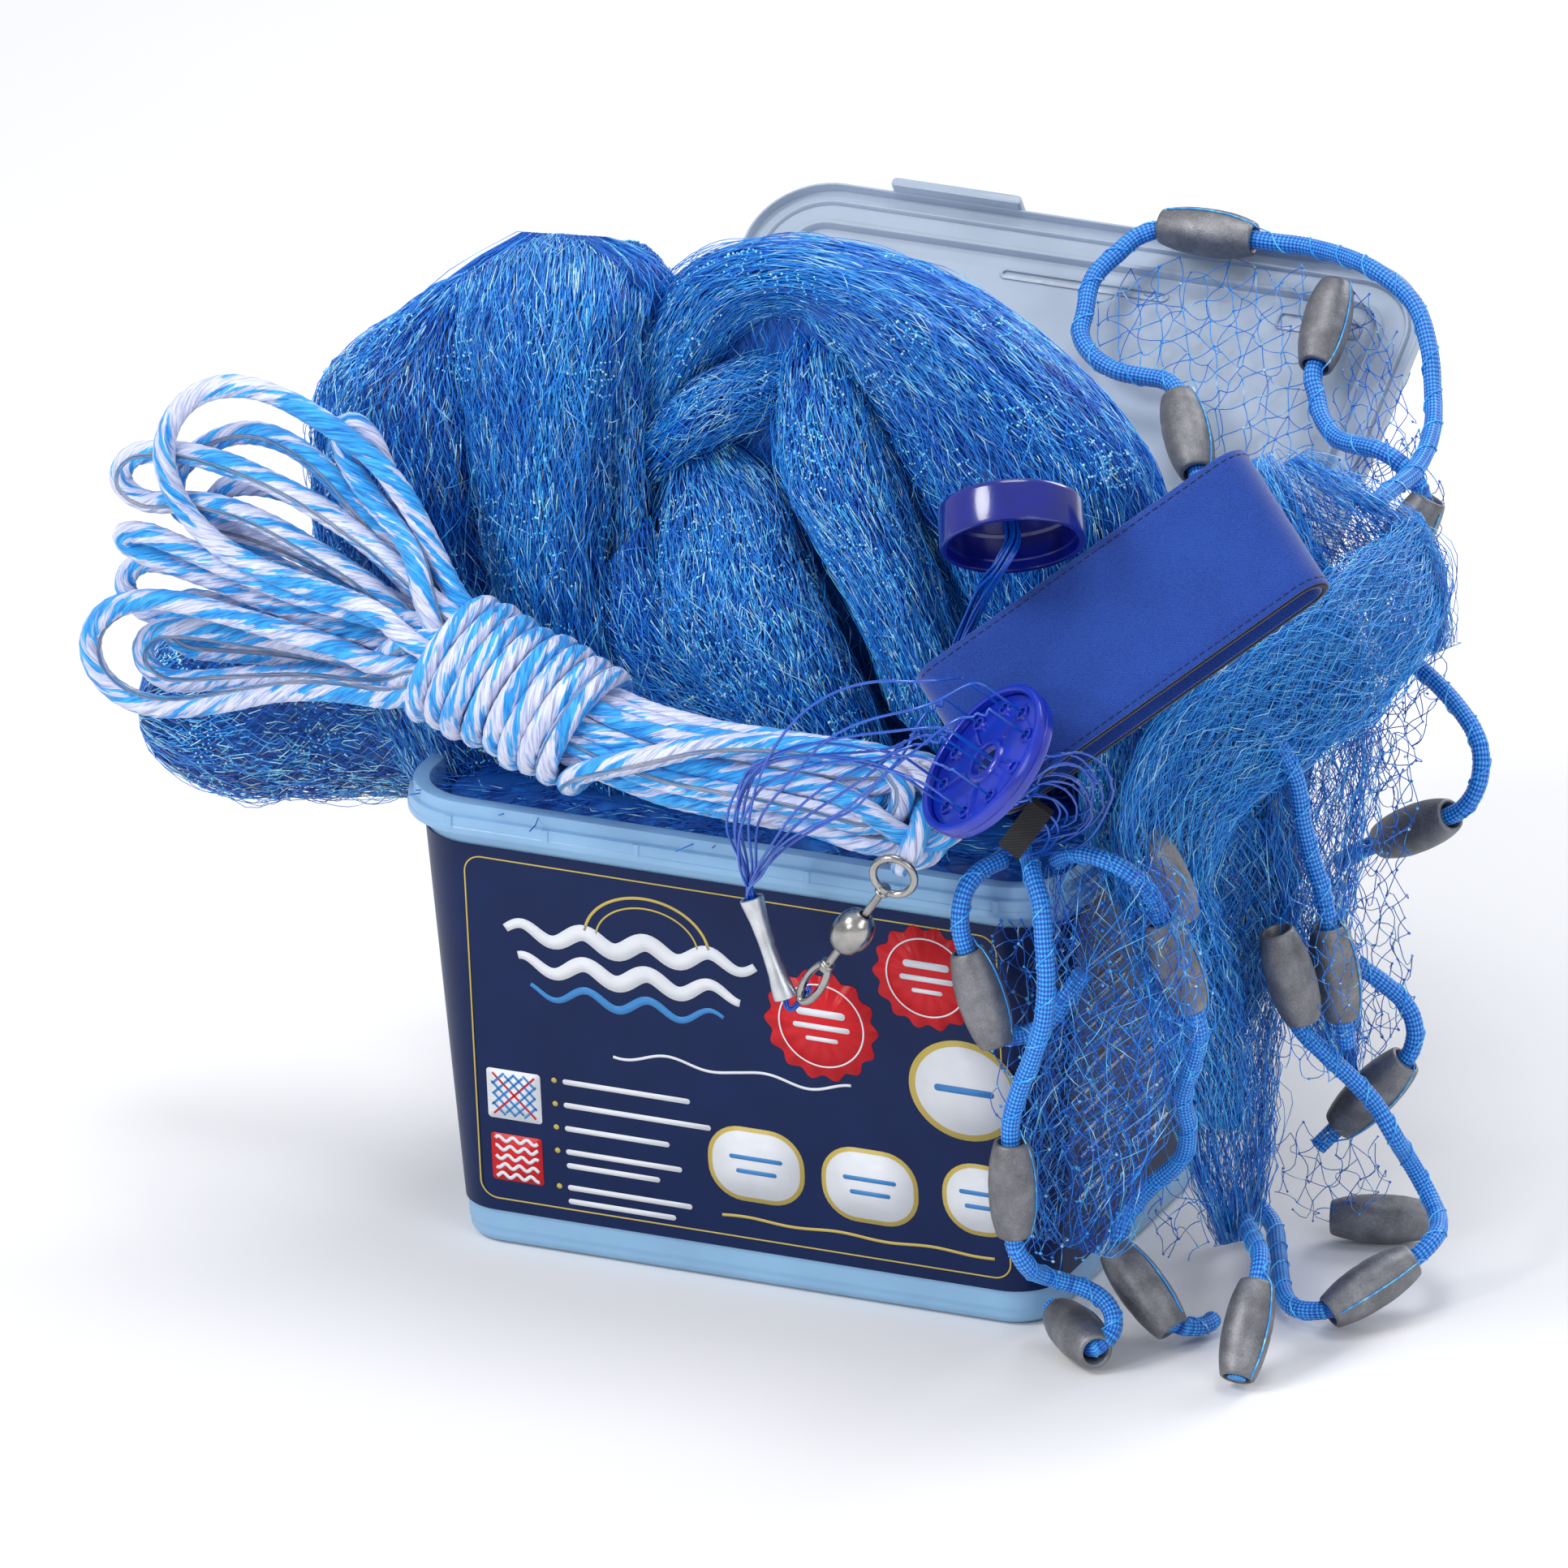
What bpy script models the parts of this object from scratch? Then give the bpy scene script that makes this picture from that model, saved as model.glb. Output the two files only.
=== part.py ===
"""Cast net spilling out of its storage tub: tub with wrap label and hinged lid, bunched
netting, lead line with barrel weights, hand line hank, barrel swivel, crimp sleeve, brail
lines, horn, collar cap and wrist cuff.  Metres, +Z up, origin at the middle of the tub's
underside, +X along the tub's long side, -Y towards its front."""

import math

import bmesh
import bpy
import numpy as np

for obj in list(bpy.data.objects):
    bpy.data.objects.remove(obj, do_unlink=True)

MM = 0.001
GAP = 0.4 * MM  # left between pieces that touch

# ---------------------------------------------------------------- driving dimensions
RIM_W, RIM_D, RIM_R = 240.0, 172.2, 27.0      # flange, outside, mm
BASE_W, BASE_D, BASE_R = 206.8, 139.0, 15.0
TUB_H, FLANGE_H, WALL = 161.3, 10.7, 1.6
NECK_W, NECK_D, NECK_R = 228.0, 160.2, 21.0   # wall just under the flange
LIP_IN, LIP_H = 2.0, 4.3                      # stepped lip on top of the flange
LABEL_LOW, LABEL_HIGH, LABEL_T = 13.0, 145.5, 0.4
LID_T, SKIRT_T, SKIRT_H = 1.6, 1.2, 4.0
LID_AXIS_Y, LID_AXIS_Z = 88.3, 160.9
LID_OPEN = 148.0                              # degrees from closed, at rest
WEIGHT_L, WEIGHT_D, WEIGHT_END_D, WEIGHT_BORE = 33.0, 16.0, 10.6, 8.4
LEAD_LINE_D = 6.0
HAND_LINE_D = 7.0
BRAIL_D = 1.1
HORN_D, HORN_H = 55.0, 7.0
CAP_D, CAP_H = 47.0, 14.5
CUFF_T, CUFF_W = 3.6, 54.0
SWIVEL_WIRE = 2.6
SWIVEL_AXIS_GAP = 0.35

# ---------------------------------------------------------------- sketch plane
# The loose pieces are laid out on an inclined sketch plane that looks at the tub from its
# front right.  A sketch unit is 0.2641 mm, u runs right, v runs down, and the third number
# is how far the point stands out of the plane, in mm.
SKETCH_AZ, SKETCH_EL, SKETCH_ROLL = math.radians(23.82), math.radians(23.18), math.radians(-0.98)
SKETCH_UNIT, SKETCH_MID = 0.26411, 966.0
SKETCH_AT = np.array([-32.5, 38.9, 128.1])


def sketch_axes():
    a, e, r = SKETCH_AZ, SKETCH_EL, SKETCH_ROLL
    away = np.array([-math.sin(a) * math.cos(e), math.cos(a) * math.cos(e), -math.sin(e)])
    right = np.array([math.cos(a), math.sin(a), 0.0])
    up = np.cross(right, away)
    return (
        right * math.cos(r) + up * math.sin(r),
        -right * math.sin(r) + up * math.cos(r),
        -away,
    )


AXR, AXU, AXN = sketch_axes()


def sk(u, v, out=0.0):
    """World point, mm, of a sketch point that stands out of the plane by out."""
    k = SKETCH_UNIT
    return SKETCH_AT + (u - SKETCH_MID) * k * AXR - (v - SKETCH_MID) * k * AXU + out * AXN


def on_axis(u, v, axis, value):
    p = sk(u, v)
    return p + AXN * (value - p[axis]) / AXN[axis]


def on_plane(u, v, point, normal):
    p, n = sk(u, v), np.asarray(normal, float)
    return p + AXN * np.dot(np.asarray(point, float) - p, n) / np.dot(AXN, n)


def at_x(u, v, x):
    return on_axis(u, v, 0, x)


def at_y(u, v, y):
    return on_axis(u, v, 1, y)


def at_z(u, v, z):
    return on_axis(u, v, 2, z)


LID_DIR = np.array([0.0, -math.cos(math.radians(LID_OPEN)), math.sin(math.radians(LID_OPEN))])
LID_UP = np.array([0.0, -math.sin(math.radians(LID_OPEN)), -math.cos(math.radians(LID_OPEN))])
LID_AXIS = np.array([0.0, LID_AXIS_Y, LID_AXIS_Z])


def on_lid(u, v, h):
    """Point above the open lid's inner side, h mm over the hinge plane."""
    p = sk(u, v)
    return p + AXN * (h - np.dot(p - LID_AXIS, LID_UP)) / np.dot(AXN, LID_UP)


# ---------------------------------------------------------------- modelling helpers
def material(name, rgb, rough=0.5, metal=0.0):
    mat = bpy.data.materials.new(name)
    mat.use_nodes = True
    bsdf = mat.node_tree.nodes["Principled BSDF"]
    bsdf.inputs["Base Color"].default_value = (*rgb, 1.0)
    bsdf.inputs["Roughness"].default_value = rough
    bsdf.inputs["Metallic"].default_value = metal
    mat.diffuse_color = (*rgb, 1.0)
    return mat


def mesh_object(name, verts, faces, mat, smooth=True):
    mesh = bpy.data.meshes.new(name)
    mesh.from_pydata([tuple(float(c) * MM for c in v) for v in verts], [], [tuple(f) for f in faces])
    mesh.update()
    bm = bmesh.new()
    bm.from_mesh(mesh)
    bmesh.ops.remove_doubles(bm, verts=bm.verts, dist=1e-6)
    bmesh.ops.recalc_face_normals(bm, faces=bm.faces)
    bm.to_mesh(mesh)
    bm.free()
    obj = bpy.data.objects.new(name, mesh)
    bpy.context.scene.collection.objects.link(obj)
    mesh.materials.append(mat)
    if smooth:
        mesh.shade_smooth()
        mesh.set_sharp_from_angle(angle=math.radians(40))
    return obj


def loft(rings, cap=True, closed=False):
    """Faces over a list of rings of equal length; capped with fans at both ends, or joined round."""
    n = len(rings[0])
    verts = [p for ring in rings for p in ring]
    faces = []
    count = len(rings)
    for i in range(count if closed else count - 1):
        a, b = i * n, ((i + 1) % count) * n
        for j in range(n):
            k = (j + 1) % n
            faces.append((a + j, a + k, b + k, b + j))
    if cap and not closed:
        faces.append(tuple(range(n)))
        faces.append(tuple(range((count - 1) * n, count * n)))
    return verts, faces


def rrect(w, d, r, z, n=6):
    """Rounded rectangle in a level plane."""
    pts = []
    for sx, sy, a0 in ((1, 1, 0), (-1, 1, 90), (-1, -1, 180), (1, -1, 270)):
        for i in range(n + 1):
            t = math.radians(a0 + 90 * i / n)
            pts.append((sx * (w / 2 - r) + r * math.cos(t), sy * (d / 2 - r) + r * math.sin(t), z))
    return pts


def wall_at(z, inset=0.0):
    """(width, depth, corner radius) of the tub's tapered wall at height z."""
    k = z / (TUB_H - FLANGE_H)
    mix = lambda a, b: a + (b - a) * k
    return (
        mix(BASE_W, NECK_W) - 2 * inset,
        mix(BASE_D, NECK_D) - 2 * inset,
        max(mix(BASE_R, NECK_R) - inset, 4.0),
    )


def frame_at(p, direction):
    """Two unit vectors square to a direction."""
    d = np.asarray(direction, float)
    d = d / np.linalg.norm(d)
    ref = np.array([0, 0, 1.0]) if abs(d[2]) < 0.9 else np.array([1.0, 0, 0])
    a = np.cross(ref, d)
    a /= np.linalg.norm(a)
    return a, np.cross(d, a), d


def turned(name, centre, direction, profile, mat, segs=12):
    """Closed solid of revolution.  profile: (along, radius) points of a closed outline."""
    a, b, d = frame_at(centre, direction)
    rings = []
    for along, radius in profile:
        ring = []
        for i in range(segs):
            t = 2 * math.pi * i / segs
            ring.append(centre + d * along + (a * math.cos(t) + b * math.sin(t)) * radius)
        rings.append(ring)
    return rings


def lathe(name, centre, direction, profile, mat, segs=12, closed=True):
    rings = turned(name, np.asarray(centre, float), direction, profile, mat, segs)
    verts, faces = loft(rings, cap=not closed, closed=closed)
    return mesh_object(name, verts, faces, mat)


def smooth_path(points, step):
    """Points every step mm along a centripetal curve through the given points."""
    pts = [np.asarray(p, float) for p in points]
    pts = [2 * pts[0] - pts[1]] + pts + [2 * pts[-1] - pts[-2]]
    dense = []
    for i in range(1, len(pts) - 2):
        p0, p1, p2, p3 = pts[i - 1 : i + 3]
        t0 = 0.0
        t1 = t0 + max(np.linalg.norm(p1 - p0), 1e-6) ** 0.5
        t2 = t1 + max(np.linalg.norm(p2 - p1), 1e-6) ** 0.5
        t3 = t2 + max(np.linalg.norm(p3 - p2), 1e-6) ** 0.5
        for t in np.linspace(t1, t2, 24, endpoint=False):
            a1 = (t1 - t) / (t1 - t0) * p0 + (t - t0) / (t1 - t0) * p1
            a2 = (t2 - t) / (t2 - t1) * p1 + (t - t1) / (t2 - t1) * p2
            a3 = (t3 - t) / (t3 - t2) * p2 + (t - t2) / (t3 - t2) * p3
            b1 = (t2 - t) / (t2 - t0) * a1 + (t - t0) / (t2 - t0) * a2
            b2 = (t3 - t) / (t3 - t1) * a2 + (t - t1) / (t3 - t1) * a3
            dense.append((t2 - t) / (t2 - t1) * b1 + (t - t1) / (t2 - t1) * b2)
    dense.append(pts[-2])
    dense = np.array(dense)
    seg = np.linalg.norm(np.diff(dense, axis=0), axis=1)
    s = np.concatenate([[0], np.cumsum(seg)])
    n = max(int(round(s[-1] / step)), 2)
    want = np.linspace(0, s[-1], n + 1)
    return np.stack([np.interp(want, s, dense[:, k]) for k in range(3)], 1)


def cord(name, points, diameter, mat, step=None, sides=2):
    """Tube: a curve with a round bevel and filled caps through a smooth route."""
    path = smooth_path(points, step or 2.5 * diameter)
    data = bpy.data.curves.new(name, "CURVE")
    data.dimensions = "3D"
    data.bevel_depth = diameter / 2 * MM
    data.bevel_resolution = sides
    data.use_fill_caps = True
    data.twist_mode = "MINIMUM"
    spline = data.splines.new("POLY")
    spline.points.add(len(path) - 1)
    for i, p in enumerate(path):
        spline.points[i].co = (*(p * MM), 1.0)
    data.materials.append(mat)
    obj = bpy.data.objects.new(name, data)
    bpy.context.scene.collection.objects.link(obj)
    return obj


def pillow(name, outline, place, front, back, mat, rings=5, cuts=(), power=0.5, smooth_n=28):
    """Soft closed lump: a star-shaped sketch outline, bulging out of the sketch plane by
    front and back mm.  place(u, v) puts a sketch point in the world; cuts are half spaces
    (point, normal) that trim it, keeping the side the normal points to."""
    pts = np.array(outline, float)
    c = pts.mean(axis=0)
    ang = np.unwrap(np.arctan2(pts[:, 1] - c[1], pts[:, 0] - c[0]))
    rad = np.linalg.norm(pts - c, axis=1)
    if ang[-1] < ang[0]:
        ang, rad = ang[::-1], rad[::-1]
    t = np.linspace(ang[0], ang[0] + 2 * math.pi, smooth_n, endpoint=False)
    r = np.interp(t, np.concatenate([ang, [ang[0] + 2 * math.pi]]), np.concatenate([rad, [rad[0]]]))
    r = 0.25 * np.roll(r, 1) + 0.5 * r + 0.25 * np.roll(r, -1)
    verts, faces = [], []
    n = smooth_n
    levels = [math.sin(math.pi / 2 * (k + 1) / rings) for k in range(rings)]  # 0..1 scale
    verts.append(place(*c) + AXN * front)
    for s in levels:
        for j in range(n):
            u, v = c + s * r[j] * np.array([math.cos(t[j]), math.sin(t[j])])
            verts.append(place(u, v) + AXN * front * (1 - s * s) ** power)
    first_back = len(verts)
    for s in levels[-2::-1]:
        for j in range(n):
            u, v = c + s * r[j] * np.array([math.cos(t[j]), math.sin(t[j])])
            verts.append(place(u, v) - AXN * back * (1 - s * s) ** power)
    verts.append(place(*c) - AXN * back)
    loops = [1 + k * n for k in range(rings)] + [first_back + k * n for k in range(rings - 1)]
    for j in range(n):
        faces.append((0, loops[0] + (j + 1) % n, loops[0] + j))
        faces.append((len(verts) - 1, loops[-1] + j, loops[-1] + (j + 1) % n))
    for a, b in zip(loops[:-1], loops[1:]):
        for j in range(n):
            k = (j + 1) % n
            faces.append((a + j, a + k, b + k, b + j))
    obj = mesh_object(name, verts, faces, mat)
    trim(obj, cuts)
    return obj


def trim(obj, cuts):
    bm = bmesh.new()
    bm.from_mesh(obj.data)
    for point, normal in cuts:
        out = bmesh.ops.bisect_plane(
            bm,
            geom=bm.verts[:] + bm.edges[:] + bm.faces[:],
            dist=1e-7,
            plane_co=[float(x) * MM for x in point],
            plane_no=[float(x) for x in normal],
            clear_inner=True,
        )
        edges = [g for g in out["geom_cut"] if isinstance(g, bmesh.types.BMEdge)]
        edges = [e for e in edges if e.is_boundary]
        if edges:
            bmesh.ops.holes_fill(bm, edges=edges, sides=0)
    bmesh.ops.recalc_face_normals(bm, faces=bm.faces)
    bmesh.ops.triangulate(bm, faces=bm.faces)
    bm.to_mesh(obj.data)
    bm.free()


def union(obj, others):
    for other in others:
        mod = obj.modifiers.new("union_" + other.name, "BOOLEAN")
        mod.operation = "UNION"
        mod.object = other
        other.hide_render = True
        other.display_type = "WIRE"


# ---------------------------------------------------------------- materials
TUB_BLUE = material("tub_plastic", (0.42, 0.60, 0.80), 0.35)
LID_GREY = material("lid_plastic", (0.66, 0.72, 0.82), 0.35)
LABEL = material("label_print", (0.02, 0.04, 0.12), 0.3)
NET = material("net_mono", (0.02, 0.16, 0.62), 0.4)
NET_OPEN = material("net_mono_open", (0.04, 0.28, 0.75), 0.4)
LEAD = material("lead", (0.16, 0.16, 0.17), 0.55, 0.6)
LEAD_LINE = material("lead_line_braid", (0.01, 0.20, 0.75), 0.6)
HAND_LINE = material("hand_line_braid", (0.72, 0.78, 0.92), 0.6)
STEEL = material("swivel_steel", (0.62, 0.62, 0.62), 0.25, 1.0)
ALUMINIUM = material("sleeve_aluminium", (0.78, 0.79, 0.80), 0.35, 1.0)
BRAIL = material("brail_mono", (0.01, 0.06, 0.45), 0.2)
HORN = material("horn_plastic", (0.01, 0.04, 0.58), 0.25)
CAP = material("cap_plastic", (0.02, 0.01, 0.30), 0.2)
CUFF = material("cuff_neoprene", (0.02, 0.07, 0.42), 0.8)
STRAP = material("cuff_strap", (0.01, 0.01, 0.012), 0.8)

# ---------------------------------------------------------------- tub
outer = [
    rrect(BASE_W - 8, BASE_D - 8, BASE_R - 4, 0.0),
    rrect(BASE_W - 2.4, BASE_D - 2.4, BASE_R - 1.2, 1.2),
    rrect(*wall_at(4.0), 4.0),
    rrect(*wall_at(TUB_H - FLANGE_H), TUB_H - FLANGE_H),
    rrect(RIM_W, RIM_D, RIM_R, TUB_H - FLANGE_H + 0.01),
    rrect(RIM_W, RIM_D, RIM_R, TUB_H - LIP_H),
    rrect(RIM_W - 2 * LIP_IN, RIM_D - 2 * LIP_IN, RIM_R - LIP_IN, TUB_H - LIP_H + 0.01),
    rrect(RIM_W - 2 * LIP_IN, RIM_D - 2 * LIP_IN, RIM_R - LIP_IN, TUB_H),
]
neck = wall_at(TUB_H - FLANGE_H, WALL)
inner = [
    rrect(neck[0], neck[1], neck[2], TUB_H),
    rrect(neck[0], neck[1], neck[2], TUB_H - FLANGE_H),
    rrect(*wall_at(4.0, WALL), 4.0),
    rrect(BASE_W - 9, BASE_D - 9, BASE_R - 4, 1.8),
]
mesh_object("tub_body", *loft(outer + inner), TUB_BLUE)

# wrap label, a thin sleeve round the wall
band = [
    rrect(*wall_at(LABEL_LOW, -0.35), LABEL_LOW),
    rrect(*wall_at(LABEL_LOW, -0.35 - LABEL_T), LABEL_LOW),
    rrect(*wall_at(LABEL_HIGH, -0.35 - LABEL_T), LABEL_HIGH),
    rrect(*wall_at(LABEL_HIGH, -0.35), LABEL_HIGH),
]
mesh_object("label_wrap", *loft(band, closed=True), LABEL)

# lid, drawn closed over the rim and then swung open about the hinge line
lid_rings = [
    rrect(RIM_W - 3, RIM_D - 3, RIM_R - 1.5, 0.8 + LID_T),
    rrect(RIM_W, RIM_D, RIM_R, 0.8 + LID_T - 0.9),
    rrect(RIM_W, RIM_D, RIM_R, 0.8 - SKIRT_H),
    rrect(RIM_W - 2 * SKIRT_T, RIM_D - 2 * SKIRT_T, RIM_R - SKIRT_T, 0.8 - SKIRT_H),
    rrect(RIM_W - 2 * SKIRT_T, RIM_D - 2 * SKIRT_T, RIM_R - SKIRT_T, 0.8),
    rrect(RIM_W - 28, RIM_D - 28, RIM_R - 10, 0.8),
    rrect(RIM_W - 30, RIM_D - 30, RIM_R - 11, -2.0),
    rrect(RIM_W - 33, RIM_D - 33, RIM_R - 12, -2.0),
    rrect(RIM_W - 34, RIM_D - 34, RIM_R - 12, 0.8),
]


def swing(p, z0=TUB_H):
    dy, dz = p[1] - LID_AXIS_Y, p[2] + z0 - LID_AXIS_Z
    c, s = math.cos(math.radians(LID_OPEN)), math.sin(math.radians(LID_OPEN))
    return (p[0], LID_AXIS_Y + dy * c + dz * s, LID_AXIS_Z - dy * s + dz * c)


verts, faces = loft([[swing(p) for p in ring] for ring in lid_rings])
lid = mesh_object("tub_lid", verts, faces, LID_GREY)
tabs = []
for side in (-1, 1):
    x0, x1 = sorted((side * 30.0, side * 76.0))
    y0, y1 = -RIM_D / 2 - 2.6, -RIM_D / 2 + 0.6
    z0, z1 = 0.8 - SKIRT_H - 4.0, 0.8 + LID_T - 0.5
    corners = [(x, y, z) for x in (x0, x1) for y in (y0, y1) for z in (z0, z1)]
    quad = [(0, 1, 3, 2), (4, 6, 7, 5), (0, 4, 5, 1), (2, 3, 7, 6), (0, 2, 6, 4), (1, 5, 7, 3)]
    tabs.append(mesh_object("tab_cutter_%d" % (side + 2), [swing(c) for c in corners], quad, LID_GREY, False))
union(lid, tabs)

strip = [(x, y, z) for x in (-75.0, 75.0) for y in (RIM_D / 2 + 0.35, RIM_D / 2 + 1.75) for z in (157.0, 160.4)]
mesh_object("hinge_strip", strip, [(0, 1, 3, 2), (4, 6, 7, 5), (0, 4, 5, 1), (2, 3, 7, 6), (0, 2, 6, 4), (1, 5, 7, 3)], LID_GREY, False)

# ---------------------------------------------------------------- netting
fill = [
    rrect(BASE_W - 16, BASE_D - 16, 8, 2.4),
    rrect(*wall_at(8.0, WALL + 1.2), 8.0),
    rrect(*wall_at(TUB_H - FLANGE_H, WALL + 1.2), TUB_H - 1.0),
]
mesh_object("net_in_tub", *loft(fill), NET)

OVER_RIM = ((0, 0, TUB_H + 0.4), (0, 0, 1))
LEFT_SPLIT = -47.0

pillow(
    "net_heap_centre",
    [(845, 372), (930, 318), (1050, 322), (1130, 342), (1200, 372), (1280, 432), (1350, 502), (1398, 575),
     (1425, 660), (1425, 800), (1400, 930), (1330, 1040), (1180, 1080), (1000, 1060), (860, 1020), (790, 880),
     (780, 700), (800, 500)],
    lambda u, v: at_y(u, v, 6.0), 90.0, 62.0, NET, rings=6,
    cuts=(OVER_RIM, ((LEFT_SPLIT + 0.2, 0, 0), (1, 0, 0)), ((120.4, 0, 0), (-1, 0, 0)), ((0, -79.0, 0), (0, 1, 0))),
)
pillow(
    "net_heap_left",
    [(850, 352), (800, 300), (760, 305), (720, 291), (670, 284), (600, 306), (560, 360), (480, 405), (404, 470),
     (390, 560), (370, 680), (400, 800), (500, 960), (620, 1020), (760, 1040), (880, 1000), (930, 850), (930, 650),
     (900, 480)],
    lambda u, v: at_y(u, v, 2.0), 72.0, 60.0, NET, rings=6,
    cuts=(OVER_RIM, ((LEFT_SPLIT - 0.2, 0, 0), (-1, 0, 0)), ((-120.4, 0, TUB_H + 0.4), (1, 0, 1)), ((0, -79.0, 0), (0, 1, 0))),
)
pillow(
    "net_lobe_left",
    [(190, 800), (165, 870), (172, 902), (200, 932), (250, 960), (310, 972), (370, 965), (430, 957), (500, 967),
     (540, 960), (590, 900), (600, 780), (540, 660), (440, 600), (340, 640), (250, 720)],
    lambda u, v: at_y(u, v, -6.0), 34.0, 40.0, NET, rings=5,
    cuts=(((-121.0, 0, 0), (-1, 0, 0)), ((-120.8, 0, TUB_H), (-1, 0, -1))),
)
pillow(
    "net_drape_right",
    [(1400, 700), (1470, 660), (1560, 700), (1600, 800), (1600, 920), (1585, 1050), (1570, 1150), (1540, 1270),
     (1490, 1390), (1430, 1400), (1380, 1300), (1345, 1180), (1330, 1060), (1340, 900), (1360, 780)],
    lambda u, v: on_plane(u, v, (126.0, -80.0, 0), (1, -0.2, 0)), 12.0, 24.0, NET, rings=5,
    cuts=(((121.0, 0, 0), (1, 0, 0)), ((0, -68.0, 0), (0, 1, 0))),
)
pillow(
    "net_curtain_right",
    [(1660, 520), (1740, 500), (1770, 570), (1780, 680), (1785, 780), (1775, 860), (1745, 930), (1700, 990),
     (1660, 960), (1650, 860), (1655, 740), (1655, 620)],
    lambda u, v: at_y(u, v, 163.0), 2.0, 2.0, NET_OPEN, rings=3, smooth_n=20,
    cuts=(((121.5, 0, 0), (1, 0, 0)),),
)
pillow(
    "net_skirt_right",
    [(1590, 900), (1640, 940), (1660, 1040), (1660, 1100), (1700, 1180), (1740, 1250), (1690, 1290), (1640, 1290),
     (1600, 1240), (1575, 1150), (1570, 1020)],
    lambda u, v: on_plane(u, v, (154.5, 0, 0), (1, -0.2, 0)), 1.5, 1.5, NET_OPEN, rings=3, smooth_n=20,
)
pillow(
    "net_front_curtain",
    [(1212, 1160), (1310, 1120), (1350, 1200), (1380, 1350), (1380, 1440), (1350, 1530), (1290, 1560), (1225, 1540),
     (1222, 1350)],
    lambda u, v: at_y(u, v, -84.4), 0.9, 0.9, NET_OPEN, rings=3, smooth_n=20,
    cuts=(((0, 0, 149.5), (0, 0, -1)),),
)
pillow(
    "net_on_lid",
    [(1350, 430), (1385, 330), (1450, 318), (1560, 335), (1680, 355), (1722, 395), (1706, 470), (1650, 600),
     (1600, 730), (1500, 720), (1420, 620)],
    lambda u, v: on_lid(u, v, 5.4), 1.2, 1.2, NET_OPEN, rings=3, smooth_n=20,
)
pillow(
    "net_behind_heap",
    [(1080, 640), (1200, 470), (1330, 500), (1420, 620), (1480, 760), (1400, 860), (1250, 880), (1120, 800)],
    lambda u, v: at_y(u, v, 104.0), 26.0, 30.0, NET, rings=4, smooth_n=20,
    cuts=(((0, 88, TUB_H + 8.0), (0, 0, 1)), ((0, LID_AXIS_Y, LID_AXIS_Z) + 8.0 * LID_UP, LID_UP),
          ((118.0, 0, 0), (-1, 0, 0)), ((0, 62.0, 0), (0, 1, 0)), ((0, 72, 196.0), (0, 0.5, 1.0))),
)

# ---------------------------------------------------------------- lead weights
# Each weight is given by its two ends on the sketch plane and where it lies.
R_W = WEIGHT_D / 2
FLOOR = R_W + 0.4


def ends(u0, v0, u1, v1, place):
    """Centre and direction of a weight whose ends are seen at two sketch points."""
    a, b = place(u0, v0), place(u1, v1)
    return (a + b) / 2, b - a


def deeper(u0, v0, u1, v1, y0, y1):
    a, b = at_y(u0, v0, y0), at_y(u1, v1, y1)
    return (a + b) / 2, b - a


WEIGHTS = {
    "01": ends(1429, 273, 1554, 292, lambda u, v: on_lid(u, v, 13.4)),
    "02": ends(1650, 345, 1621, 455, lambda u, v: on_lid(u, v, 15.6)),
    "03": ends(1451, 480, 1477, 590, lambda u, v: on_lid(u, v, 15.6)),
    "04": deeper(1762, 613, 1700, 718, 150, 139),
    "05": deeper(1804, 997, 1683, 1044, 96, 106),
    "06": deeper(1186, 1162, 1227, 1289, -102.5, -103),
    "07": deeper(1242, 1389, 1247, 1527, -105, -105),
    "08": (at_z(1324, 1636, FLOOR), np.array([0.70, -0.71, 0.0])),
    "09": (at_z(1405, 1583, 19.0), np.array([22.6, -6.4, -21.5])),
    "10": (at_z(1530, 1632, 16.6), np.array([1.65, -22.0, -25.0])),
    "11": (at_z(1683, 1580, 13.4), np.array([20.3, 24.1, 13.0])),
    "12": (at_z(1700, 1500, FLOOR), np.array([0.95, 0.3, 0.0])),
    "13": deeper(1737, 1297, 1640, 1394, 50, 42),
    "14": deeper(1420, 1121, 1466, 1248, -86, -80),
    "15": deeper(1404, 1030, 1450, 1126, -70, -68),
    "16": deeper(1563, 1134, 1604, 1266, -20, -16),
    "17": deeper(1630, 1134, 1650, 1256, 2, 4),
}


def weight(name, centre, direction):
    h, r, e = WEIGHT_L / 2, WEIGHT_D / 2, WEIGHT_END_D / 2
    profile = [(-h, e), (-h + 1.2, e + 0.7), (-h * 0.52, r * 0.955), (0.0, r), (h * 0.52, r * 0.955), (h - 1.2, e + 0.7),
               (h, e), (h, WEIGHT_BORE / 2), (-h, WEIGHT_BORE / 2)]
    return lathe(name, centre, direction, profile, LEAD, segs=10)


for key, (centre, direction) in WEIGHTS.items():
    weight("lead_weight_" + key, centre, direction)


def through(key, reverse=False, start=-0.68, end=0.68):
    """Route points of the lead line where it runs straight through a weight."""
    c, d = WEIGHTS[key]
    d = d / np.linalg.norm(d)
    pts = [c + d * k * WEIGHT_L for k in (start, -0.3, 0.3, end)]
    return pts[::-1] if reverse else pts


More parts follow.
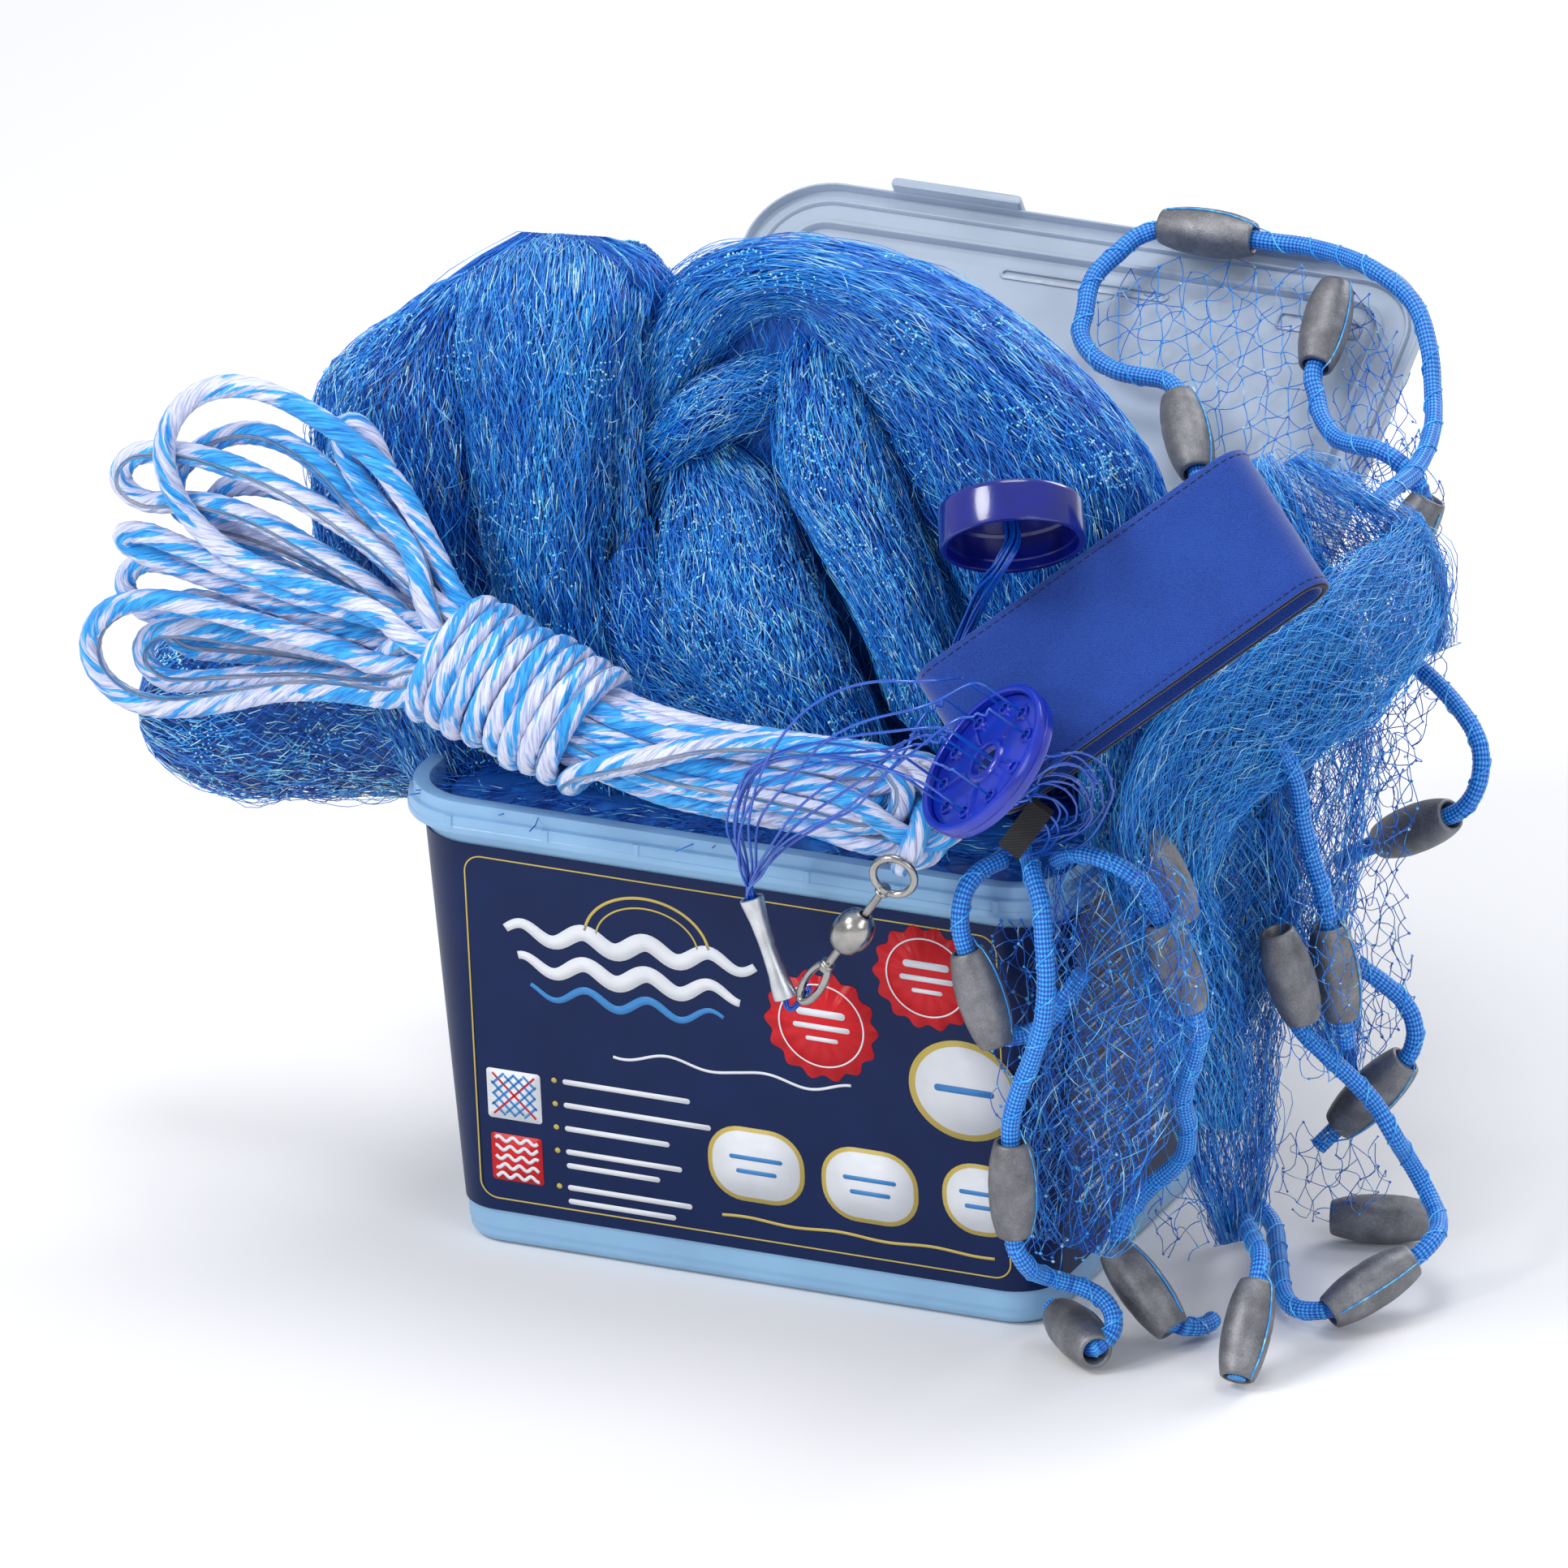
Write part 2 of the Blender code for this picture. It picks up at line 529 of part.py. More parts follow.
# ---------------------------------------------------------------- lead line
LEAD_LINE_RUNS = {
    "lead_line_top": through("03", True)
    + [on_lid(u, v, 14.0) for u, v in ((1416, 463), (1378, 455), (1348, 436), (1333, 410), (1338, 385), (1350, 338), (1388, 300))]
    + through("01")
    + [on_lid(1620, 302, 15.0), at_y(1700, 334, 204.0), at_y(1744, 374, 198.0), at_y(1762, 430, 188.0), at_y(1766, 482, 178.0)],
    "lead_line_lid_side": through("02", start=-0.52)
    + [on_lid(1622, 480, 14.5), on_lid(1630, 515, 13.5), on_lid(1652, 542, 16.0), at_y(1706, 556, 150.0), at_y(1755, 580, 147.0)]
    + through("04")
    + [at_y(1692, 748, 132.0), at_y(1716, 800, 122.0), at_y(1752, 827, 116.0), at_y(1790, 866, 110.0), at_y(1817, 906, 104.0),
       at_y(1836, 950, 98.0), at_y(1828, 980, 95.0)]
    + through("05")
    + [at_y(1650, 1064, 106.0)],
    "lead_line_front_left": [at_y(1232, 1058, -84.0), at_y(1206, 1071, -92.0), at_y(1186, 1092, -99.0), at_y(1180, 1118, -102.0)]
    + through("06")
    + [at_y(1254, 1312, -98.0), at_y(1280, 1290, -94.0), at_y(1303, 1234, -92.0), at_y(1330, 1195, -90.0)],
    "lead_line_front_mid": [at_y(1264, 1052, -84.5), at_y(1268, 1078, -98.0), at_y(1277, 1110, -103.0), at_y(1281, 1154, -106.5), at_y(1284, 1205, -108.5),
                            at_y(1280, 1256, -109.0), at_y(1268, 1297, -107.5), at_y(1252, 1338, -106.0)]
    + through("07")
    + [at_y(1262, 1554, -103.0), at_z(1290, 1570, 24.0), at_z(1335, 1581, 24.0), at_z(1372, 1588, 24.0), at_z(1398, 1604, 18.0),
       at_z(1400, 1646, 9.0), at_z(1391, 1668, 8.4), at_z(1376, 1672, 8.4)]
    + through("08", True, end=0.6),
    "lead_line_corner": [at_y(1298, 1058, -80.0), at_y(1330, 1044, -80.0), at_y(1366, 1048, -81.0), at_y(1398, 1074, -84.0)]
    + through("14")
    + [at_y(1470, 1280, -76.0), at_y(1462, 1310, -72.0), at_y(1452, 1348, -66.0), at_y(1459, 1389, -58.0), at_y(1450, 1424, -52.0),
       at_y(1420, 1452, -50.0), at_y(1396, 1474, -50.0), at_z(1378, 1504, 38.0)]
    + through("09", end=0.6)
    + [at_z(1452, 1655, 4.4), at_z(1474, 1644, 4.2), at_z(1490, 1620, 5.0)],
    "lead_line_floor": through("10", True, start=-0.68, end=0.5)
    + [at_z(1540, 1524, 30.0), at_z(1526, 1488, 20.0), at_z(1532, 1462, 12.0), at_z(1554, 1466, 7.0),
       at_z(1568, 1500, 5.0), at_z(1573, 1552, 5.0), at_z(1580, 1596, 5.0), at_z(1600, 1622, 5.0)]
    + through("11")
    + [at_z(1758, 1530, 24.0), at_z(1768, 1505, 24.0), at_z(1760, 1470, 26.0), at_z(1740, 1437, 30.0), at_y(1714, 1399, 6.0),
       at_y(1688, 1356, 6.0)],
    "lead_line_side": [at_y(1590, 960, 0.0), at_y(1599, 1011, 1.0), at_y(1609, 1052, 2.0), at_y(1622, 1093, 2.0)]
    + through("17")
    + [at_y(1654, 1284, 6.0)],
    "lead_line_back": [at_y(1668, 1188, 44.0), at_y(1692, 1203, 46.0), at_y(1728, 1234, 50.0), at_y(1748, 1262, 50.0), at_y(1748, 1284, 50.0)]
    + through("13")
    + [at_y(1622, 1412, 40.0)],
}
for name, route in LEAD_LINE_RUNS.items():
    cord(name, route, LEAD_LINE_D, LEAD_LINE, step=9.0)

# ---------------------------------------------------------------- hand line hank
HANK_A, HANK_B = at_y(552, 806, -93.0), at_y(772, 922, -99.0)
hank_dir = (HANK_B - HANK_A) / np.linalg.norm(HANK_B - HANK_A)


def bundle(name, stations, mat, segs=14):
    """Oval loft: stations of (centre, across radius, thickness radius)."""
    rings = []
    for centre, ra, rb in stations:
        side = np.cross(AXN, hank_dir)
        side /= np.linalg.norm(side)
        face = np.cross(hank_dir, side)
        rings.append([centre + side * ra * math.cos(2 * math.pi * i / segs) + face * rb * math.sin(2 * math.pi * i / segs) for i in range(segs)])
    verts, faces = loft(rings)
    return mesh_object(name, verts, faces, mat)


pillow(
    "hand_line_loops_left",
    [(545, 700), (500, 640), (460, 520), (420, 472), (370, 500), (300, 470), (225, 480), (190, 540), (120, 580), (108, 650),
     (118, 720), (100, 790), (140, 850), (209, 882), (330, 880), (450, 880), (520, 878), (556, 850), (590, 800), (580, 740)],
    lambda u, v: at_y(u, v, -76.0), 17.0, 11.0, HAND_LINE, rings=4, smooth_n=26,
    cuts=((HANK_A - 0.2 * hank_dir, -hank_dir),),
)
bundle("hand_line_wraps", [(HANK_A + hank_dir * k * 62.0 + hank_dir * 0.2, 25.5, 25.5) for k in (0.0, 0.5, 1.0)], HAND_LINE)
bundle(
    "hand_line_loops_right",
    [(HANK_B + hank_dir * 2.0, 21.0, 20.0), (at_y(860, 950, -100.0), 21.5, 19.0), (at_y(960, 965, -100.0), 21.0, 17.0),
     (at_y(1060, 985, -99.0), 20.5, 15.0), (at_y(1130, 1003, -98.0), 19.0, 13.0), (at_y(1172, 1010, -97.0), 12.0, 9.0)],
    HAND_LINE,
)

# ---------------------------------------------------------------- swivel and sleeve
EYE_U, BARREL, EYE_L = at_y(1099, 1078, -118.0), at_y(1054, 1151, -116.0), at_y(1002, 1208, -113.0)
swivel_dir = (EYE_L - EYE_U) / np.linalg.norm(EYE_L - EYE_U)
BARREL = EYE_U + swivel_dir * np.dot(BARREL - EYE_U, swivel_dir)


def ring_tube(name, centre, long_dir, half_l, half_w, wire, mat, normal, segs=20, sides=8, stem=None):
    """Oval ring of wire, with a stem along long_dir towards the barrel."""
    n = np.asarray(normal, float)
    n = n / np.linalg.norm(n)
    a = np.asarray(long_dir, float)
    a = a - n * np.dot(a, n)
    a /= np.linalg.norm(a)
    b = np.cross(n, a)
    rings = []
    for i in range(segs):
        t = 2 * math.pi * i / segs
        c = centre + a * half_l * math.cos(t) + b * half_w * math.sin(t)
        tan = -a * half_l * math.sin(t) + b * half_w * math.cos(t)
        tan /= np.linalg.norm(tan)
        out = np.cross(tan, n)
        rings.append([c + (out * math.cos(2 * math.pi * j / sides) + n * math.sin(2 * math.pi * j / sides)) * wire / 2 for j in range(sides)])
    verts, faces = loft(rings, closed=True)
    obj = mesh_object(name, verts, faces, mat)
    if stem:
        s0, s1, rad = stem
        rod = lathe(name + "_stem_cutter", centre, a, [(s0, rad), (s1, rad)], mat, segs=8, closed=False)
        head = lathe(name + "_head_cutter", centre, a, [(s1 - 1.6, rad * 1.7), (s1 + 0.2, rad * 1.7)], mat, segs=8, closed=False)
        union(obj, [rod, head])
    return obj


d_u, d_l = np.dot(BARREL - EYE_U, swivel_dir), np.dot(EYE_L - BARREL, swivel_dir)
B_H = 8.6
BODY = [(-B_H, 2.3), (-B_H + 1.0, 3.4), (-B_H * 0.45, 6.0), (0, 6.7), (B_H * 0.45, 6.0), (B_H - 1.0, 3.4), (B_H, 2.3)]
BORE = [(B_H, 1.75), (B_H - 2.2, 1.75), (B_H - 2.4, 3.1), (2.0, 4.4), (-2.0, 4.4), (-B_H + 2.4, 3.1), (-B_H + 2.2, 1.75), (-B_H, 1.75)]
lathe("swivel_barrel", BARREL, swivel_dir, BODY + BORE, STEEL, segs=16)
ring_tube("swivel_eye_upper", EYE_U, swivel_dir, 6.9, 6.9, SWIVEL_WIRE, STEEL, AXN + 0.1 * AXR, stem=(6.2, d_u - 3.0, 1.3))
ring_tube("swivel_eye_lower", EYE_L, -swivel_dir, 8.6, 3.35, SWIVEL_WIRE, STEEL, AXN + 0.5 * AXU, stem=(7.9, d_l - 3.0, 1.3))

SLEEVE_A, SLEEVE_B = at_y(926, 1104, -112.0), at_y(968, 1226, -113.0)
sleeve_dir = SLEEVE_B - SLEEVE_A
half = np.linalg.norm(sleeve_dir) / 2
lathe(
    "crimp_sleeve", (SLEEVE_A + SLEEVE_B) / 2, sleeve_dir,
    [(-half, 3.9), (-half * 0.55, 3.0), (0, 2.75), (half * 0.55, 3.0), (half, 3.9), (half, 3.0), (half * 0.5, 2.2), (-half * 0.5, 2.2), (-half, 3.0)],
    ALUMINIUM, segs=12,
)
sd = sleeve_dir / np.linalg.norm(sleeve_dir)

# ---------------------------------------------------------------- horn, cap and brail lines
HORN_AT = at_y(1203, 933, -135.0)
horn_n = -0.726 * AXR + 0.513 * AXU + 0.457 * AXN
horn_n = horn_n / np.linalg.norm(horn_n)
# the ring runs back from its face; the plate sits inside it
lathe("horn_ring", HORN_AT, -horn_n,
      [(0, HORN_D / 2), (HORN_H, HORN_D / 2 - 0.8), (HORN_H, HORN_D / 2 - 3.6), (4.9, HORN_D / 2 - 3.6), (4.9, HORN_D / 2 - 2.6), (0, HORN_D / 2 - 2.6)],
      HORN, segs=32)
lathe("horn_plate", HORN_AT, -horn_n,
      [(2.4, HORN_D / 2 - 3.0), (4.5, HORN_D / 2 - 3.0), (4.5, 5.5), (2.4, 5.5)], HORN, segs=32)

CAP_AT = at_y(1241, 653, -88.0)
cap_n = 0.07 * AXR - 0.925 * AXU + 0.37 * AXN
cap_n = cap_n / np.linalg.norm(cap_n)
lathe("collar_cap", CAP_AT, cap_n,
      [(-CAP_H / 2, 0.8), (-CAP_H / 2, CAP_D / 2 - 1.2), (-CAP_H / 2 + 1.2, CAP_D / 2), (CAP_H / 2, CAP_D / 2), (CAP_H / 2, CAP_D / 2 - 2.2),
       (-CAP_H / 2 + 2.2, CAP_D / 2 - 2.2), (-CAP_H / 2 + 2.2, 0.8)],
      CAP, segs=28)

cord("cap_line_bundle", [CAP_AT - cap_n * 3.0, CAP_AT + cap_n * 5.0, CAP_AT + cap_n * 11.0 - AXR * 3.0, at_y(1206, 738, -82.0), at_y(1180, 800, -77.5), at_y(1166, 850, -77.5)],
     4.0, BRAIL, step=10.0)
cord("brail_bundle", [SLEEVE_A + sd * 9.0, SLEEVE_A - sd * 2.0, at_y(914, 1070, -117.0), at_y(906, 1020, -124.0), at_y(922, 965, -131.0),
                      at_y(975, 922, -136.0), at_y(1050, 905, -138.0), at_y(1120, 912, -138.0),
                      HORN_AT + horn_n * 12.0, HORN_AT + horn_n * 3.0, HORN_AT - horn_n * 4.0, HORN_AT - horn_n * 9.0],
     4.0, BRAIL, step=10.0)
cord("brail_loop", [SLEEVE_B - sd * 9.0, SLEEVE_B - sd * 2.0, SLEEVE_B + sd * 4.0, EYE_L + 3.0 * swivel_dir - AXN * 3.5 + AXR * 0.3, EYE_L + 3.4 * swivel_dir + AXN * 0.0,
                    EYE_L + 3.0 * swivel_dir + AXN * 3.5], 1.6, BRAIL, step=4.0)
cord("hand_line_end", [at_y(1150, 1030, -114.0), at_y(1128, 1048, -121.0), EYE_U + AXN * 6.0 - swivel_dir * 3.0, EYE_U - swivel_dir * 1.2, EYE_U - AXN * 6.5 - swivel_dir * 3.5], 6.0, HAND_LINE, step=8.0)

# ---------------------------------------------------------------- wrist cuff


def cuff_outline(offset, n=14):
    """Flattened loop in its own plane: two straight layers joined by round ends."""
    half_len, r = 56.0, 5.2 + offset
    pts = []
    for i in range(n + 1):
        t = -math.pi / 2 + math.pi * i / n
        pts.append((half_len + r * math.cos(t), r * math.sin(t)))
    for i in range(n + 1):
        t = math.pi / 2 + math.pi * i / n
        pts.append((-half_len + r * math.cos(t), r * math.sin(t)))
    return pts


cuff_c = at_y(1376, 782, -77.0)
cuff_x = 0.807 * AXR + 0.572 * AXU + 0.16 * AXN      # along the flattened loop
cuff_x /= np.linalg.norm(cuff_x)
cuff_z = 0.560 * AXR - 0.700 * AXU + 0.33 * AXN      # the way a hand goes through
cuff_z -= cuff_x * np.dot(cuff_z, cuff_x)
cuff_z /= np.linalg.norm(cuff_z)
cuff_y = np.cross(cuff_z, cuff_x)
rings = []
for offset, along in ((CUFF_T, -CUFF_W / 2), (CUFF_T, CUFF_W / 2), (0.0, CUFF_W / 2), (0.0, -CUFF_W / 2)):
    rings.append([cuff_c + cuff_x * p[0] + cuff_y * p[1] + cuff_z * along for p in cuff_outline(offset, 8)])
mesh_object("wrist_cuff", *loft(rings, closed=True), CUFF)
strap_a = cuff_c - cuff_x * 52.0 + cuff_z * (CUFF_W / 2 + 5.4)
strap_dir = at_y(1240, 1046, -98.0) - strap_a
strap_len = np.linalg.norm(strap_dir)
strap_dir /= strap_len
strap_w = np.cross(strap_dir, AXN)
strap_w /= np.linalg.norm(strap_w)
strap_n = np.cross(strap_w, strap_dir)
corners = [strap_a + strap_dir * a * strap_len + strap_w * b * 4.2 + strap_n * c for a in (0, 1) for b in (-1, 1) for c in (-1.3, 1.3)]
mesh_object("cuff_strap", corners, [(0, 1, 3, 2), (4, 6, 7, 5), (0, 4, 5, 1), (2, 3, 7, 6), (0, 2, 6, 4), (1, 5, 7, 3)], STRAP, False)
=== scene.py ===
"""Looks of the cast net in its tub: netting as real knotted strands over folded lobes, braided
lines as relief tubes, translucent tub and lid, wrap label, cast weights, swivel, horn and cuff.
Metres in the scene; the helpers below work in millimetres in the same frame."""

import math

import bmesh
import bpy
import numpy as np
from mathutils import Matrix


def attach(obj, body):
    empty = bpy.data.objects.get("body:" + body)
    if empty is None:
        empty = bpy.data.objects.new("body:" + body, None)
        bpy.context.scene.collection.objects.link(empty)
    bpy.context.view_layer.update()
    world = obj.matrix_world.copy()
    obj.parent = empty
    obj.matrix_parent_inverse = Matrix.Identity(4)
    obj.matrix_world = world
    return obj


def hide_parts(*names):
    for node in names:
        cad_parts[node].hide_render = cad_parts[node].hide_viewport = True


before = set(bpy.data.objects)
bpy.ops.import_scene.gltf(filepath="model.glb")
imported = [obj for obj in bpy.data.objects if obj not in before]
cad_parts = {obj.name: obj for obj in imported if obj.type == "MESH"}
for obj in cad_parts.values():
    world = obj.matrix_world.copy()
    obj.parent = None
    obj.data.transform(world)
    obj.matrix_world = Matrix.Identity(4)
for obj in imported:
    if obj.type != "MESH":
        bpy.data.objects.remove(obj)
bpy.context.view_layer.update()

MM = 0.001
SCENE = bpy.context.scene

# ---------------------------------------------------------------- sketch plane, as in the CAD
SKETCH_UNIT, SKETCH_MID = 0.26411, 966.0
SKETCH_AT = np.array([-32.5, 38.9, 128.1])


def sketch_axes():
    a, e, r = math.radians(23.82), math.radians(23.18), math.radians(-0.98)
    away = np.array([-math.sin(a) * math.cos(e), math.cos(a) * math.cos(e), -math.sin(e)])
    right = np.array([math.cos(a), math.sin(a), 0.0])
    up = np.cross(right, away)
    return (right * math.cos(r) + up * math.sin(r), -right * math.sin(r) + up * math.cos(r), -away)


AXR, AXU, AXN = sketch_axes()


def arr(x):
    return np.asarray(x, float)


def sk(u, v, out=0.0):
    u, v, out = np.broadcast_arrays(arr(u), arr(v), arr(out))
    k = SKETCH_UNIT
    return (SKETCH_AT + ((u - SKETCH_MID) * k)[..., None] * AXR - ((v - SKETCH_MID) * k)[..., None] * AXU
            + out[..., None] * AXN)


def on_axis(u, v, axis, value):
    p = sk(u, v)
    return p + ((arr(value) - p[..., axis]) / AXN[axis])[..., None] * AXN


def at_x(u, v, x):
    return on_axis(u, v, 0, x)


def at_y(u, v, y):
    return on_axis(u, v, 1, y)


def at_z(u, v, z):
    return on_axis(u, v, 2, z)


def on_plane(u, v, point, normal):
    p, n = sk(u, v), arr(normal)
    return p + (((arr(point) - p) @ n) / (AXN @ n))[..., None] * AXN


LID_OPEN = 148.0
LID_DIR = np.array([0.0, -math.cos(math.radians(LID_OPEN)), math.sin(math.radians(LID_OPEN))])
LID_UP = np.array([0.0, -math.sin(math.radians(LID_OPEN)), -math.cos(math.radians(LID_OPEN))])
LID_AXIS = np.array([0.0, 88.3, 160.9])


def on_lid(u, v, h):
    p = sk(u, v)
    return p + ((arr(h) - (p - LID_AXIS) @ LID_UP) / (AXN @ LID_UP))[..., None] * AXN


def uv_of(p):
    """Sketch point and stand-out of a world point."""
    d = arr(p) - SKETCH_AT
    return SKETCH_MID + d @ AXR / SKETCH_UNIT, SKETCH_MID - d @ AXU / SKETCH_UNIT, d @ AXN


def unit(v):
    v = arr(v)
    return v / np.maximum(np.linalg.norm(v, axis=-1, keepdims=True), 1e-12)


# ---------------------------------------------------------------- camera
CAM_A, CAM_E, CAM_ROLL, CAM_R = 0.41567, 0.4045, -0.01712, 12432.69
CAM_F = 47075.79 / 1932 * 36.0
CAM_T = np.array([-32.53, 38.92, 128.11])


def make_camera():
    a, e, r = CAM_A, CAM_E, CAM_ROLL
    d = np.array([-math.sin(a) * math.cos(e), math.cos(a) * math.cos(e), -math.sin(e)])
    right = np.array([math.cos(a), math.sin(a), 0.0])
    up = np.cross(right, d)
    x = right * math.cos(r) + up * math.sin(r)
    y = -right * math.sin(r) + up * math.cos(r)
    data = bpy.data.cameras.new("camera")
    data.sensor_width = 36.0
    data.lens = CAM_F
    data.clip_start, data.clip_end = 1.0, 60.0
    cam = bpy.data.objects.new("camera", data)
    SCENE.collection.objects.link(cam)
    p = (CAM_T - d * CAM_R) * MM
    m = np.eye(4)
    m[:3, 0], m[:3, 1], m[:3, 2], m[:3, 3] = x, y, -d, p
    from mathutils import Matrix
    cam.matrix_world = Matrix([list(row) for row in m])
    SCENE.camera = cam
    return cam


make_camera()


# ---------------------------------------------------------------- mesh helpers
def build(name, verts, faces, mat, uv=None, col=None, smooth=True, sharp=None, body="net_and_tub"):
    """A mesh piece from points in mm.  faces: list of index arrays, each (n, 3) or (n, 4).
    uv: per vertex (n, 2); col: per vertex (n, 3), stored as the colour attribute 'tint'."""
    verts = arr(verts)
    faces = [np.asarray(f, np.int64) for f in (faces if isinstance(faces, list) else [faces]) if len(f)]
    mesh = bpy.data.meshes.new(name)
    mesh.vertices.add(len(verts))
    mesh.vertices.foreach_set("co", (verts * MM).astype(np.float32).ravel())
    loops = np.concatenate([f.ravel() for f in faces])
    sizes = np.concatenate([np.full(len(f), f.shape[1]) for f in faces])
    starts = np.concatenate([[0], np.cumsum(sizes)[:-1]])
    mesh.loops.add(len(loops))
    mesh.loops.foreach_set("vertex_index", loops.astype(np.int32))
    mesh.polygons.add(len(sizes))
    mesh.polygons.foreach_set("loop_start", starts.astype(np.int32))
    if smooth:
        mesh.polygons.foreach_set("use_smooth", np.ones(len(sizes), bool))
    mesh.update(calc_edges=True)
    if uv is not None:
        layer = mesh.uv_layers.new(name="flow")
        layer.data.foreach_set("uv", arr(uv)[loops].astype(np.float32).ravel())
    if col is not None:
        att = mesh.color_attributes.new(name="tint", type="FLOAT_COLOR", domain="POINT")
        rgba = np.ones((len(verts), 4), np.float32)
        rgba[:, :3] = col
        att.data.foreach_set("color", rgba.ravel())
    if sharp is not None:
        mesh.set_sharp_from_angle(angle=math.radians(sharp))
    for m in (mat if isinstance(mat, (list, tuple)) else [mat]):
        mesh.materials.append(m)
    obj = bpy.data.objects.new(name, mesh)
    SCENE.collection.objects.link(obj)
    if body:
        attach(obj, body)
    return obj


class Batch:
    """Collects many shapes into one mesh piece."""

    def __init__(self):
        self.v, self.f3, self.f4, self.c, self.t, self.n = [], [], [], [], [], 0

    def add(self, verts, quads=None, tris=None, col=None, uv=None):
        verts = arr(verts).reshape(-1, 3)
        self.v.append(verts)
        if quads is not None and len(quads):
            self.f4.append(np.asarray(quads, np.int64) + self.n)
        if tris is not None and len(tris):
            self.f3.append(np.asarray(tris, np.int64) + self.n)
        c = np.empty((len(verts), 3))
        c[:] = (1, 1, 1) if col is None else col
        self.c.append(c)
        t = np.zeros((len(verts), 2))
        if uv is not None:
            t[:] = uv
        self.t.append(t)
        self.n += len(verts)

    def make(self, name, mat, **kw):
        faces = []
        if self.f4:
            faces.append(np.concatenate(self.f4))
        if self.f3:
            faces.append(np.concatenate(self.f3))
        return build(name, np.concatenate(self.v), faces, mat, col=np.concatenate(self.c), uv=np.concatenate(self.t), **kw)


def tubes(paths, radius, sides=3, col=None, twist=0.0, taper=False):
    """Closed thin tubes along many paths of one length.  paths (m, n, 3); radius number or (m,) or (m, n);
    col None, (m, 3) or (m, n, 3).  Returns verts, quads, tris, colours."""
    paths = arr(paths)
    m, n, _ = paths.shape
    tan = np.gradient(paths, axis=1)
    tan = unit(tan)
    ref = np.cross(tan, np.array([0.31, 0.77, -0.56]))
    a = unit(ref)
    b = np.cross(tan, a)
    r = np.broadcast_to(arr(radius).reshape(-1, 1) if arr(radius).ndim == 1 else arr(radius), (m, n)).copy()
    if taper:
        r[:, 0] *= 0.3
        r[:, -1] *= 0.3
    ang = np.arange(sides) * 2 * math.pi / sides + twist
    ring = (a[:, :, None, :] * np.cos(ang)[None, None, :, None] + b[:, :, None, :] * np.sin(ang)[None, None, :, None])
    verts = paths[:, :, None, :] + ring * r[:, :, None, None]
    idx = np.arange(m * n * sides).reshape(m, n, sides)
    q = np.stack([idx[:, :-1], np.roll(idx[:, :-1], -1, 2), np.roll(idx[:, 1:], -1, 2), idx[:, 1:]], -1).reshape(-1, 4)
    tri = []
    quads_extra = []
    if sides == 3:
        tri = [idx[:, 0, ::-1], idx[:, -1, :]]
    elif sides == 4:
        quads_extra = [idx[:, 0, ::-1], idx[:, -1, :]]
    else:
        for k in range(1, sides - 1):
            tri.append(np.stack([idx[:, 0, 0], idx[:, 0, k + 1], idx[:, 0, k]], -1))
            tri.append(np.stack([idx[:, -1, 0], idx[:, -1, k], idx[:, -1, k + 1]], -1))
    if quads_extra:
        q = np.concatenate([q] + quads_extra)
    tri = np.concatenate(tri) if tri else None
    if col is not None:
        col = arr(col)
        if col.ndim == 2:
            col = col[:, None, :]
        col = np.broadcast_to(col[:, :, None, :], (m, n, sides, 3)).reshape(-1, 3)
    return verts.reshape(-1, 3), q, tri, col


def knots(points, size, col=None, rng=None):
    """Small eight-sided knots at the given points."""
    points = arr(points).reshape(-1, 3)
    m = len(points)
    base = arr([(1, 0, 0), (-1, 0, 0), (0, 1, 0), (0, -1, 0), (0, 0, 1), (0, 0, -1)])
    s = arr(size)
    s = np.full(m, float(s)) if s.ndim == 0 else s
    verts = points[:, None, :] + base[None] * s[:, None, None]
    f = arr([(0, 2, 4), (2, 1, 4), (1, 3, 4), (3, 0, 4), (2, 0, 5), (1, 2, 5), (3, 1, 5), (0, 3, 5)]).astype(np.int64)
    tri = (f[None] + np.arange(m)[:, None, None] * 6).reshape(-1, 3)
    if col is not None:
        col = np.repeat(np.broadcast_to(arr(col), (m, 3)), 6, 0)
    return verts.reshape(-1, 3), None, tri, col


def put(batch, made):
    batch.add(made[0], made[1], made[2], made[3])


def smooth_path(points, step, dense=24):
    pts = [arr(p) for p in points]
    pts = [2 * pts[0] - pts[1]] + pts + [2 * pts[-1] - pts[-2]]
    out = []
    for i in range(1, len(pts) - 2):
        p0, p1, p2, p3 = pts[i - 1 : i + 3]
        t0 = 0.0
        t1 = t0 + max(np.linalg.norm(p1 - p0), 1e-6) ** 0.5
        t2 = t1 + max(np.linalg.norm(p2 - p1), 1e-6) ** 0.5
        t3 = t2 + max(np.linalg.norm(p3 - p2), 1e-6) ** 0.5
        t = np.linspace(t1, t2, dense, endpoint=False)[:, None]
        a1 = (t1 - t) / (t1 - t0) * p0 + (t - t0) / (t1 - t0) * p1
        a2 = (t2 - t) / (t2 - t1) * p1 + (t - t1) / (t2 - t1) * p2
        a3 = (t3 - t) / (t3 - t2) * p2 + (t - t2) / (t3 - t2) * p3
        b1 = (t2 - t) / (t2 - t0) * a1 + (t - t0) / (t2 - t0) * a2
        b2 = (t3 - t) / (t3 - t1) * a2 + (t - t1) / (t3 - t1) * a3
        out.append((t2 - t) / (t2 - t1) * b1 + (t - t1) / (t2 - t1) * b2)
    dense_pts = np.concatenate(out + [arr(points[-1])[None]])
    return resample(dense_pts, step)


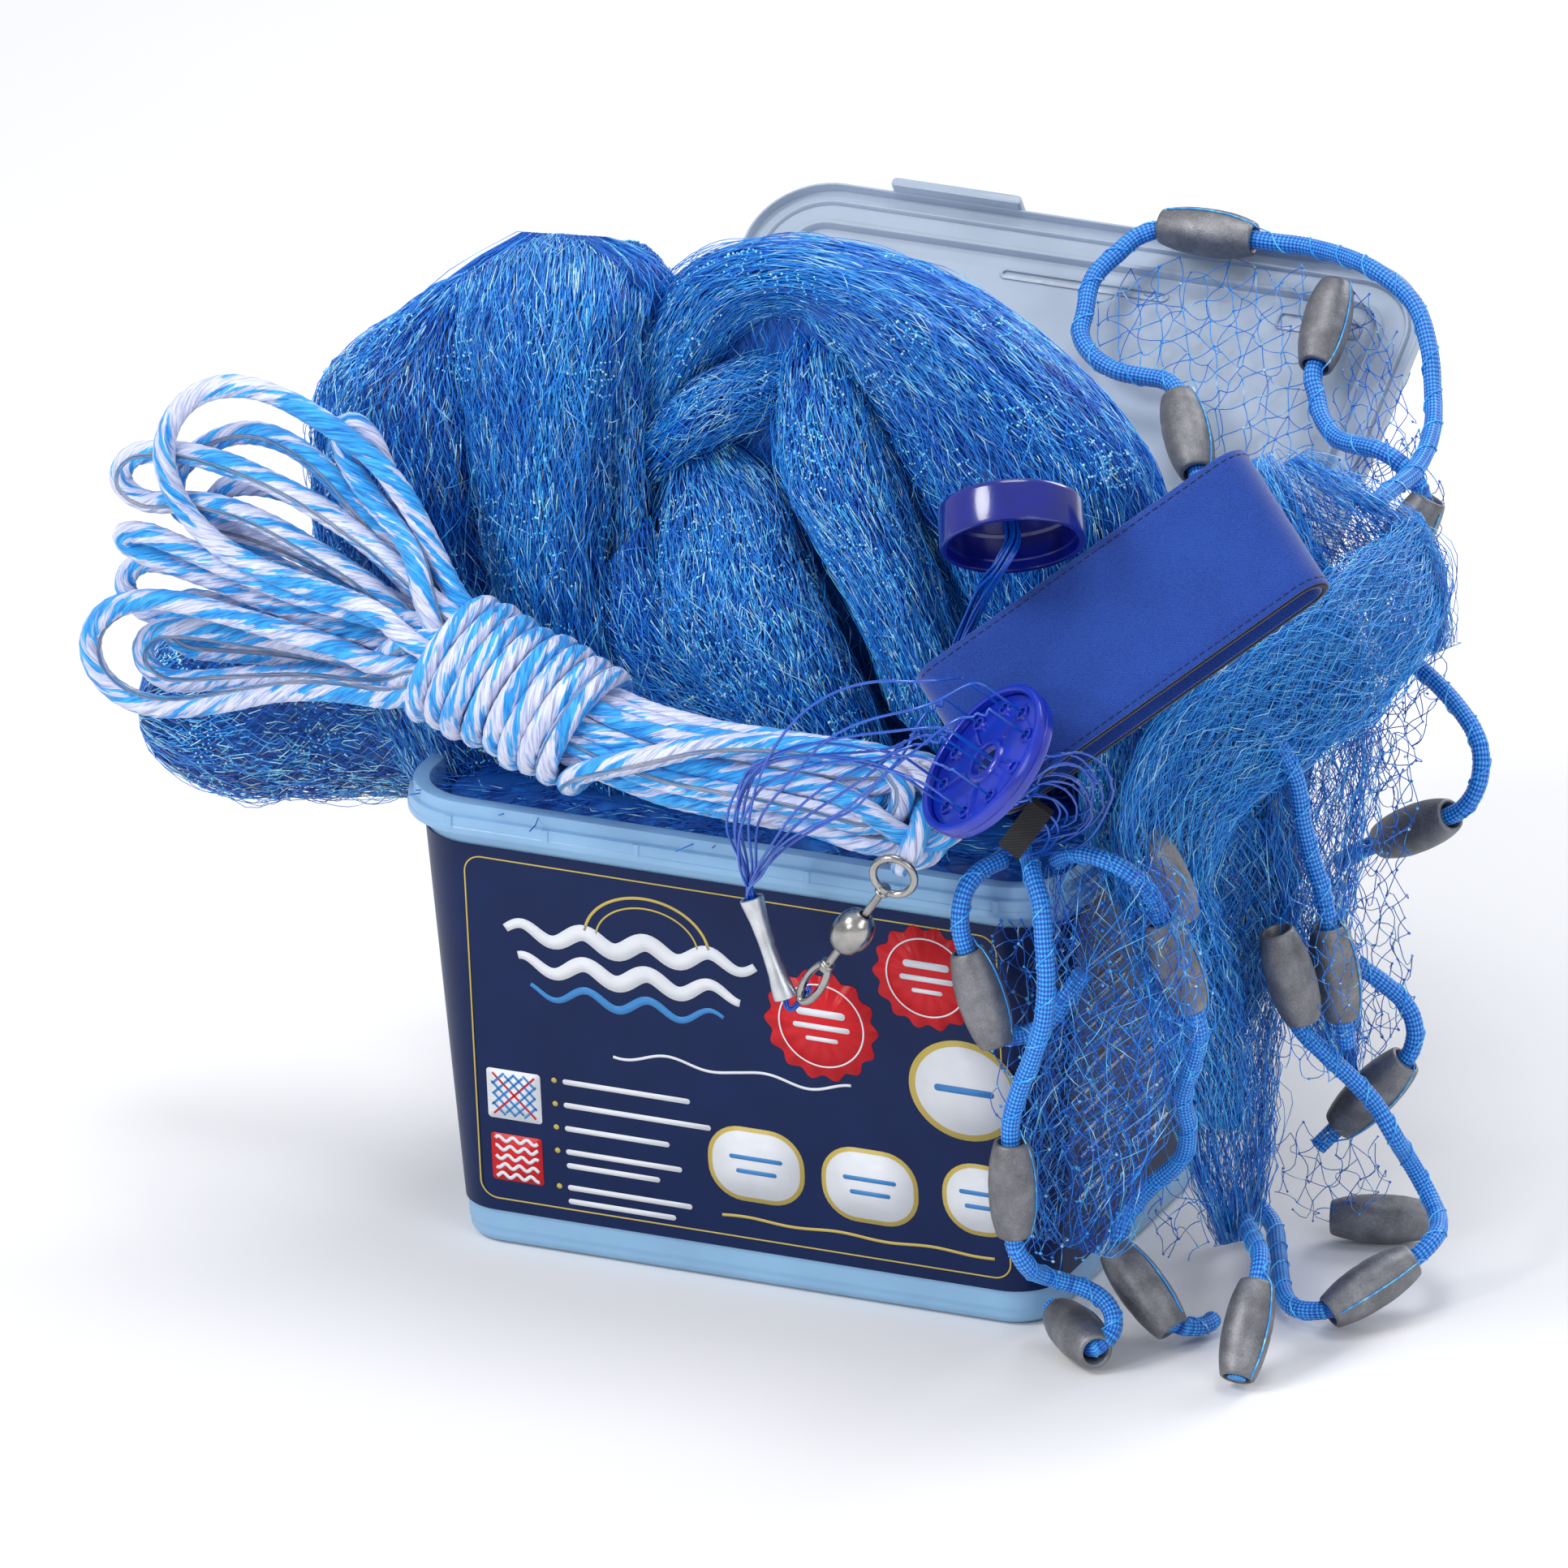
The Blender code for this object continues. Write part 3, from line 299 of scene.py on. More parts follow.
def ease(path, target, held=None, rounds=160, window=3, floor=None):
    """Opens out bends tighter than the target radius; held is a mask of points that stay."""
    p = path.copy()
    n, w = len(p), window
    if n < 4 * w:
        return p
    ker = np.ones(4 * w + 1) / (2 * w)
    for _ in range(rounds):
        a, b, c = p[: -2 * w], p[w:-w], p[2 * w :]
        area = np.linalg.norm(np.cross(b - a, c - a), axis=1) / 2
        r = np.linalg.norm(b - a, axis=1) * np.linalg.norm(c - b, axis=1) * np.linalg.norm(c - a, axis=1) / np.maximum(4 * area, 1e-9)
        tight = r < target
        if not tight.any():
            break
        m = np.zeros(n)
        m[w:-w][tight] = 1.0
        m = np.clip(np.convolve(m, ker, mode="same"), 0, 1)
        if held is not None:
            m[held] = 0
        m[:2] = m[-2:] = 0
        lap = np.zeros_like(p)
        lap[w:-w] = (a + c) / 2 - b
        p = p + 0.4 * m[:, None] * lap
        if floor is not None:
            p[:, 2] = np.maximum(p[:, 2], floor)
    return resample(p, float(np.mean(np.linalg.norm(np.diff(path, axis=0), axis=1))))


def resample(pts, step=None, count=None):
    seg = np.linalg.norm(np.diff(pts, axis=0), axis=1)
    s = np.concatenate([[0], np.cumsum(seg)])
    n = count or max(int(round(s[-1] / step)), 2)
    want = np.linspace(0, s[-1], n + 1)
    return np.stack([np.interp(want, s, pts[:, k]) for k in range(pts.shape[1])], 1)


def path_length(pts):
    return float(np.linalg.norm(np.diff(pts, axis=0), axis=1).sum())


def rail_frames(path):
    """Tangent and two cross axes along a path, carried without twist."""
    tan = unit(np.gradient(path, axis=0))
    a = np.empty_like(path)
    ref = np.array([0, 0, 1.0]) if abs(tan[0, 2]) < 0.9 else np.array([1.0, 0, 0])
    x = np.cross(ref, tan[0])
    for i in range(len(path)):
        x = x - tan[i] * np.dot(x, tan[i])
        x = x / max(np.linalg.norm(x), 1e-9)
        a[i] = x
    return tan, a, np.cross(tan, a)


def rope(path, radius, sides, relief, caps=True):
    """Tube along a dense path.  relief(theta, along) gives the radius as a share of radius.
    Returns verts, quads, tris, uv (round, along mm)."""
    tan, a, b = rail_frames(path)
    s = np.concatenate([[0], np.cumsum(np.linalg.norm(np.diff(path, axis=0), axis=1))])
    th = np.arange(sides) * 2 * math.pi / sides
    T, S = np.meshgrid(th, s)
    r = radius * relief(T, S)
    verts = path[:, None, :] + (a[:, None, :] * np.cos(T)[..., None] + b[:, None, :] * np.sin(T)[..., None]) * r[..., None]
    n = len(path)
    idx = np.arange(n * sides).reshape(n, sides)
    q = np.stack([idx[:-1], np.roll(idx[:-1], -1, 1), np.roll(idx[1:], -1, 1), idx[1:]], -1).reshape(-1, 4)
    uv = np.stack([T / (2 * math.pi), S], -1).reshape(-1, 2)
    verts = verts.reshape(-1, 3)
    tri = []
    if caps:
        verts = np.concatenate([verts, path[:1], path[-1:]])
        uv = np.concatenate([uv, [[0.5, 0.0]], [[0.5, s[-1]]]])
        k = n * sides
        j = np.arange(sides)
        tri = np.concatenate([
            np.stack([np.full(sides, k), (j + 1) % sides, j], -1),
            np.stack([np.full(sides, k + 1), (n - 1) * sides + j, (n - 1) * sides + (j + 1) % sides], -1)])
    return verts, q, tri, uv


def loft_rings(rings, cap=True, closed=False):
    rings = arr(rings)
    m, n, _ = rings.shape
    idx = np.arange(m * n).reshape(m, n)
    if closed:
        a, b = idx, np.roll(idx, -1, 0)
    else:
        a, b = idx[:-1], idx[1:]
    q = np.stack([a, np.roll(a, -1, 1), np.roll(b, -1, 1), b], -1).reshape(-1, 4)
    verts = rings.reshape(-1, 3)
    tri = None
    if cap and not closed:
        c0, c1 = rings[0].mean(0), rings[-1].mean(0)
        verts = np.concatenate([verts, [c0], [c1]])
        j = np.arange(n)
        k = m * n
        tri = np.concatenate([
            np.stack([np.full(n, k), (j + 1) % n, j], -1),
            np.stack([np.full(n, k + 1), (m - 1) * n + j, (m - 1) * n + (j + 1) % n], -1)])
    return verts, q, tri


def fix_normals(obj):
    bm = bmesh.new()
    bm.from_mesh(obj.data)
    bmesh.ops.recalc_face_normals(bm, faces=bm.faces)
    bm.to_mesh(obj.data)
    bm.free()
    return obj


def rrect(w, d, r, z, n=12):
    pts = []
    for sx, sy, a0 in ((1, 1, 0), (-1, 1, 90), (-1, -1, 180), (1, -1, 270)):
        for i in range(n + 1):
            t = math.radians(a0 + 90 * i / n)
            pts.append((sx * (w / 2 - r) + r * math.cos(t), sy * (d / 2 - r) + r * math.sin(t), z))
    return pts


def frame_at(direction):
    d = unit(direction)
    ref = np.array([0, 0, 1.0]) if abs(d[2]) < 0.9 else np.array([1.0, 0, 0])
    a = unit(np.cross(ref, d))
    return a, np.cross(d, a), d


def lathe(centre, direction, profile, segs=32, wobble=None):
    """Closed solid of revolution; profile is a closed outline of (along, radius)."""
    a, b, d = frame_at(direction)
    t = np.arange(segs) * 2 * math.pi / segs
    rings = []
    for k, (along, radius) in enumerate(profile):
        r = radius if wobble is None else radius * (1 + wobble(t, along, radius))
        rings.append(arr(centre) + d * along + (a[None] * np.cos(t)[:, None] + b[None] * np.sin(t)[:, None]) * (np.zeros(segs) + r)[:, None])
    return loft_rings(rings, cap=False, closed=True)


def noise_fn(seed, octaves=3, base=1.0):
    """Smooth repeatable pseudo-noise of one or more coordinates, about -1 to 1."""
    rng = np.random.default_rng(seed)
    terms = [(rng.normal(0, base * 1.7 ** k, 3), rng.uniform(0, 6.28), 0.62 ** k) for k in range(octaves * 2)]

    def f(x, y=0.0, z=0.0):
        total = 0.0
        for w, p, amp in terms:
            total = total + amp * np.sin(w[0] * x + w[1] * y + w[2] * z + p)
        return total / 2.2
    return f


# ---------------------------------------------------------------- materials
class Mat:
    """Principled material with short calls for its node tree."""

    def __init__(self, name, color=(0.5, 0.5, 0.5), rough=0.5, metal=0.0, **sockets):
        self.m = bpy.data.materials.new(name)
        self.m.use_nodes = True
        self.nt = self.m.node_tree
        self.b = self.nt.nodes["Principled BSDF"]
        self.set("Base Color", (*color, 1.0))
        self.set("Roughness", rough)
        self.set("Metallic", metal)
        for k, v in sockets.items():
            self.set(k.replace("_", " "), v)
        self.m.diffuse_color = (*color, 1.0)

    def set(self, socket, value):
        self.b.inputs[socket].default_value = value

    def node(self, kind, **inputs):
        n = self.nt.nodes.new(kind)
        for k, v in inputs.items():
            self.feed(n.inputs[k], v)
        return n

    def feed(self, socket, v):
        if isinstance(v, bpy.types.NodeSocket):
            self.nt.links.new(v, socket)
        elif v is not None:
            socket.default_value = v

    def link(self, out, socket):
        self.nt.links.new(out, self.b.inputs[socket])

    def obj(self):
        return self.node("ShaderNodeTexCoord").outputs["Object"]

    def uv(self):
        return self.node("ShaderNodeTexCoord").outputs["UV"]

    def tint(self):
        n = self.nt.nodes.new("ShaderNodeAttribute")
        n.attribute_name = "tint"
        return n.outputs["Color"]

    def scaled(self, vec, scale):
        n = self.node("ShaderNodeMapping", Vector=vec, Scale=scale)
        return n.outputs["Vector"]

    def noise(self, vec, scale, detail=3.0, rough=0.55, out="Fac"):
        n = self.node("ShaderNodeTexNoise", Vector=vec, Scale=scale, Detail=detail, Roughness=rough)
        return n.outputs[out]

    def ramp(self, fac, stops, interpolation="LINEAR"):
        n = self.node("ShaderNodeValToRGB", Fac=fac)
        n.color_ramp.interpolation = interpolation
        els = n.color_ramp.elements
        while len(els) < len(stops):
            els.new(0.5)
        for e, (p, c) in zip(els, stops):
            e.position = p
            e.color = (*c, 1.0) if len(c) == 3 else c
        return n.outputs["Color"]

    def math(self, op, a, b=None, c=None, clamp=False):
        n = self.nt.nodes.new("ShaderNodeMath")
        n.operation = op
        n.use_clamp = clamp
        for s, v in zip(n.inputs, (a, b, c)):
            self.feed(s, v)
        return n.outputs[0]

    def mix(self, fac, a, b, blend="MIX"):
        n = self.nt.nodes.new("ShaderNodeMix")
        n.data_type = "RGBA"
        n.blend_type = blend
        self.feed(n.inputs[0], fac)
        self.feed(n.inputs[6], a if isinstance(a, bpy.types.NodeSocket) else (*a, 1.0))
        self.feed(n.inputs[7], b if isinstance(b, bpy.types.NodeSocket) else (*b, 1.0))
        return n.outputs[2]

    def sep(self, vec):
        n = self.node("ShaderNodeSeparateXYZ", Vector=vec)
        return n.outputs

    def bump(self, height, strength=0.4, distance=0.0004, normal=None):
        n = self.node("ShaderNodeBump", Height=height, Strength=strength, Distance=distance)
        if normal is not None:
            self.nt.links.new(normal, n.inputs["Normal"])
        return n.outputs["Normal"]


def net_material(name, gloss=0.30, coat=0.10):
    """Clear blue monofilament: the strand's tint attribute, blue tones with painted highlights at some points, with
    fine change along it.
    """
    k = Mat(name, (0.02, 0.2, 0.75), gloss, 0.0, **{"Specular_IOR_Level": 0.45, "Coat_Weight": coat, "Coat_Roughness": 0.12})
    n = k.noise(k.obj(), 900.0, 2.0)
    shade = k.ramp(n, [(0.3, (0.78, 0.78, 0.8)), (0.7, (1.15, 1.15, 1.12))])
    k.link(k.mix(1.0, k.tint(), shade, "MULTIPLY"), "Base Color")
    return k.m


def core_material(name, dark=(0.001, 0.050, 0.32), mid=(0.002, 0.115, 0.50), light=(0.010, 0.25, 0.78)):
    """Packed netting seen between its outer strands: streaks along the flow, with broad darker and lighter patches."""
    k = Mat(name, mid, 0.5, 0.0, **{"Specular_IOR_Level": 0.4})
    uv = k.uv()
    fine = k.noise(k.scaled(uv, (2.4, 0.10, 1.0)), 1.0, 3.0, 0.6)
    broad = k.noise(k.scaled(uv, (0.16, 0.04, 1.0)), 1.0, 2.0, 0.5)
    streak = k.ramp(fine, [(0.30, dark), (0.5, mid), (0.68, light)])
    shade = k.ramp(broad, [(0.25, (0.50, 0.52, 0.62)), (0.75, (1.1, 1.1, 1.1))])
    k.link(k.mix(1.0, streak, shade, "MULTIPLY"), "Base Color")
    k.link(k.bump(fine, 0.6, 0.0006), "Normal")
    return k.m


def lead_line_material():
    """Woven blue cord: where the two sets of yarns cross over, the crowns are painted lighter as highlights and the
    hollows between them painted darker as shade.
    """
    k = Mat("lead_line_braid", (0.01, 0.15, 0.65), 0.5, 0.0, **{"Sheen_Weight": 0.15, "Sheen_Roughness": 0.4})
    u, v, _ = k.sep(k.uv())
    a = k.math("SINE", k.math("ADD", k.math("MULTIPLY", u, 6.28318 * 8), k.math("MULTIPLY", v, 2.05)))
    b = k.math("SINE", k.math("SUBTRACT", k.math("MULTIPLY", u, 6.28318 * 8), k.math("MULTIPLY", v, 2.05)))
    cross = k.math("MULTIPLY", a, b)
    # painted light: the tone ramp keyed on the crossing pattern, which also drives the bump, paints highlights on the
    # crowns and shade in the hollows
    tone = k.ramp(k.math("MULTIPLY_ADD", cross, 0.5, 0.5), [(0.12, (0.002, 0.055, 0.38)), (0.5, (0.006, 0.17, 0.70)), (0.9, (0.07, 0.50, 1.0))])
    fibre = k.noise(k.scaled(k.obj(), (1.0, 1.0, 1.0)), 2600.0, 2.0)
    k.link(k.mix(1.0, tone, k.ramp(fibre, [(0.3, (0.8, 0.8, 0.8)), (0.7, (1.15, 1.15, 1.15))]), "MULTIPLY"), "Base Color")
    k.link(k.bump(k.math("ADD", k.math("MULTIPLY", cross, 0.5), k.math("MULTIPLY", fibre, 0.25)), 0.5, 0.0004), "Normal")
    return k.m


def hand_line_material():
    """White braid with cyan yarns that come to the surface as slanted flecks."""
    k = Mat("hand_line_braid", (0.8, 0.84, 0.95), 0.55, 0.0, **{"Sheen_Weight": 0.2, "Sheen_Roughness": 0.5, "Specular_IOR_Level": 0.35})
    u, v, _ = k.sep(k.uv())

    def around(size, stretch, slant, offset=0.0):
        """Place on the rope's surface, without a seam: round it, along it and slanted."""
        ang = k.math("MULTIPLY_ADD", v, slant, k.math("MULTIPLY", u, 6.28318))
        n = k.node("ShaderNodeCombineXYZ", X=k.math("MULTIPLY", k.math("COSINE", ang), size), Y=k.math("MULTIPLY", k.math("SINE", ang), size), Z=k.math("MULTIPLY_ADD", v, stretch, offset))
        return n.outputs[0]

    yarn = k.noise(around(4.6, 0.16, 0.16), 1.0, 1.0)
    band = k.noise(around(1.05, 0.050, 0.10, 7.0), 1.0, 1.0)
    zone = k.noise(around(0.25, 0.020, 0.0, 31.0), 1.0, 0.0)
    own = k.math("MULTIPLY_ADD", yarn, 0.34, k.math("MULTIPLY_ADD", zone, 0.45, band))
    mask = k.ramp(own, [(0.885, (0, 0, 0)), (0.925, (1, 1, 1))])
    # painted shade: both yarn colours go darker (the white towards lavender) where the yarn noise is low, which is also
    # where the bump sinks, in the braid's hollows
    white = k.ramp(yarn, [(0.30, (0.38, 0.44, 0.72)), (0.46, (0.60, 0.64, 0.85)), (0.66, (0.72, 0.75, 0.92))])
    blue = k.ramp(yarn, [(0.3, (0.005, 0.17, 0.60)), (0.5, (0.014, 0.32, 0.80)), (0.72, (0.07, 0.48, 0.92))])
    k.link(k.mix(mask, white, blue), "Base Color")
    lay = k.math("SINE", k.math("ADD", k.math("MULTIPLY", u, 6.28318 * 5), k.math("MULTIPLY", v, 0.95)))
    k.link(k.bump(k.math("MULTIPLY_ADD", lay, 0.42, yarn), 0.9, 0.0009), "Normal")
    return k.m


def lead_material():
    """Sand-cast lead: grey, pitted, with scratches round it."""
    k = Mat("lead_cast", (0.14, 0.145, 0.15), 0.42, 0.70, **{"Specular_IOR_Level": 0.5})
    o = k.obj()
    big = k.noise(o, 130.0, 3.0)
    fine = k.noise(o, 1500.0, 3.0, 0.65)
    uv = k.uv()
    scratch = k.noise(k.scaled(uv, (1.5, 2.6, 1.0)), 1.0, 2.0)
    tone = k.ramp(k.math("MULTIPLY_ADD", fine, 0.45, k.math("MULTIPLY", big, 0.6)), [(0.32, (0.115, 0.118, 0.128)), (0.52, (0.20, 0.202, 0.216)), (0.72, (0.32, 0.322, 0.34))])
    k.link(tone, "Base Color")
    k.link(k.ramp(k.math("MULTIPLY_ADD", fine, 0.5, k.math("MULTIPLY", scratch, 0.5)), [(0.3, (0.36, 0.36, 0.36)), (0.7, (0.62, 0.62, 0.62))]), "Roughness")
    k.link(k.bump(k.math("MULTIPLY_ADD", scratch, 0.5, fine), 0.28, 0.0004), "Normal")
    return k.m


def plastic_tub(name, base, trans, rough=0.34, cloud=0.05):
    """Milky translucent plastic with faint clouding and moulding texture."""
    k = Mat(name, base, rough, 0.0, **{"Transmission_Weight": trans, "IOR": 1.46, "Specular_IOR_Level": 0.5, "Subsurface_Weight": 0.0})
    o = k.obj()
    n = k.noise(o, 28.0, 3.0)
    lo, hi = tuple(c * (1 - cloud * 2) for c in base), tuple(min(c * (1 + cloud), 1.0) for c in base)
    k.link(k.ramp(n, [(0.3, lo), (0.7, hi)]), "Base Color")
    f = k.noise(o, 420.0, 2.0)
    k.link(k.ramp(f, [(0.3, (rough - 0.06,) * 3), (0.7, (rough + 0.08,) * 3)]), "Roughness")
    k.link(k.bump(k.noise(o, 60.0, 2.0), 0.12, 0.0006), "Normal")
    return k.m


def moulded(name, base, rough, coat=0.4, deep=None):
    k = Mat(name, base, rough, 0.0, **{"Coat_Weight": coat, "Coat_Roughness": 0.08, "Specular_IOR_Level": 0.6})
    o = k.obj()
    n = k.noise(o, 70.0, 3.0)
    deep = deep or tuple(c * 0.72 for c in base)
    k.link(k.ramp(n, [(0.35, deep), (0.65, base)]), "Base Color")
    k.link(k.bump(k.noise(o, 900.0, 2.0), 0.08, 0.0003), "Normal")
    return k.m


def knit(name, base, deep, scale=1900.0, sheen=0.5, fine=0.55):
    """Closely knitted face cloth on foam: small loops in rows, soft mottling."""
    k = Mat(name, base, 0.85, 0.0, **{"Sheen_Weight": sheen, "Sheen_Roughness": 0.45, "Specular_IOR_Level": 0.2})
    u, v, _ = k.sep(k.uv())
    a = k.math("SINE", k.math("MULTIPLY", u, 6.28318 / 0.9))
    b = k.math("SINE", k.math("MULTIPLY", v, 6.28318 / 0.7))
    loops = k.math("MULTIPLY", a, b)
    mott = k.noise(k.obj(), scale, 2.0)
    broad = k.noise(k.obj(), 45.0, 2.0)
    f = k.math("MULTIPLY_ADD", loops, 0.12, k.math("MULTIPLY_ADD", mott, 0.75, k.math("MULTIPLY", broad, 0.25)))
    k.link(k.ramp(f, [(0.3, deep), (0.62, base)]), "Base Color")
    k.link(k.bump(k.math("MULTIPLY_ADD", loops, 0.5, mott), fine, 0.0003), "Normal")
    return k.m


def steel_material(name="swivel_steel", base=(0.42, 0.41, 0.39), rough=0.2):
    k = Mat(name, base, rough, 1.0)
    o = k.obj()
    n = k.noise(o, 240.0, 3.0)
    k.link(k.ramp(n, [(0.3, (rough - 0.08,) * 3), (0.7, (rough + 0.14,) * 3)]), "Roughness")
    k.link(k.ramp(k.noise(o, 160.0, 2.0), [(0.3, tuple(c * 0.82 for c in base)), (0.7, tuple(min(c * 1.1, 1) for c in base))]), "Base Color")
    k.link(k.bump(k.noise(o, 1400.0, 2.0), 0.12, 0.0002), "Normal")
    return k.m


def print_material(name, base, rough=0.28, vary=0.06):
    """Printed film: flat ink with slight mottling under a gloss coat."""
    k = Mat(name, base, rough, 0.0, **{"Coat_Weight": 0.04, "Coat_Roughness": 0.15, "Specular_IOR_Level": 0.18})
    n = k.noise(k.obj(), 55.0, 3.0)
    k.link(k.ramp(n, [(0.3, tuple(c * (1 - vary) for c in base)), (0.7, tuple(min(c * (1 + vary), 1) for c in base))]), "Base Color")
    k.link(k.bump(k.noise(k.obj(), 35.0, 2.0), 0.06, 0.0008), "Normal")
    return k.m


M_NET = net_material("net_mono")
M_CORE = core_material("net_core")
M_LEADLINE = lead_line_material()
M_HAND = hand_line_material()
M_LEAD = lead_material()
M_TUB = plastic_tub("tub_plastic", (0.38, 0.67, 0.98), 0.35)
M_LID = plastic_tub("lid_plastic", (0.48, 0.57, 0.69), 0.30)
M_HORN = moulded("horn_plastic", (0.002, 0.022, 0.46), 0.24, 0.3)
M_CAP = moulded("cap_plastic", (0.002, 0.008, 0.21), 0.2, 0.4)
M_CUFF = knit("cuff_knit", (0.014, 0.066, 0.37), (0.006, 0.032, 0.21))
M_FOAM = knit("cuff_foam", (0.016, 0.016, 0.019), (0.005, 0.005, 0.007), sheen=0.2)
M_STRAP = knit("cuff_strap", (0.014, 0.014, 0.017), (0.004, 0.004, 0.005), sheen=0.2)
M_STEEL = steel_material()
M_SLEEVE = steel_material("sleeve_aluminium", (0.66, 0.68, 0.71), 0.34)
M_BRAIL = moulded("brail_mono", (0.002, 0.085, 0.55), 0.15, 0.5)


# ---------------------------------------------------------------- tub, label and lid
RIM_W, RIM_D, RIM_R = 240.0, 172.2, 27.0
BASE_W, BASE_D, BASE_R = 206.8, 139.0, 15.0
TUB_H, FLANGE_H, WALL = 161.3, 10.7, 1.6
NECK_W, NECK_D, NECK_R = 228.0, 160.2, 21.0
LABEL_LOW, LABEL_HIGH = 13.0, 145.5


def wall_at(z, inset=0.0):
    k = z / (TUB_H - FLANGE_H)
    mix = lambda a, b: a + (b - a) * k
    return (mix(BASE_W, NECK_W) - 2 * inset, mix(BASE_D, NECK_D) - 2 * inset, max(mix(BASE_R, NECK_R) - inset, 3.0))


def tub():
    rings = [rrect(*wall_at(0.0, 9.0), 0.9), rrect(*wall_at(0.0, 6.0), 0.0), rrect(*wall_at(0.0, 4.6), 0.0)]
    for i in range(1, 7):
        t = math.radians(90 * i / 6)
        rings.append(rrect(*wall_at(4.0, 4.6 * (1 - math.sin(t))), 4.0 * (1 - math.cos(t))))
    for z in (5.5, 6.0, 7.0, 12.0, 20.0, 40.0, 70.0, 100.0, 125.0, 140.0, 147.5):
        rings.append(rrect(*wall_at(z, -0.25 if 5.6 < z < 7.5 else 0.0), z))
    z0 = TUB_H - FLANGE_H
    for w, dz in ((0.0, -1.2), (-0.4, -0.5), (-1.4, 0.0)):
        rings.append(rrect(*wall_at(z0 + dz, w), z0 + dz))
    for dw, dr, z in ((-2.2, -1.1, z0 + 0.05), (-0.7, -0.35, z0 + 0.25), (0.0, 0.0, z0 + 0.9), (0.0, 0.0, z0 + 2.6), (-0.5, -0.25, z0 + 2.9),
                      (-0.5, -0.25, z0 + 5.6), (-0.9, -0.4, TUB_H - 4.4), (-2.6, -1.2, TUB_H - 4.1), (-3.6, -1.8, TUB_H - 3.9), (-4.0, -2.0, TUB_H - 3.2),
                      (-4.0, -2.0, TUB_H - 0.8), (-4.5, -2.3, TUB_H - 0.2), (-5.6, -2.8, TUB_H)):
        rings.append(rrect(RIM_W + dw, RIM_D + dw, RIM_R + dr, z))
    neck = wall_at(z0, WALL)
    for inset, z in ((0.9, TUB_H), (0.3, TUB_H - 0.2), (0.0, TUB_H - 0.9), (0.0, z0 + 2.0), (0.0, z0 - 1.0)):
        rings.append(rrect(neck[0] - 2 * (inset if z < TUB_H - 0.3 else -inset), neck[1] - 2 * (inset if z < TUB_H - 0.3 else -inset), neck[2], z))
    for z in (110.0, 60.0, 20.0, 7.0):
        rings.append(rrect(*wall_at(z, WALL), z))
    for i in range(1, 5):
        t = math.radians(90 * i / 4)
        rings.append(rrect(*wall_at(5.8, WALL + 4.0 * (1 - math.cos(t))), 5.8 - 4.0 * math.sin(t)))
    b = Batch()
    b.add(*loft_rings(rings))
    # upright ribs under the flange's lip, where the lid's tabs catch
    z_lo, z_hi = z0 + 2.2, TUB_H - 4.2
    for side in (-1, 1):
        for x in (-96, -62, -30, 30, 62, 96):
            y = side * (RIM_D / 2 - 0.35)
            prof = [(x - 1.3, 0.0), (x - 0.8, 0.55), (x + 0.8, 0.55), (x + 1.3, 0.0), (x + 1.3, -0.6), (x - 1.3, -0.6)]
            b.add(*loft_rings([[(px, y + side * py, z) for px, py in prof] for z in (z_lo, z_lo + 0.5, z_hi - 0.5, z_hi)]))
        for y in (-44, 0, 44):
            x = side * (RIM_W / 2 - 0.35)
            prof = [(y - 1.3, 0.0), (y - 0.8, 0.55), (y + 0.8, 0.55), (y + 1.3, 0.0), (y + 1.3, -0.6), (y - 1.3, -0.6)]
            b.add(*loft_rings([[(x + side * px, py, z) for py, px in prof] for z in (z_lo, z_lo + 0.5, z_hi - 0.5, z_hi)]))
    obj = fix_normals(b.make("tub_shell", M_TUB, sharp=38))
    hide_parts("tub_body")


tub()

M_NAVY = print_material("label_navy", (0.003, 0.013, 0.068), 0.40, 0.10)
M_GOLD = print_material("label_gold", (0.52, 0.40, 0.10), 0.35)
M_PALE = print_material("label_pale", (0.70, 0.72, 0.76), 0.35)
M_RED = print_material("label_red", (0.55, 0.012, 0.018), 0.35)
M_SEA = print_material("label_sea", (0.05, 0.22, 0.52), 0.35)


def label():
    rings = []
    for z in (LABEL_LOW, 40.0, 80.0, 115.0, LABEL_HIGH):
        rings.append(rrect(*wall_at(z, -0.75), z, 16))
    for z in (LABEL_HIGH, 115.0, 80.0, 40.0, LABEL_LOW):
        rings.append(rrect(*wall_at(z, -0.35), z, 16))
    v, q, t = loft_rings(rings, cap=False, closed=True)
    obj = fix_normals(build("label_wrap_print", v, [q], M_NAVY, sharp=40))
    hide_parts("label_wrap")


label()


def front(x, z, lift):
    """Point on the label's front, lift mm proud."""
    x, z = arr(x), arr(z)
    y = -(BASE_D + (NECK_D - BASE_D) * z / (TUB_H - FLANGE_H)) / 2 - 0.75 - lift
    return np.stack([x, y + 0 * x, z + 0 * x], -1)


def flank(y, z, lift):
    """Point on the label's right side, lift mm proud."""
    y, z = arr(y), arr(z)
    x = (BASE_W + (NECK_W - BASE_W) * z / (TUB_H - FLANGE_H)) / 2 + 0.75 + lift
    return np.stack([x + 0 * y, y + 0 * x, z + 0 * y], -1)


def patch(b, pts, lift, surf=front, thick=0.14):
    """Printed shape: a thin slab with a star-shaped outline, on the label's face."""
    pts = arr(pts)
    c = pts.mean(0)
    n = len(pts)
    top = surf(pts[:, 0], pts[:, 1], lift + thick)
    low = surf(pts[:, 0], pts[:, 1], lift)
    v = np.concatenate([top, low, surf(c[None, 0], c[None, 1], lift + thick), surf(c[None, 0], c[None, 1], lift)])
    j = np.arange(n)
    k = (j + 1) % n
    tri = np.concatenate([np.stack([np.full(n, 2 * n), j, k], -1), np.stack([np.full(n, 2 * n + 1), n + k, n + j], -1)])
    b.add(v, np.stack([j, n + j, n + k, k], -1), tri)


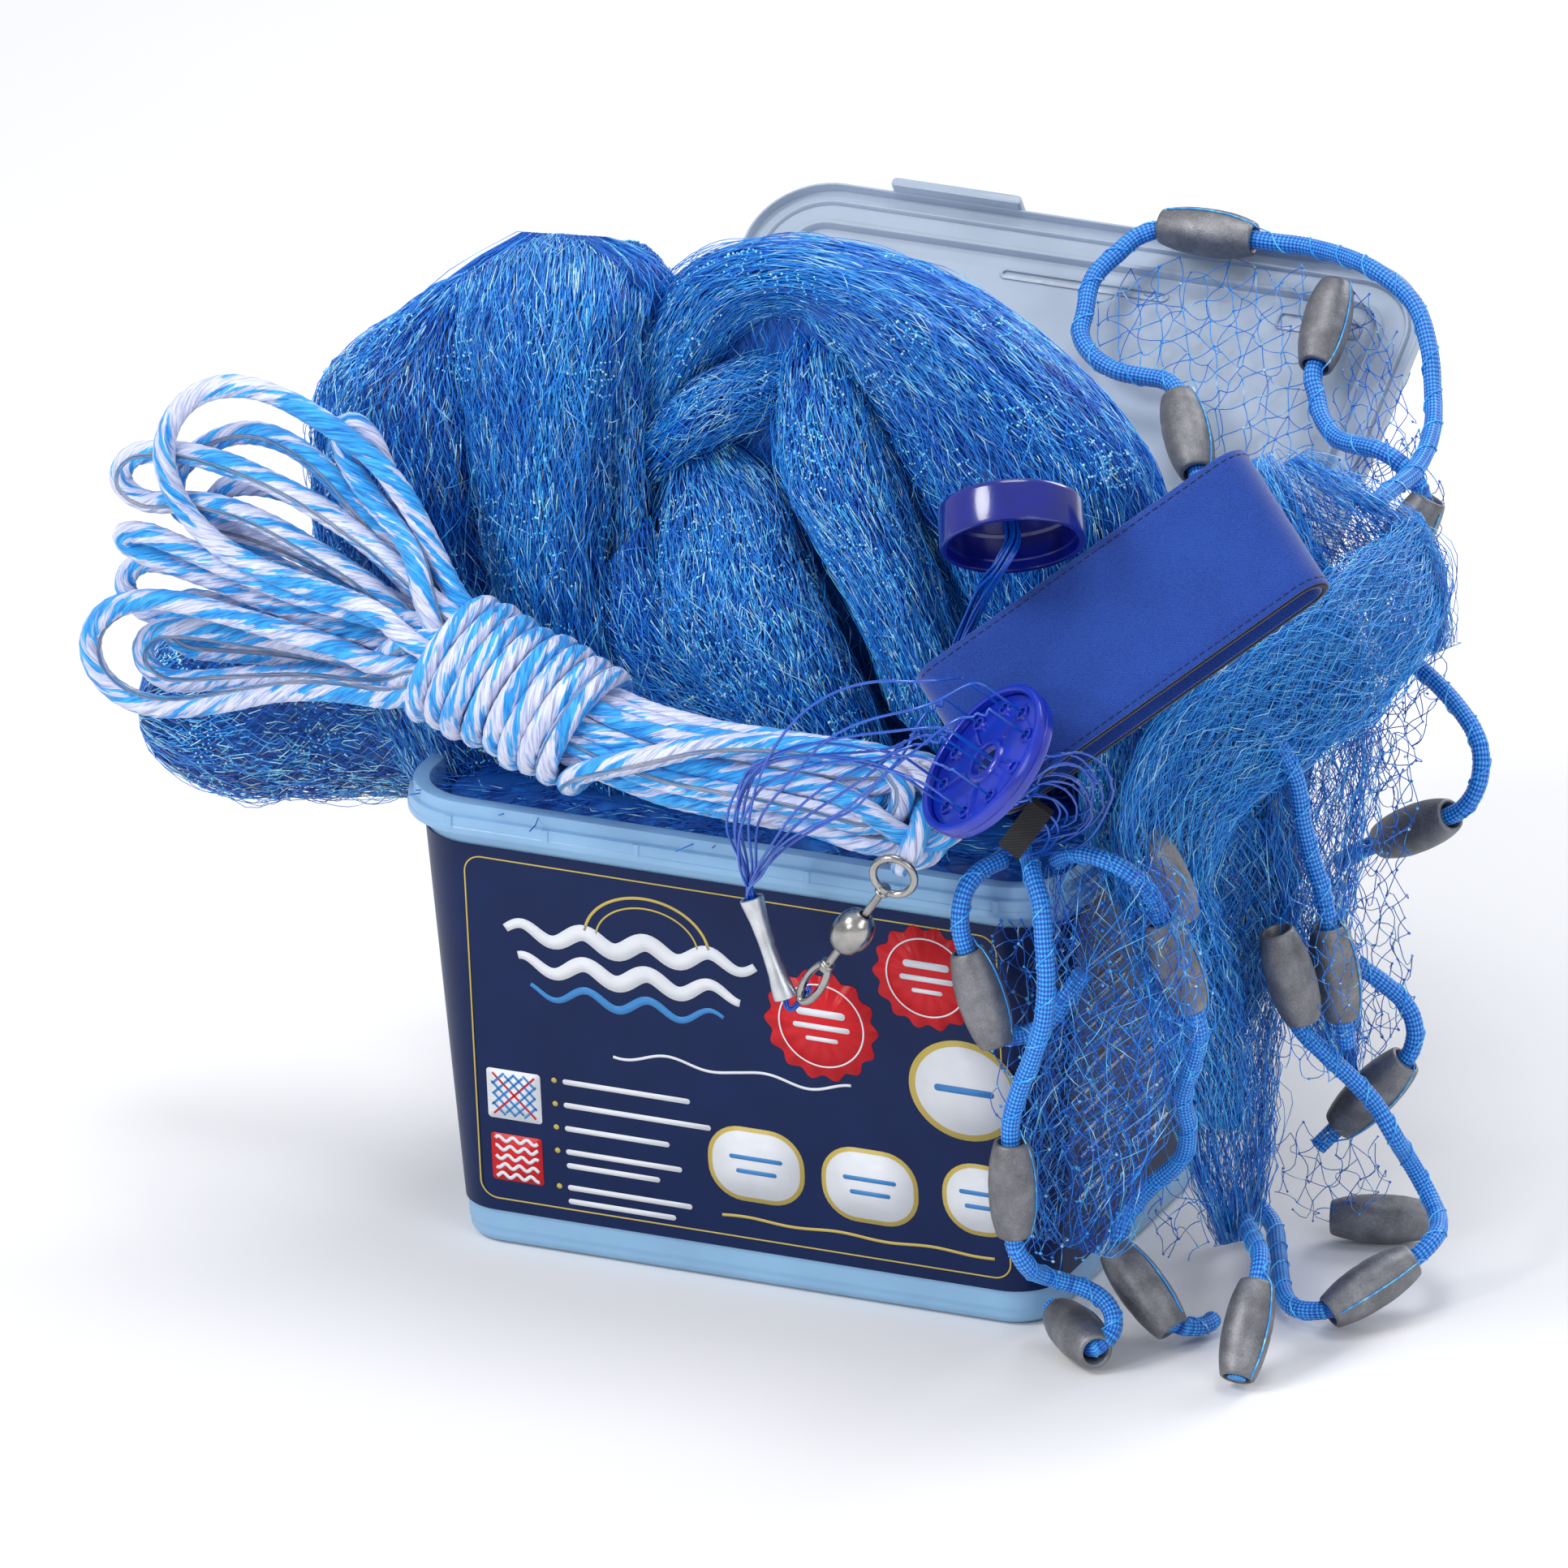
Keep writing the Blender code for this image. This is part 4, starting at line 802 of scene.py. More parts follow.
def stripe(b, pts, width, lift, surf=front, thick=0.14, closed=False):
    """Printed line of a given width along a route on the label's face."""
    pts = arr(pts)
    if closed:
        d = unit(np.roll(pts, -1, 0) - np.roll(pts, 1, 0))
    else:
        d = unit(np.gradient(pts, axis=0))
    nrm = np.stack([-d[:, 1], d[:, 0]], -1)
    w = np.broadcast_to(arr(width), (len(pts),))[:, None] / 2
    a, c = pts + nrm * w, pts - nrm * w
    ring = np.stack([surf(a[:, 0], a[:, 1], lift), surf(a[:, 0], a[:, 1], lift + thick), surf(c[:, 0], c[:, 1], lift + thick), surf(c[:, 0], c[:, 1], lift)], 1)
    v, q, t = loft_rings(ring, cap=not closed, closed=closed)
    b.add(v, q, t)


def round_box(cx, cz, w, h, r, n=8):
    return [(cx + p[0], cz + p[1]) for p in rrect(w, h, r, 0, n)]


def disc(cx, cz, rx, rz, n=40):
    t = np.arange(n) * 2 * math.pi / n
    return np.stack([cx + rx * np.cos(t), cz + rz * np.sin(t)], -1)


def wave(x0, x1, z, amp, length, phase=0.0, n=60):
    x = np.linspace(x0, x1, n)
    return np.stack([x, z + amp * np.sin((x - x0) / length * 2 * math.pi + phase)], -1)


def label_print():
    gold, pale, red, sea = Batch(), Batch(), Batch(), Batch()
    # border
    stripe(gold, round_box(0.0, 79.5, 187.0, 124.0, 6.0), 0.5, 0.02, closed=True)
    # stacked waves with a low sun, top left
    for i, (z, w, batch) in enumerate(((117.0, 6.4, pale), (105.5, 6.0, pale), (96.0, 3.0, sea))):
        x = np.linspace(-80 + 4 * i, 8 - 6 * i, 70)
        width = w * (0.35 + 0.65 * np.sin(np.linspace(0.15, math.pi - 0.15, 70)))
        stripe(batch, np.stack([x, z + 2.6 * np.sin((x + 80) / 22.0 * 2 * math.pi / 1.0)], -1), width, 0.04)
    t = np.linspace(0.12, math.pi - 0.12, 40)
    stripe(gold, np.stack([-30 + 22.0 * np.cos(t), 118.5 + 17.0 * np.sin(t)], -1), 1.0, 0.04)
    stripe(gold, np.stack([-30 + 18.0 * np.cos(t), 118.5 + 13.4 * np.sin(t)], -1), 0.6, 0.04)
    # net motif in a pale square, left, over a small square of waves
    patch(pale, round_box(-80, 56, 19, 18, 1.2), 0.02)
    for k in range(-3, 4):
        for sgn in (-1, 1):
            lim = 10.5 - abs(k) * 1.9
            u = np.linspace(-lim, lim, 12)
            x, z = (u + k * 2.6) * 0.7071, sgn * (u - k * 2.6) * 0.7071
            ok = (abs(x) < 8.2) & (abs(z) < 7.8)
            if ok.sum() > 3:
                stripe(red if k == 0 else sea, np.stack([-80 + x[ok], 56 + z[ok]], -1), 0.7, 0.18)
    patch(red, round_box(-80, 33, 18, 17, 1.0), 0.02)
    for i in range(5):
        stripe(pale, wave(-87.5, -72.5, 39.6 - i * 3.3, 0.8, 5.0, i * 1.3, 40), 1.2, 0.18)
    # plain bars, each with a gold dot
    for i, (w, z) in enumerate(((45, 64), (52, 55.5), (37, 47), (41, 38.5), (33, 33.5), (44, 25.5), (38, 20.5))):
        if i not in (4, 6):
            patch(gold, disc(-65.5, z, 0.95, 0.95, 16), 0.04)
        patch(pale, round_box(-62.5 + w / 2, z, w, 1.9, 0.9, 3), 0.04)
    # long thin wave across the middle
    x = np.linspace(-44, 40, 90)
    stripe(pale, np.stack([x, 77.5 + 1.9 * np.sin(x / 5.2) * (0.4 + 0.6 * np.abs(np.sin(x / 21.0)))], -1), 0.95, 0.04)
    # three panels with gold rims along the bottom
    for cx, cz, w, h in ((5, 44.5, 34, 27), (45, 43.5, 34, 27), (84, 45, 27, 26)):
        patch(gold, round_box(cx, cz, w, h, 12.0), 0.02)
        patch(pale, round_box(cx, cz, w - 3.2, h - 3.2, 10.4), 0.16)
        for j, ww in enumerate((0.55, 0.42)):
            patch(sea, round_box(cx, cz + 2.4 - 5.0 * j, w * ww, 1.5, 0.7, 3), 0.32)
    # red seals at the right
    for cx, cz, r in ((30.5, 99.5, 19.0), (68.5, 123.0, 18.0)):
        t = np.arange(168) * 2 * math.pi / 168
        rr = r * (1 + 0.055 * np.cos(14 * t))
        patch(red, np.stack([cx + rr * np.cos(t), cz + rr * np.sin(t)], -1), 0.02)
        stripe(pale, disc(cx, cz, r * 0.78, r * 0.78, 56), 0.55, 0.17, closed=True)
        patch(pale, round_box(cx, cz + 4.4, r * 0.9, 2.6, 1.2, 3), 0.17)
        patch(pale, round_box(cx, cz - 0.6, r * 1.05, 1.9, 0.9, 3), 0.17)
        patch(pale, round_box(cx, cz - 5.0, r * 0.6, 1.5, 0.7, 3), 0.17)
    # large pale disc with a gold rim, right
    patch(gold, disc(80.0, 84, 19.5, 18.0, 64), 0.02)
    patch(pale, disc(80.0, 84, 17.2, 15.8, 64), 0.16)
    patch(sea, round_box(80.0, 84, 21.0, 2.4, 1.1, 3), 0.32)
    # double line under it all
    stripe(gold, wave(-8, 88, 24.6, 0.5, 33, 0.0, 120), 1.0, 0.04)
    # side panel: plain bars in two columns
    for col_y, width in ((-30, 34), (18, 40)):
        for i in range(12):
            w = width * (0.62 + 0.38 * abs(math.sin(i * 2.1 + col_y)))
            patch(pale, round_box(col_y - width / 2 + w / 2, 122 - i * 7.6, w, 1.5, 0.7, 3), 0.04, surf=flank)
    for name, batch, mat in (("label_gold_marks", gold, M_GOLD), ("label_pale_marks", pale, M_PALE), ("label_red_seals", red, M_RED), ("label_sea_marks", sea, M_SEA)):
        obj = fix_normals(batch.make(name, mat, smooth=False))


label_print()


def swing(p, z0=TUB_H):
    p = arr(p)
    dy, dz = p[..., 1] - LID_AXIS[1], p[..., 2] + z0 - LID_AXIS[2]
    c, s = math.cos(math.radians(LID_OPEN)), math.sin(math.radians(LID_OPEN))
    return np.stack([p[..., 0], LID_AXIS[1] + dy * c + dz * s, LID_AXIS[2] - dy * s + dz * c], -1)


def lid():
    T = 2.4
    rows = [(16.0, T - 0.9), (14.0, T - 0.9), (12.8, T - 0.1), (3.0, T), (1.2, T - 0.05), (0.35, T - 0.35), (0.0, T - 1.1), (0.0, -1.9), (-0.0, -2.6), (0.25, -3.15),
            (0.95, -3.2), (1.2, -2.7), (1.2, 0.3), (1.6, 0.75), (2.2, 0.8), (4.6, 0.8), (4.9, -0.2), (5.3, -0.55), (5.9, -0.55), (6.3, -0.2), (6.6, 0.8), (13.2, 0.8), (13.6, 0.2),
            (14.0, -1.6), (14.4, -2.0), (15.6, -2.0), (16.0, -1.6), (16.5, 0.6), (17.2, 0.8), (21.0, 0.8), (22.0, 0.2), (23.2, 0.1)]
    rings = [swing(rrect(RIM_W - 2 * i, RIM_D - 2 * i, max(RIM_R - i, 5.0), z, 14)) for i, z in rows]
    v, q, t = loft_rings(rings)
    b = Batch()
    b.add(v, q, t)
    # tabs on the far edge, each with three small ribs
    for side in (-1, 1):
        x0, x1 = sorted((side * 30.0, side * 76.0))
        cx, w = (x0 + x1) / 2, x1 - x0
        outline = [(cx + p[0], p[1]) for p in rrect(w, 3.4, 1.2, 0, 5)]
        y = -RIM_D / 2 - 1.0
        b.add(*loft_rings([swing([(p[0] * (1 - k) + cx * k, y + p[1] * (1 - 3 * k), z) for p in outline]) for z, k in ((-7.0, 0.03), (-6.6, 0.0), (1.4, 0.0), (1.9, 0.03))]))
        for x in (x0 + 8, x0 + 21, x1 - 8):
            b.add(*loft_rings([swing([(x + px, y - 1.5 + py, z) for px, py in ((-0.6, 0.3), (-0.6, -0.6), (0.6, -0.6), (0.6, 0.3))]) for z in (-6.0, 1.0)]))
    # raised key shapes inside the far corners and a shallow bar by the hinge
    for cx, cy, w, h in ((-84.0, -60.0, 30.0, 7.0), (84.0, -60.0, 30.0, 7.0), (0.0, -62.0, 60.0, 4.0), (0.0, 58.0, 120.0, 5.0)):
        outer = [(cx + p[0], cy + p[1]) for p in rrect(w, h, 2.2, 0, 5)]
        inner = [(cx + p[0], cy + p[1]) for p in rrect(w - 2.0, h - 2.0, 1.4, 0, 5)]
        ring = [swing([(x, y, z) for x, y in o]) for o, z in ((outer, 0.5), (outer, -0.5), (inner, -0.9), (inner, 0.45))]
        vv, qq, tt = loft_rings(ring, cap=False, closed=True)
        b.add(vv, qq, tt)
    obj = fix_normals(b.make("tub_lid_shell", M_LID, sharp=38, body="lid"))
    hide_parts("tub_lid")


lid()


def hinge():
    """Film hinge strip along the back of the rim, with a groove down its middle."""
    prof = [(86.45, 157.0), (87.75, 157.0), (87.75, 158.3), (87.35, 158.6), (87.35, 158.9), (87.75, 159.2), (87.75, 160.4), (86.45, 160.4)]
    rings = [[(x, y, z) for y, z in prof] for x in np.linspace(-75, 75, 13)]
    obj = fix_normals(build("hinge_strip_film", *split(loft_rings(rings)), M_LID, sharp=35))
    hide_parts("hinge_strip")


def split(made):
    return made[0], [f for f in made[1:3] if f is not None]


hinge()


# ---------------------------------------------------------------- lead weights
FLOOR = 8.4


def two_ends(u0, v0, u1, v1, place):
    a, b = place(u0, v0), place(u1, v1)
    return (a + b) / 2, unit(b - a)


def deeper(u0, v0, u1, v1, y0, y1):
    a, b = at_y(u0, v0, y0), at_y(u1, v1, y1)
    return (a + b) / 2, unit(b - a)


WEIGHTS = {
    "01": two_ends(1429, 273, 1554, 292, lambda u, v: on_lid(u, v, 13.4)),
    "02": two_ends(1650, 345, 1621, 455, lambda u, v: on_lid(u, v, 15.6)),
    "03": two_ends(1451, 480, 1477, 590, lambda u, v: on_lid(u, v, 15.6)),
    "04": deeper(1762, 613, 1700, 718, 150, 139),
    "05": deeper(1804, 997, 1683, 1044, 96, 106),
    "06": deeper(1186, 1162, 1227, 1289, -102.5, -103),
    "07": deeper(1242, 1389, 1247, 1527, -105, -105),
    "08": (at_z(1324, 1636, FLOOR), unit([0.70, -0.71, 0.0])),
    "09": (at_z(1405, 1583, 19.0), unit([22.6, -6.4, -21.5])),
    "10": (at_z(1530, 1632, 16.6), unit([1.65, -22.0, -25.0])),
    "11": (at_z(1683, 1580, 13.4), unit([20.3, 24.1, 13.0])),
    "12": (at_z(1700, 1500, FLOOR), unit([0.95, 0.3, 0.0])),
    "13": deeper(1737, 1297, 1640, 1394, 50, 42),
    "14": deeper(1420, 1121, 1466, 1248, -86, -80),
    "15": deeper(1404, 1030, 1450, 1126, -70, -68),
    "16": deeper(1563, 1134, 1604, 1266, -20, -16),
    "17": deeper(1630, 1134, 1650, 1256, 2, 4),
}
WEIGHT_L = 33.0


def weight(key):
    c, d = WEIGHTS[key]
    rng = np.random.default_rng(100 + int(key))
    wob = noise_fn(200 + int(key), 3, 1.0)
    h, e, r, bore = 16.5, 5.3, 8.0, 4.2
    prof = []
    n = 22
    for i in range(n + 1):
        x = -h + 1.0 + (2 * h - 2.0) * i / n
        rad = e + 0.6 + (r - e - 0.6) * (1 - abs(x / (h - 1.0)) ** 2.3)
        prof.append((x, rad))
    prof = [(-h + 0.05, bore + 0.35), (-h, bore + 0.7), (-h, e - 0.2), (-h + 0.3, e + 0.3)] + prof + [(h - 0.3, e + 0.3), (h, e - 0.2), (h, bore + 0.7), (h - 0.05, bore + 0.35)]
    prof += [(h - 0.7, bore), (h * 0.4, bore), (-h * 0.4, bore), (-h + 0.7, bore)]
    seam = rng.uniform(0, 6.28)
    ring_at = rng.uniform(-9, 9, 2)

    def wobble(t, along, radius):
        if radius < bore + 0.1:
            return 0 * t
        out = 0.012 * wob(np.cos(t) * 1.4, np.sin(t) * 1.4, along * 0.13) + 0.006 * wob(np.cos(t) * 5 + 3, np.sin(t) * 5, along * 0.6)
        out = out + 0.016 * np.exp(-((np.angle(np.exp(1j * (t - seam)))) / 0.10) ** 2)
        for z in ring_at:
            out = out - 0.012 * np.exp(-((along - z) / 0.35) ** 2) * (np.cos(t - seam - 1) > -0.2)
        return out
    segs = 40
    v, q, t = lathe(c, d, prof, segs, wobble)
    uv = np.stack([np.tile(np.arange(segs) * 1.2, len(prof)), np.repeat([p[0] for p in prof], segs)], -1)
    obj = fix_normals(build("weight_" + key, v, [q], M_LEAD, uv=uv, sharp=50))
    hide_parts("lead_weight_" + key)


for key in WEIGHTS:
    weight(key)


# ---------------------------------------------------------------- swivel and sleeve
EYE_U, BARREL0, EYE_L = at_y(1099, 1078, -118.0), at_y(1054, 1151, -116.0), at_y(1002, 1208, -113.0)
SW = unit(EYE_L - EYE_U)
BARREL = EYE_U + SW * np.dot(BARREL0 - EYE_U, SW)
D_U, D_L = float(np.dot(BARREL - EYE_U, SW)), float(np.dot(EYE_L - BARREL, SW))
WIRE = 2.6


def eye(name, centre, long_dir, half_l, half_w, normal, stem, node):
    """Wire eye: an oval ring with its twisted neck, stem and head, in one mesh."""
    a = unit(long_dir)
    n = unit(np.asarray(normal, float) - a * np.dot(normal, a))
    b = np.cross(n, a)
    segs, sides = 72, 18
    rings = []
    for i in range(segs):
        t = 2 * math.pi * i / segs
        c = centre + a * half_l * math.cos(t) + b * half_w * math.sin(t)
        tan = unit(-a * half_l * math.sin(t) + b * half_w * math.cos(t))
        out = np.cross(tan, n)
        ang = np.arange(sides) * 2 * math.pi / sides
        rings.append(c + (out[None] * np.cos(ang)[:, None] + n[None] * np.sin(ang)[:, None]) * WIRE / 2)
    batch = Batch()
    batch.add(*loft_rings(rings, cap=False, closed=True))
    s0, s1, rad = stem
    prof = [(s0 - 1.0, 0.01), (s0 - 1.0, rad + 0.5), (s0 + 0.4, rad + 0.9), (s0 + 1.4, rad + 0.35), (s0 + 2.2, rad), (s1 - 1.6, rad), (s1 - 1.5, rad * 1.7), (s1 + 0.1, rad * 1.7), (s1 + 0.2, 0.01)]
    v, q, t = lathe(centre, a, prof, 24)
    batch.add(v, q, t)
    # a turn of the wire laid round the neck
    th = np.linspace(0, 2 * math.pi * 1.6, 40)
    x, y, d = frame_at(a)
    path = centre + d * (s0 + 0.7 + th / (2 * math.pi) * 1.1)[:, None] + (x[None] * np.cos(th)[:, None] + y[None] * np.sin(th)[:, None]) * (rad + 0.45)
    v, q, t, _ = tubes(path[None], 0.75, 8)
    batch.add(v, q, t)
    obj = fix_normals(batch.make(name, M_STEEL, sharp=50))
    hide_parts(node)


eye("swivel_upper_eye_wire", EYE_U, SW, 6.9, 6.9, AXN + 0.1 * AXR, (6.2, D_U - 3.0, 1.3), "swivel_eye_upper")
eye("swivel_lower_eye_wire", EYE_L, -SW, 8.6, 3.35, AXN + 0.5 * AXU, (7.9, D_L - 3.0, 1.3), "swivel_eye_lower")


def barrel():
    H = 8.6
    body = [(-H, 1.9), (-H, 2.3), (-H + 0.5, 2.9), (-H + 1.1, 3.45), (-H + 1.8, 4.3), (-H + 2.9, 5.3), (-H * 0.45, 6.05), (-H * 0.25, 6.5), (0, 6.7),
            (H * 0.25, 6.5), (H * 0.45, 6.05), (H - 2.9, 5.3), (H - 1.8, 4.3), (H - 1.1, 3.45), (H - 0.5, 2.9), (H, 2.3), (H, 1.9)]
    bore = [(H - 0.2, 1.75), (H - 2.2, 1.75), (H - 2.4, 3.1), (2.0, 4.4), (-2.0, 4.4), (-H + 2.4, 3.1), (-H + 2.2, 1.75), (-H + 0.2, 1.75)]
    v, q, t = lathe(BARREL, SW, body + bore, 56)
    obj = fix_normals(build("swivel_barrel_shell", v, [q], M_STEEL, sharp=40, body="barrel"))
    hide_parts("swivel_barrel")


barrel()

SLEEVE_A, SLEEVE_B = at_y(926, 1104, -112.0), at_y(968, 1226, -113.0)
SD = unit(SLEEVE_B - SLEEVE_A)


def sleeve():
    """Pressed sleeve: round at its flared ends and squeezed flat between them."""
    half = float(np.linalg.norm(SLEEVE_B - SLEEVE_A)) / 2
    prof_out = [(-half, 3.5), (-half + 0.25, 3.9), (-half + 1.2, 3.95), (-half * 0.72, 3.5), (-half * 0.55, 3.1), (-half * 0.2, 2.85), (0, 2.8), (half * 0.2, 2.85), (half * 0.55, 3.1),
                (half * 0.72, 3.5), (half - 1.2, 3.95), (half - 0.25, 3.9), (half, 3.5)]
    prof = prof_out + [(half, 3.0), (half * 0.5, 2.2), (-half * 0.5, 2.2), (-half, 3.0)]

    def press(t, along, radius):
        k = max(0.0, 1 - abs(along) / (half * 0.8))
        dent = sum(math.exp(-((along - z) / 0.9) ** 2) for z in (-7.0, -2.4, 2.4, 7.0))
        return (0.10 * k * np.cos(2 * t) - 0.055 * dent * (np.abs(np.cos(t)) > 0.5)) if radius > 2.5 else 0 * t
    v, q, t = lathe((SLEEVE_A + SLEEVE_B) / 2, SD, prof, 40, press)
    obj = fix_normals(build("sleeve_pressed", v, [q], M_SLEEVE, sharp=45))
    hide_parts("crimp_sleeve")


sleeve()

# ---------------------------------------------------------------- horn and cap
HORN_AT = at_y(1203, 933, -135.0)
HORN_N = unit(-0.726 * AXR + 0.513 * AXU + 0.457 * AXN)
HORN_R = 27.5


def horn():
    R = HORN_R
    prof = [(0.25, R - 2.6), (0.0, R - 2.3), (-0.02, R - 1.0), (0.25, R - 0.25), (0.8, R), (3.0, R - 0.1), (3.2, R - 0.45), (3.6, R - 0.45), (3.8, R - 0.2), (6.3, R - 0.7), (6.8, R - 1.0), (7.0, R - 1.6),
            (7.0, R - 3.2), (6.8, R - 3.6), (4.9, R - 3.6), (4.9, R - 2.6)]
    v, q, t = lathe(HORN_AT, -HORN_N, prof, 112)
    ring = fix_normals(build("horn_rim", v, [q], M_HORN, sharp=40, body="horn"))
    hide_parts("horn_ring")
    # plate with a ring of line holes, each with a raised lip
    x, y, d = frame_at(-HORN_N)
    batch = Batch()
    prof = [(2.5, R - 3.1), (2.4, R - 3.3), (2.4, 8.2), (1.5, 7.6), (1.2, 6.6), (1.3, 5.8), (1.9, 5.5), (4.4, 5.5), (4.5, 5.8), (4.5, R - 3.3), (4.4, R - 3.1)]
    v, q, t = lathe(HORN_AT, -HORN_N, prof, 96)
    batch.add(v, q, t)
    for k in range(10):
        a = 2 * math.pi * (k + 0.5) / 10
        c = HORN_AT + (x * math.cos(a) + y * math.sin(a)) * 19.4
        prof = [(2.2, 1.5), (1.5, 1.6), (1.3, 2.0), (1.5, 2.5), (2.6, 2.9), (2.6, 1.5)]
        v, q, t = lathe(c, -HORN_N, prof, 22)
        batch.add(v, q, t)
    for k in range(5):
        a = 2 * math.pi * k / 5 + 0.2
        r0, r1 = 9.0, 22.4
        side = -x * math.sin(a) + y * math.cos(a)
        out = x * math.cos(a) + y * math.sin(a)
        rings = []
        for r, w, hgt in ((r0, 0.5, 0.3), (r0 + 1.0, 0.8, 0.9), (r1 - 1.5, 0.8, 0.7), (r1, 0.5, 0.2)):
            c = HORN_AT + out * r
            rings.append([c + side * w + d * 2.6, c + side * w * 0.6 + d * (2.4 - hgt), c - side * w * 0.6 + d * (2.4 - hgt), c - side * w + d * 2.6])
        batch.add(*loft_rings(rings))
    plate = fix_normals(batch.make("horn_face_plate", M_HORN, sharp=40, body="horn"))
    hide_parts("horn_plate")


horn()

CAP_AT = at_y(1241, 653, -88.0)
CAP_N = unit(0.07 * AXR - 0.925 * AXU + 0.37 * AXN)


def cap():
    h, R = 7.25, 23.5
    prof = [(-h, 0.8), (-h, 4.0), (-h + 0.5, 4.6), (-h + 0.5, R - 4.2), (-h, R - 3.6), (-h, R - 2.2), (-h + 0.2, R - 1.2), (-h + 0.6, R - 0.5), (-h + 1.3, R - 0.08), (-h + 2.2, R), (h - 1.2, R), (h - 0.35, R - 0.2),
            (h, R - 0.8), (h, R - 1.6), (h - 0.3, R - 2.1), (h - 1.0, R - 2.3), (h - 3.4, R - 2.3), (h - 3.8, R - 2.9), (h - 4.4, R - 2.9), (h - 4.8, R - 2.3), (-h + 3.0, R - 2.3), (-h + 2.2, R - 3.2), (-h + 2.2, 0.8)]
    v, q, t = lathe(CAP_AT, CAP_N, prof, 112)
    obj = fix_normals(build("cap_shell", v, [q], M_CAP, sharp=40))
    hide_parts("collar_cap")


cap()

# ---------------------------------------------------------------- wrist cuff
CUFF_C = at_y(1376, 782, -77.0)
CX = unit(0.807 * AXR + 0.572 * AXU + 0.16 * AXN)
CZ = 0.560 * AXR - 0.700 * AXU + 0.33 * AXN
CZ = unit(CZ - CX * np.dot(CZ, CX))
CY = np.cross(CZ, CX)


def cuff_loop(offset, n=28, m=46):
    """Flattened loop with slightly uneven layers: points (x, y) in its own plane."""
    half, r = 56.0, 5.2 + offset
    pts = []
    for i in range(n + 1):
        t = -math.pi / 2 + math.pi * i / n
        pts.append((half + r * math.cos(t), r * math.sin(t)))
    for i in range(1, m):
        pts.append((half - 2 * half * i / m, r))
    for i in range(n + 1):
        t = math.pi / 2 + math.pi * i / n
        pts.append((-half + r * math.cos(t), r * math.sin(t)))
    for i in range(1, m):
        pts.append((-half + 2 * half * i / m, -r))
    return arr(pts)


CUFF_WAVE = noise_fn(31, 2, 0.05)


def cuff_band(name, o0, o1, z0, z1, mat, edge=0.35, stitches=False):
    rings, uvs = [], []
    prof = [(o0, z0 + edge), (o0 + edge * 0.3, z0 + edge * 0.3), (o0 + edge, z0), (o1 - edge, z0), (o1 - edge * 0.3, z0 + edge * 0.3), (o1, z0 + edge)]
    prof += [(o1, z0 + (z1 - z0) * k) for k in (0.1, 0.25, 0.4, 0.55, 0.7, 0.85)]
    prof += [(o1, z1 - edge), (o1 - edge * 0.3, z1 - edge * 0.3), (o1 - edge, z1), (o0 + edge, z1), (o0 + edge * 0.3, z1 - edge * 0.3), (o0, z1 - edge)]
    prof += [(o0, z0 + (z1 - z0) * k) for k in (0.85, 0.6, 0.35, 0.1)]
    for off, z in prof:
        p = cuff_loop(off)
        s = np.concatenate([[0], np.cumsum(np.linalg.norm(np.diff(p, axis=0), axis=1))])
        wave = 0.35 * CUFF_WAVE(p[:, 0], z, 0.0) * np.clip(1 - np.abs(p[:, 0]) / 62.0, 0, 1)
        y = p[:, 1] + wave * np.sign(p[:, 1])
        rings.append(CUFF_C + CX * p[:, :1] + CY * y[:, None] + CZ * z)
        uvs.append(np.stack([s, np.full(len(s), z)], -1))
    v, q, t = loft_rings(rings, cap=False, closed=True)
    obj = fix_normals(build(name, v, [q], mat, uv=np.concatenate(uvs), sharp=60))
    return obj


outer_band = cuff_band("cuff_outer_cloth", 2.75, 3.6, -26.7, 26.7, M_CUFF)
foam_band = cuff_band("cuff_foam_core", 0.86, 2.74, -27.0, 27.0, M_FOAM, edge=0.5)
inner_band = cuff_band("cuff_lining", 0.0, 0.85, -26.7, 26.7, M_CUFF)
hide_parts("wrist_cuff")


def cuff_stitching():
    """A row of stitches along each edge of the cuff's outer cloth."""
    b = Batch()
    p = resample(np.concatenate([cuff_loop(3.62), cuff_loop(3.62)[:1]]), step=1.0)
    n = len(p)
    for z in (-24.6, 24.6):
        starts = np.arange(0, n - 3, 3)
        wave = 0.35 * CUFF_WAVE(p[:, 0], z, 0.0) * np.clip(1 - np.abs(p[:, 0]) / 62.0, 0, 1)
        y = p[:, 1] + wave * np.sign(p[:, 1])
        world = CUFF_C + CX * p[:, :1] + CY * y[:, None] + CZ * z
        path = np.stack([world[starts], world[starts + 1], world[starts + 2]], 1)
        put(b, tubes(path, 0.20, 4, col=np.full((len(starts), 3), 0.02)))
    obj = b.make("cuff_stitches", M_STRAP)


cuff_stitching()


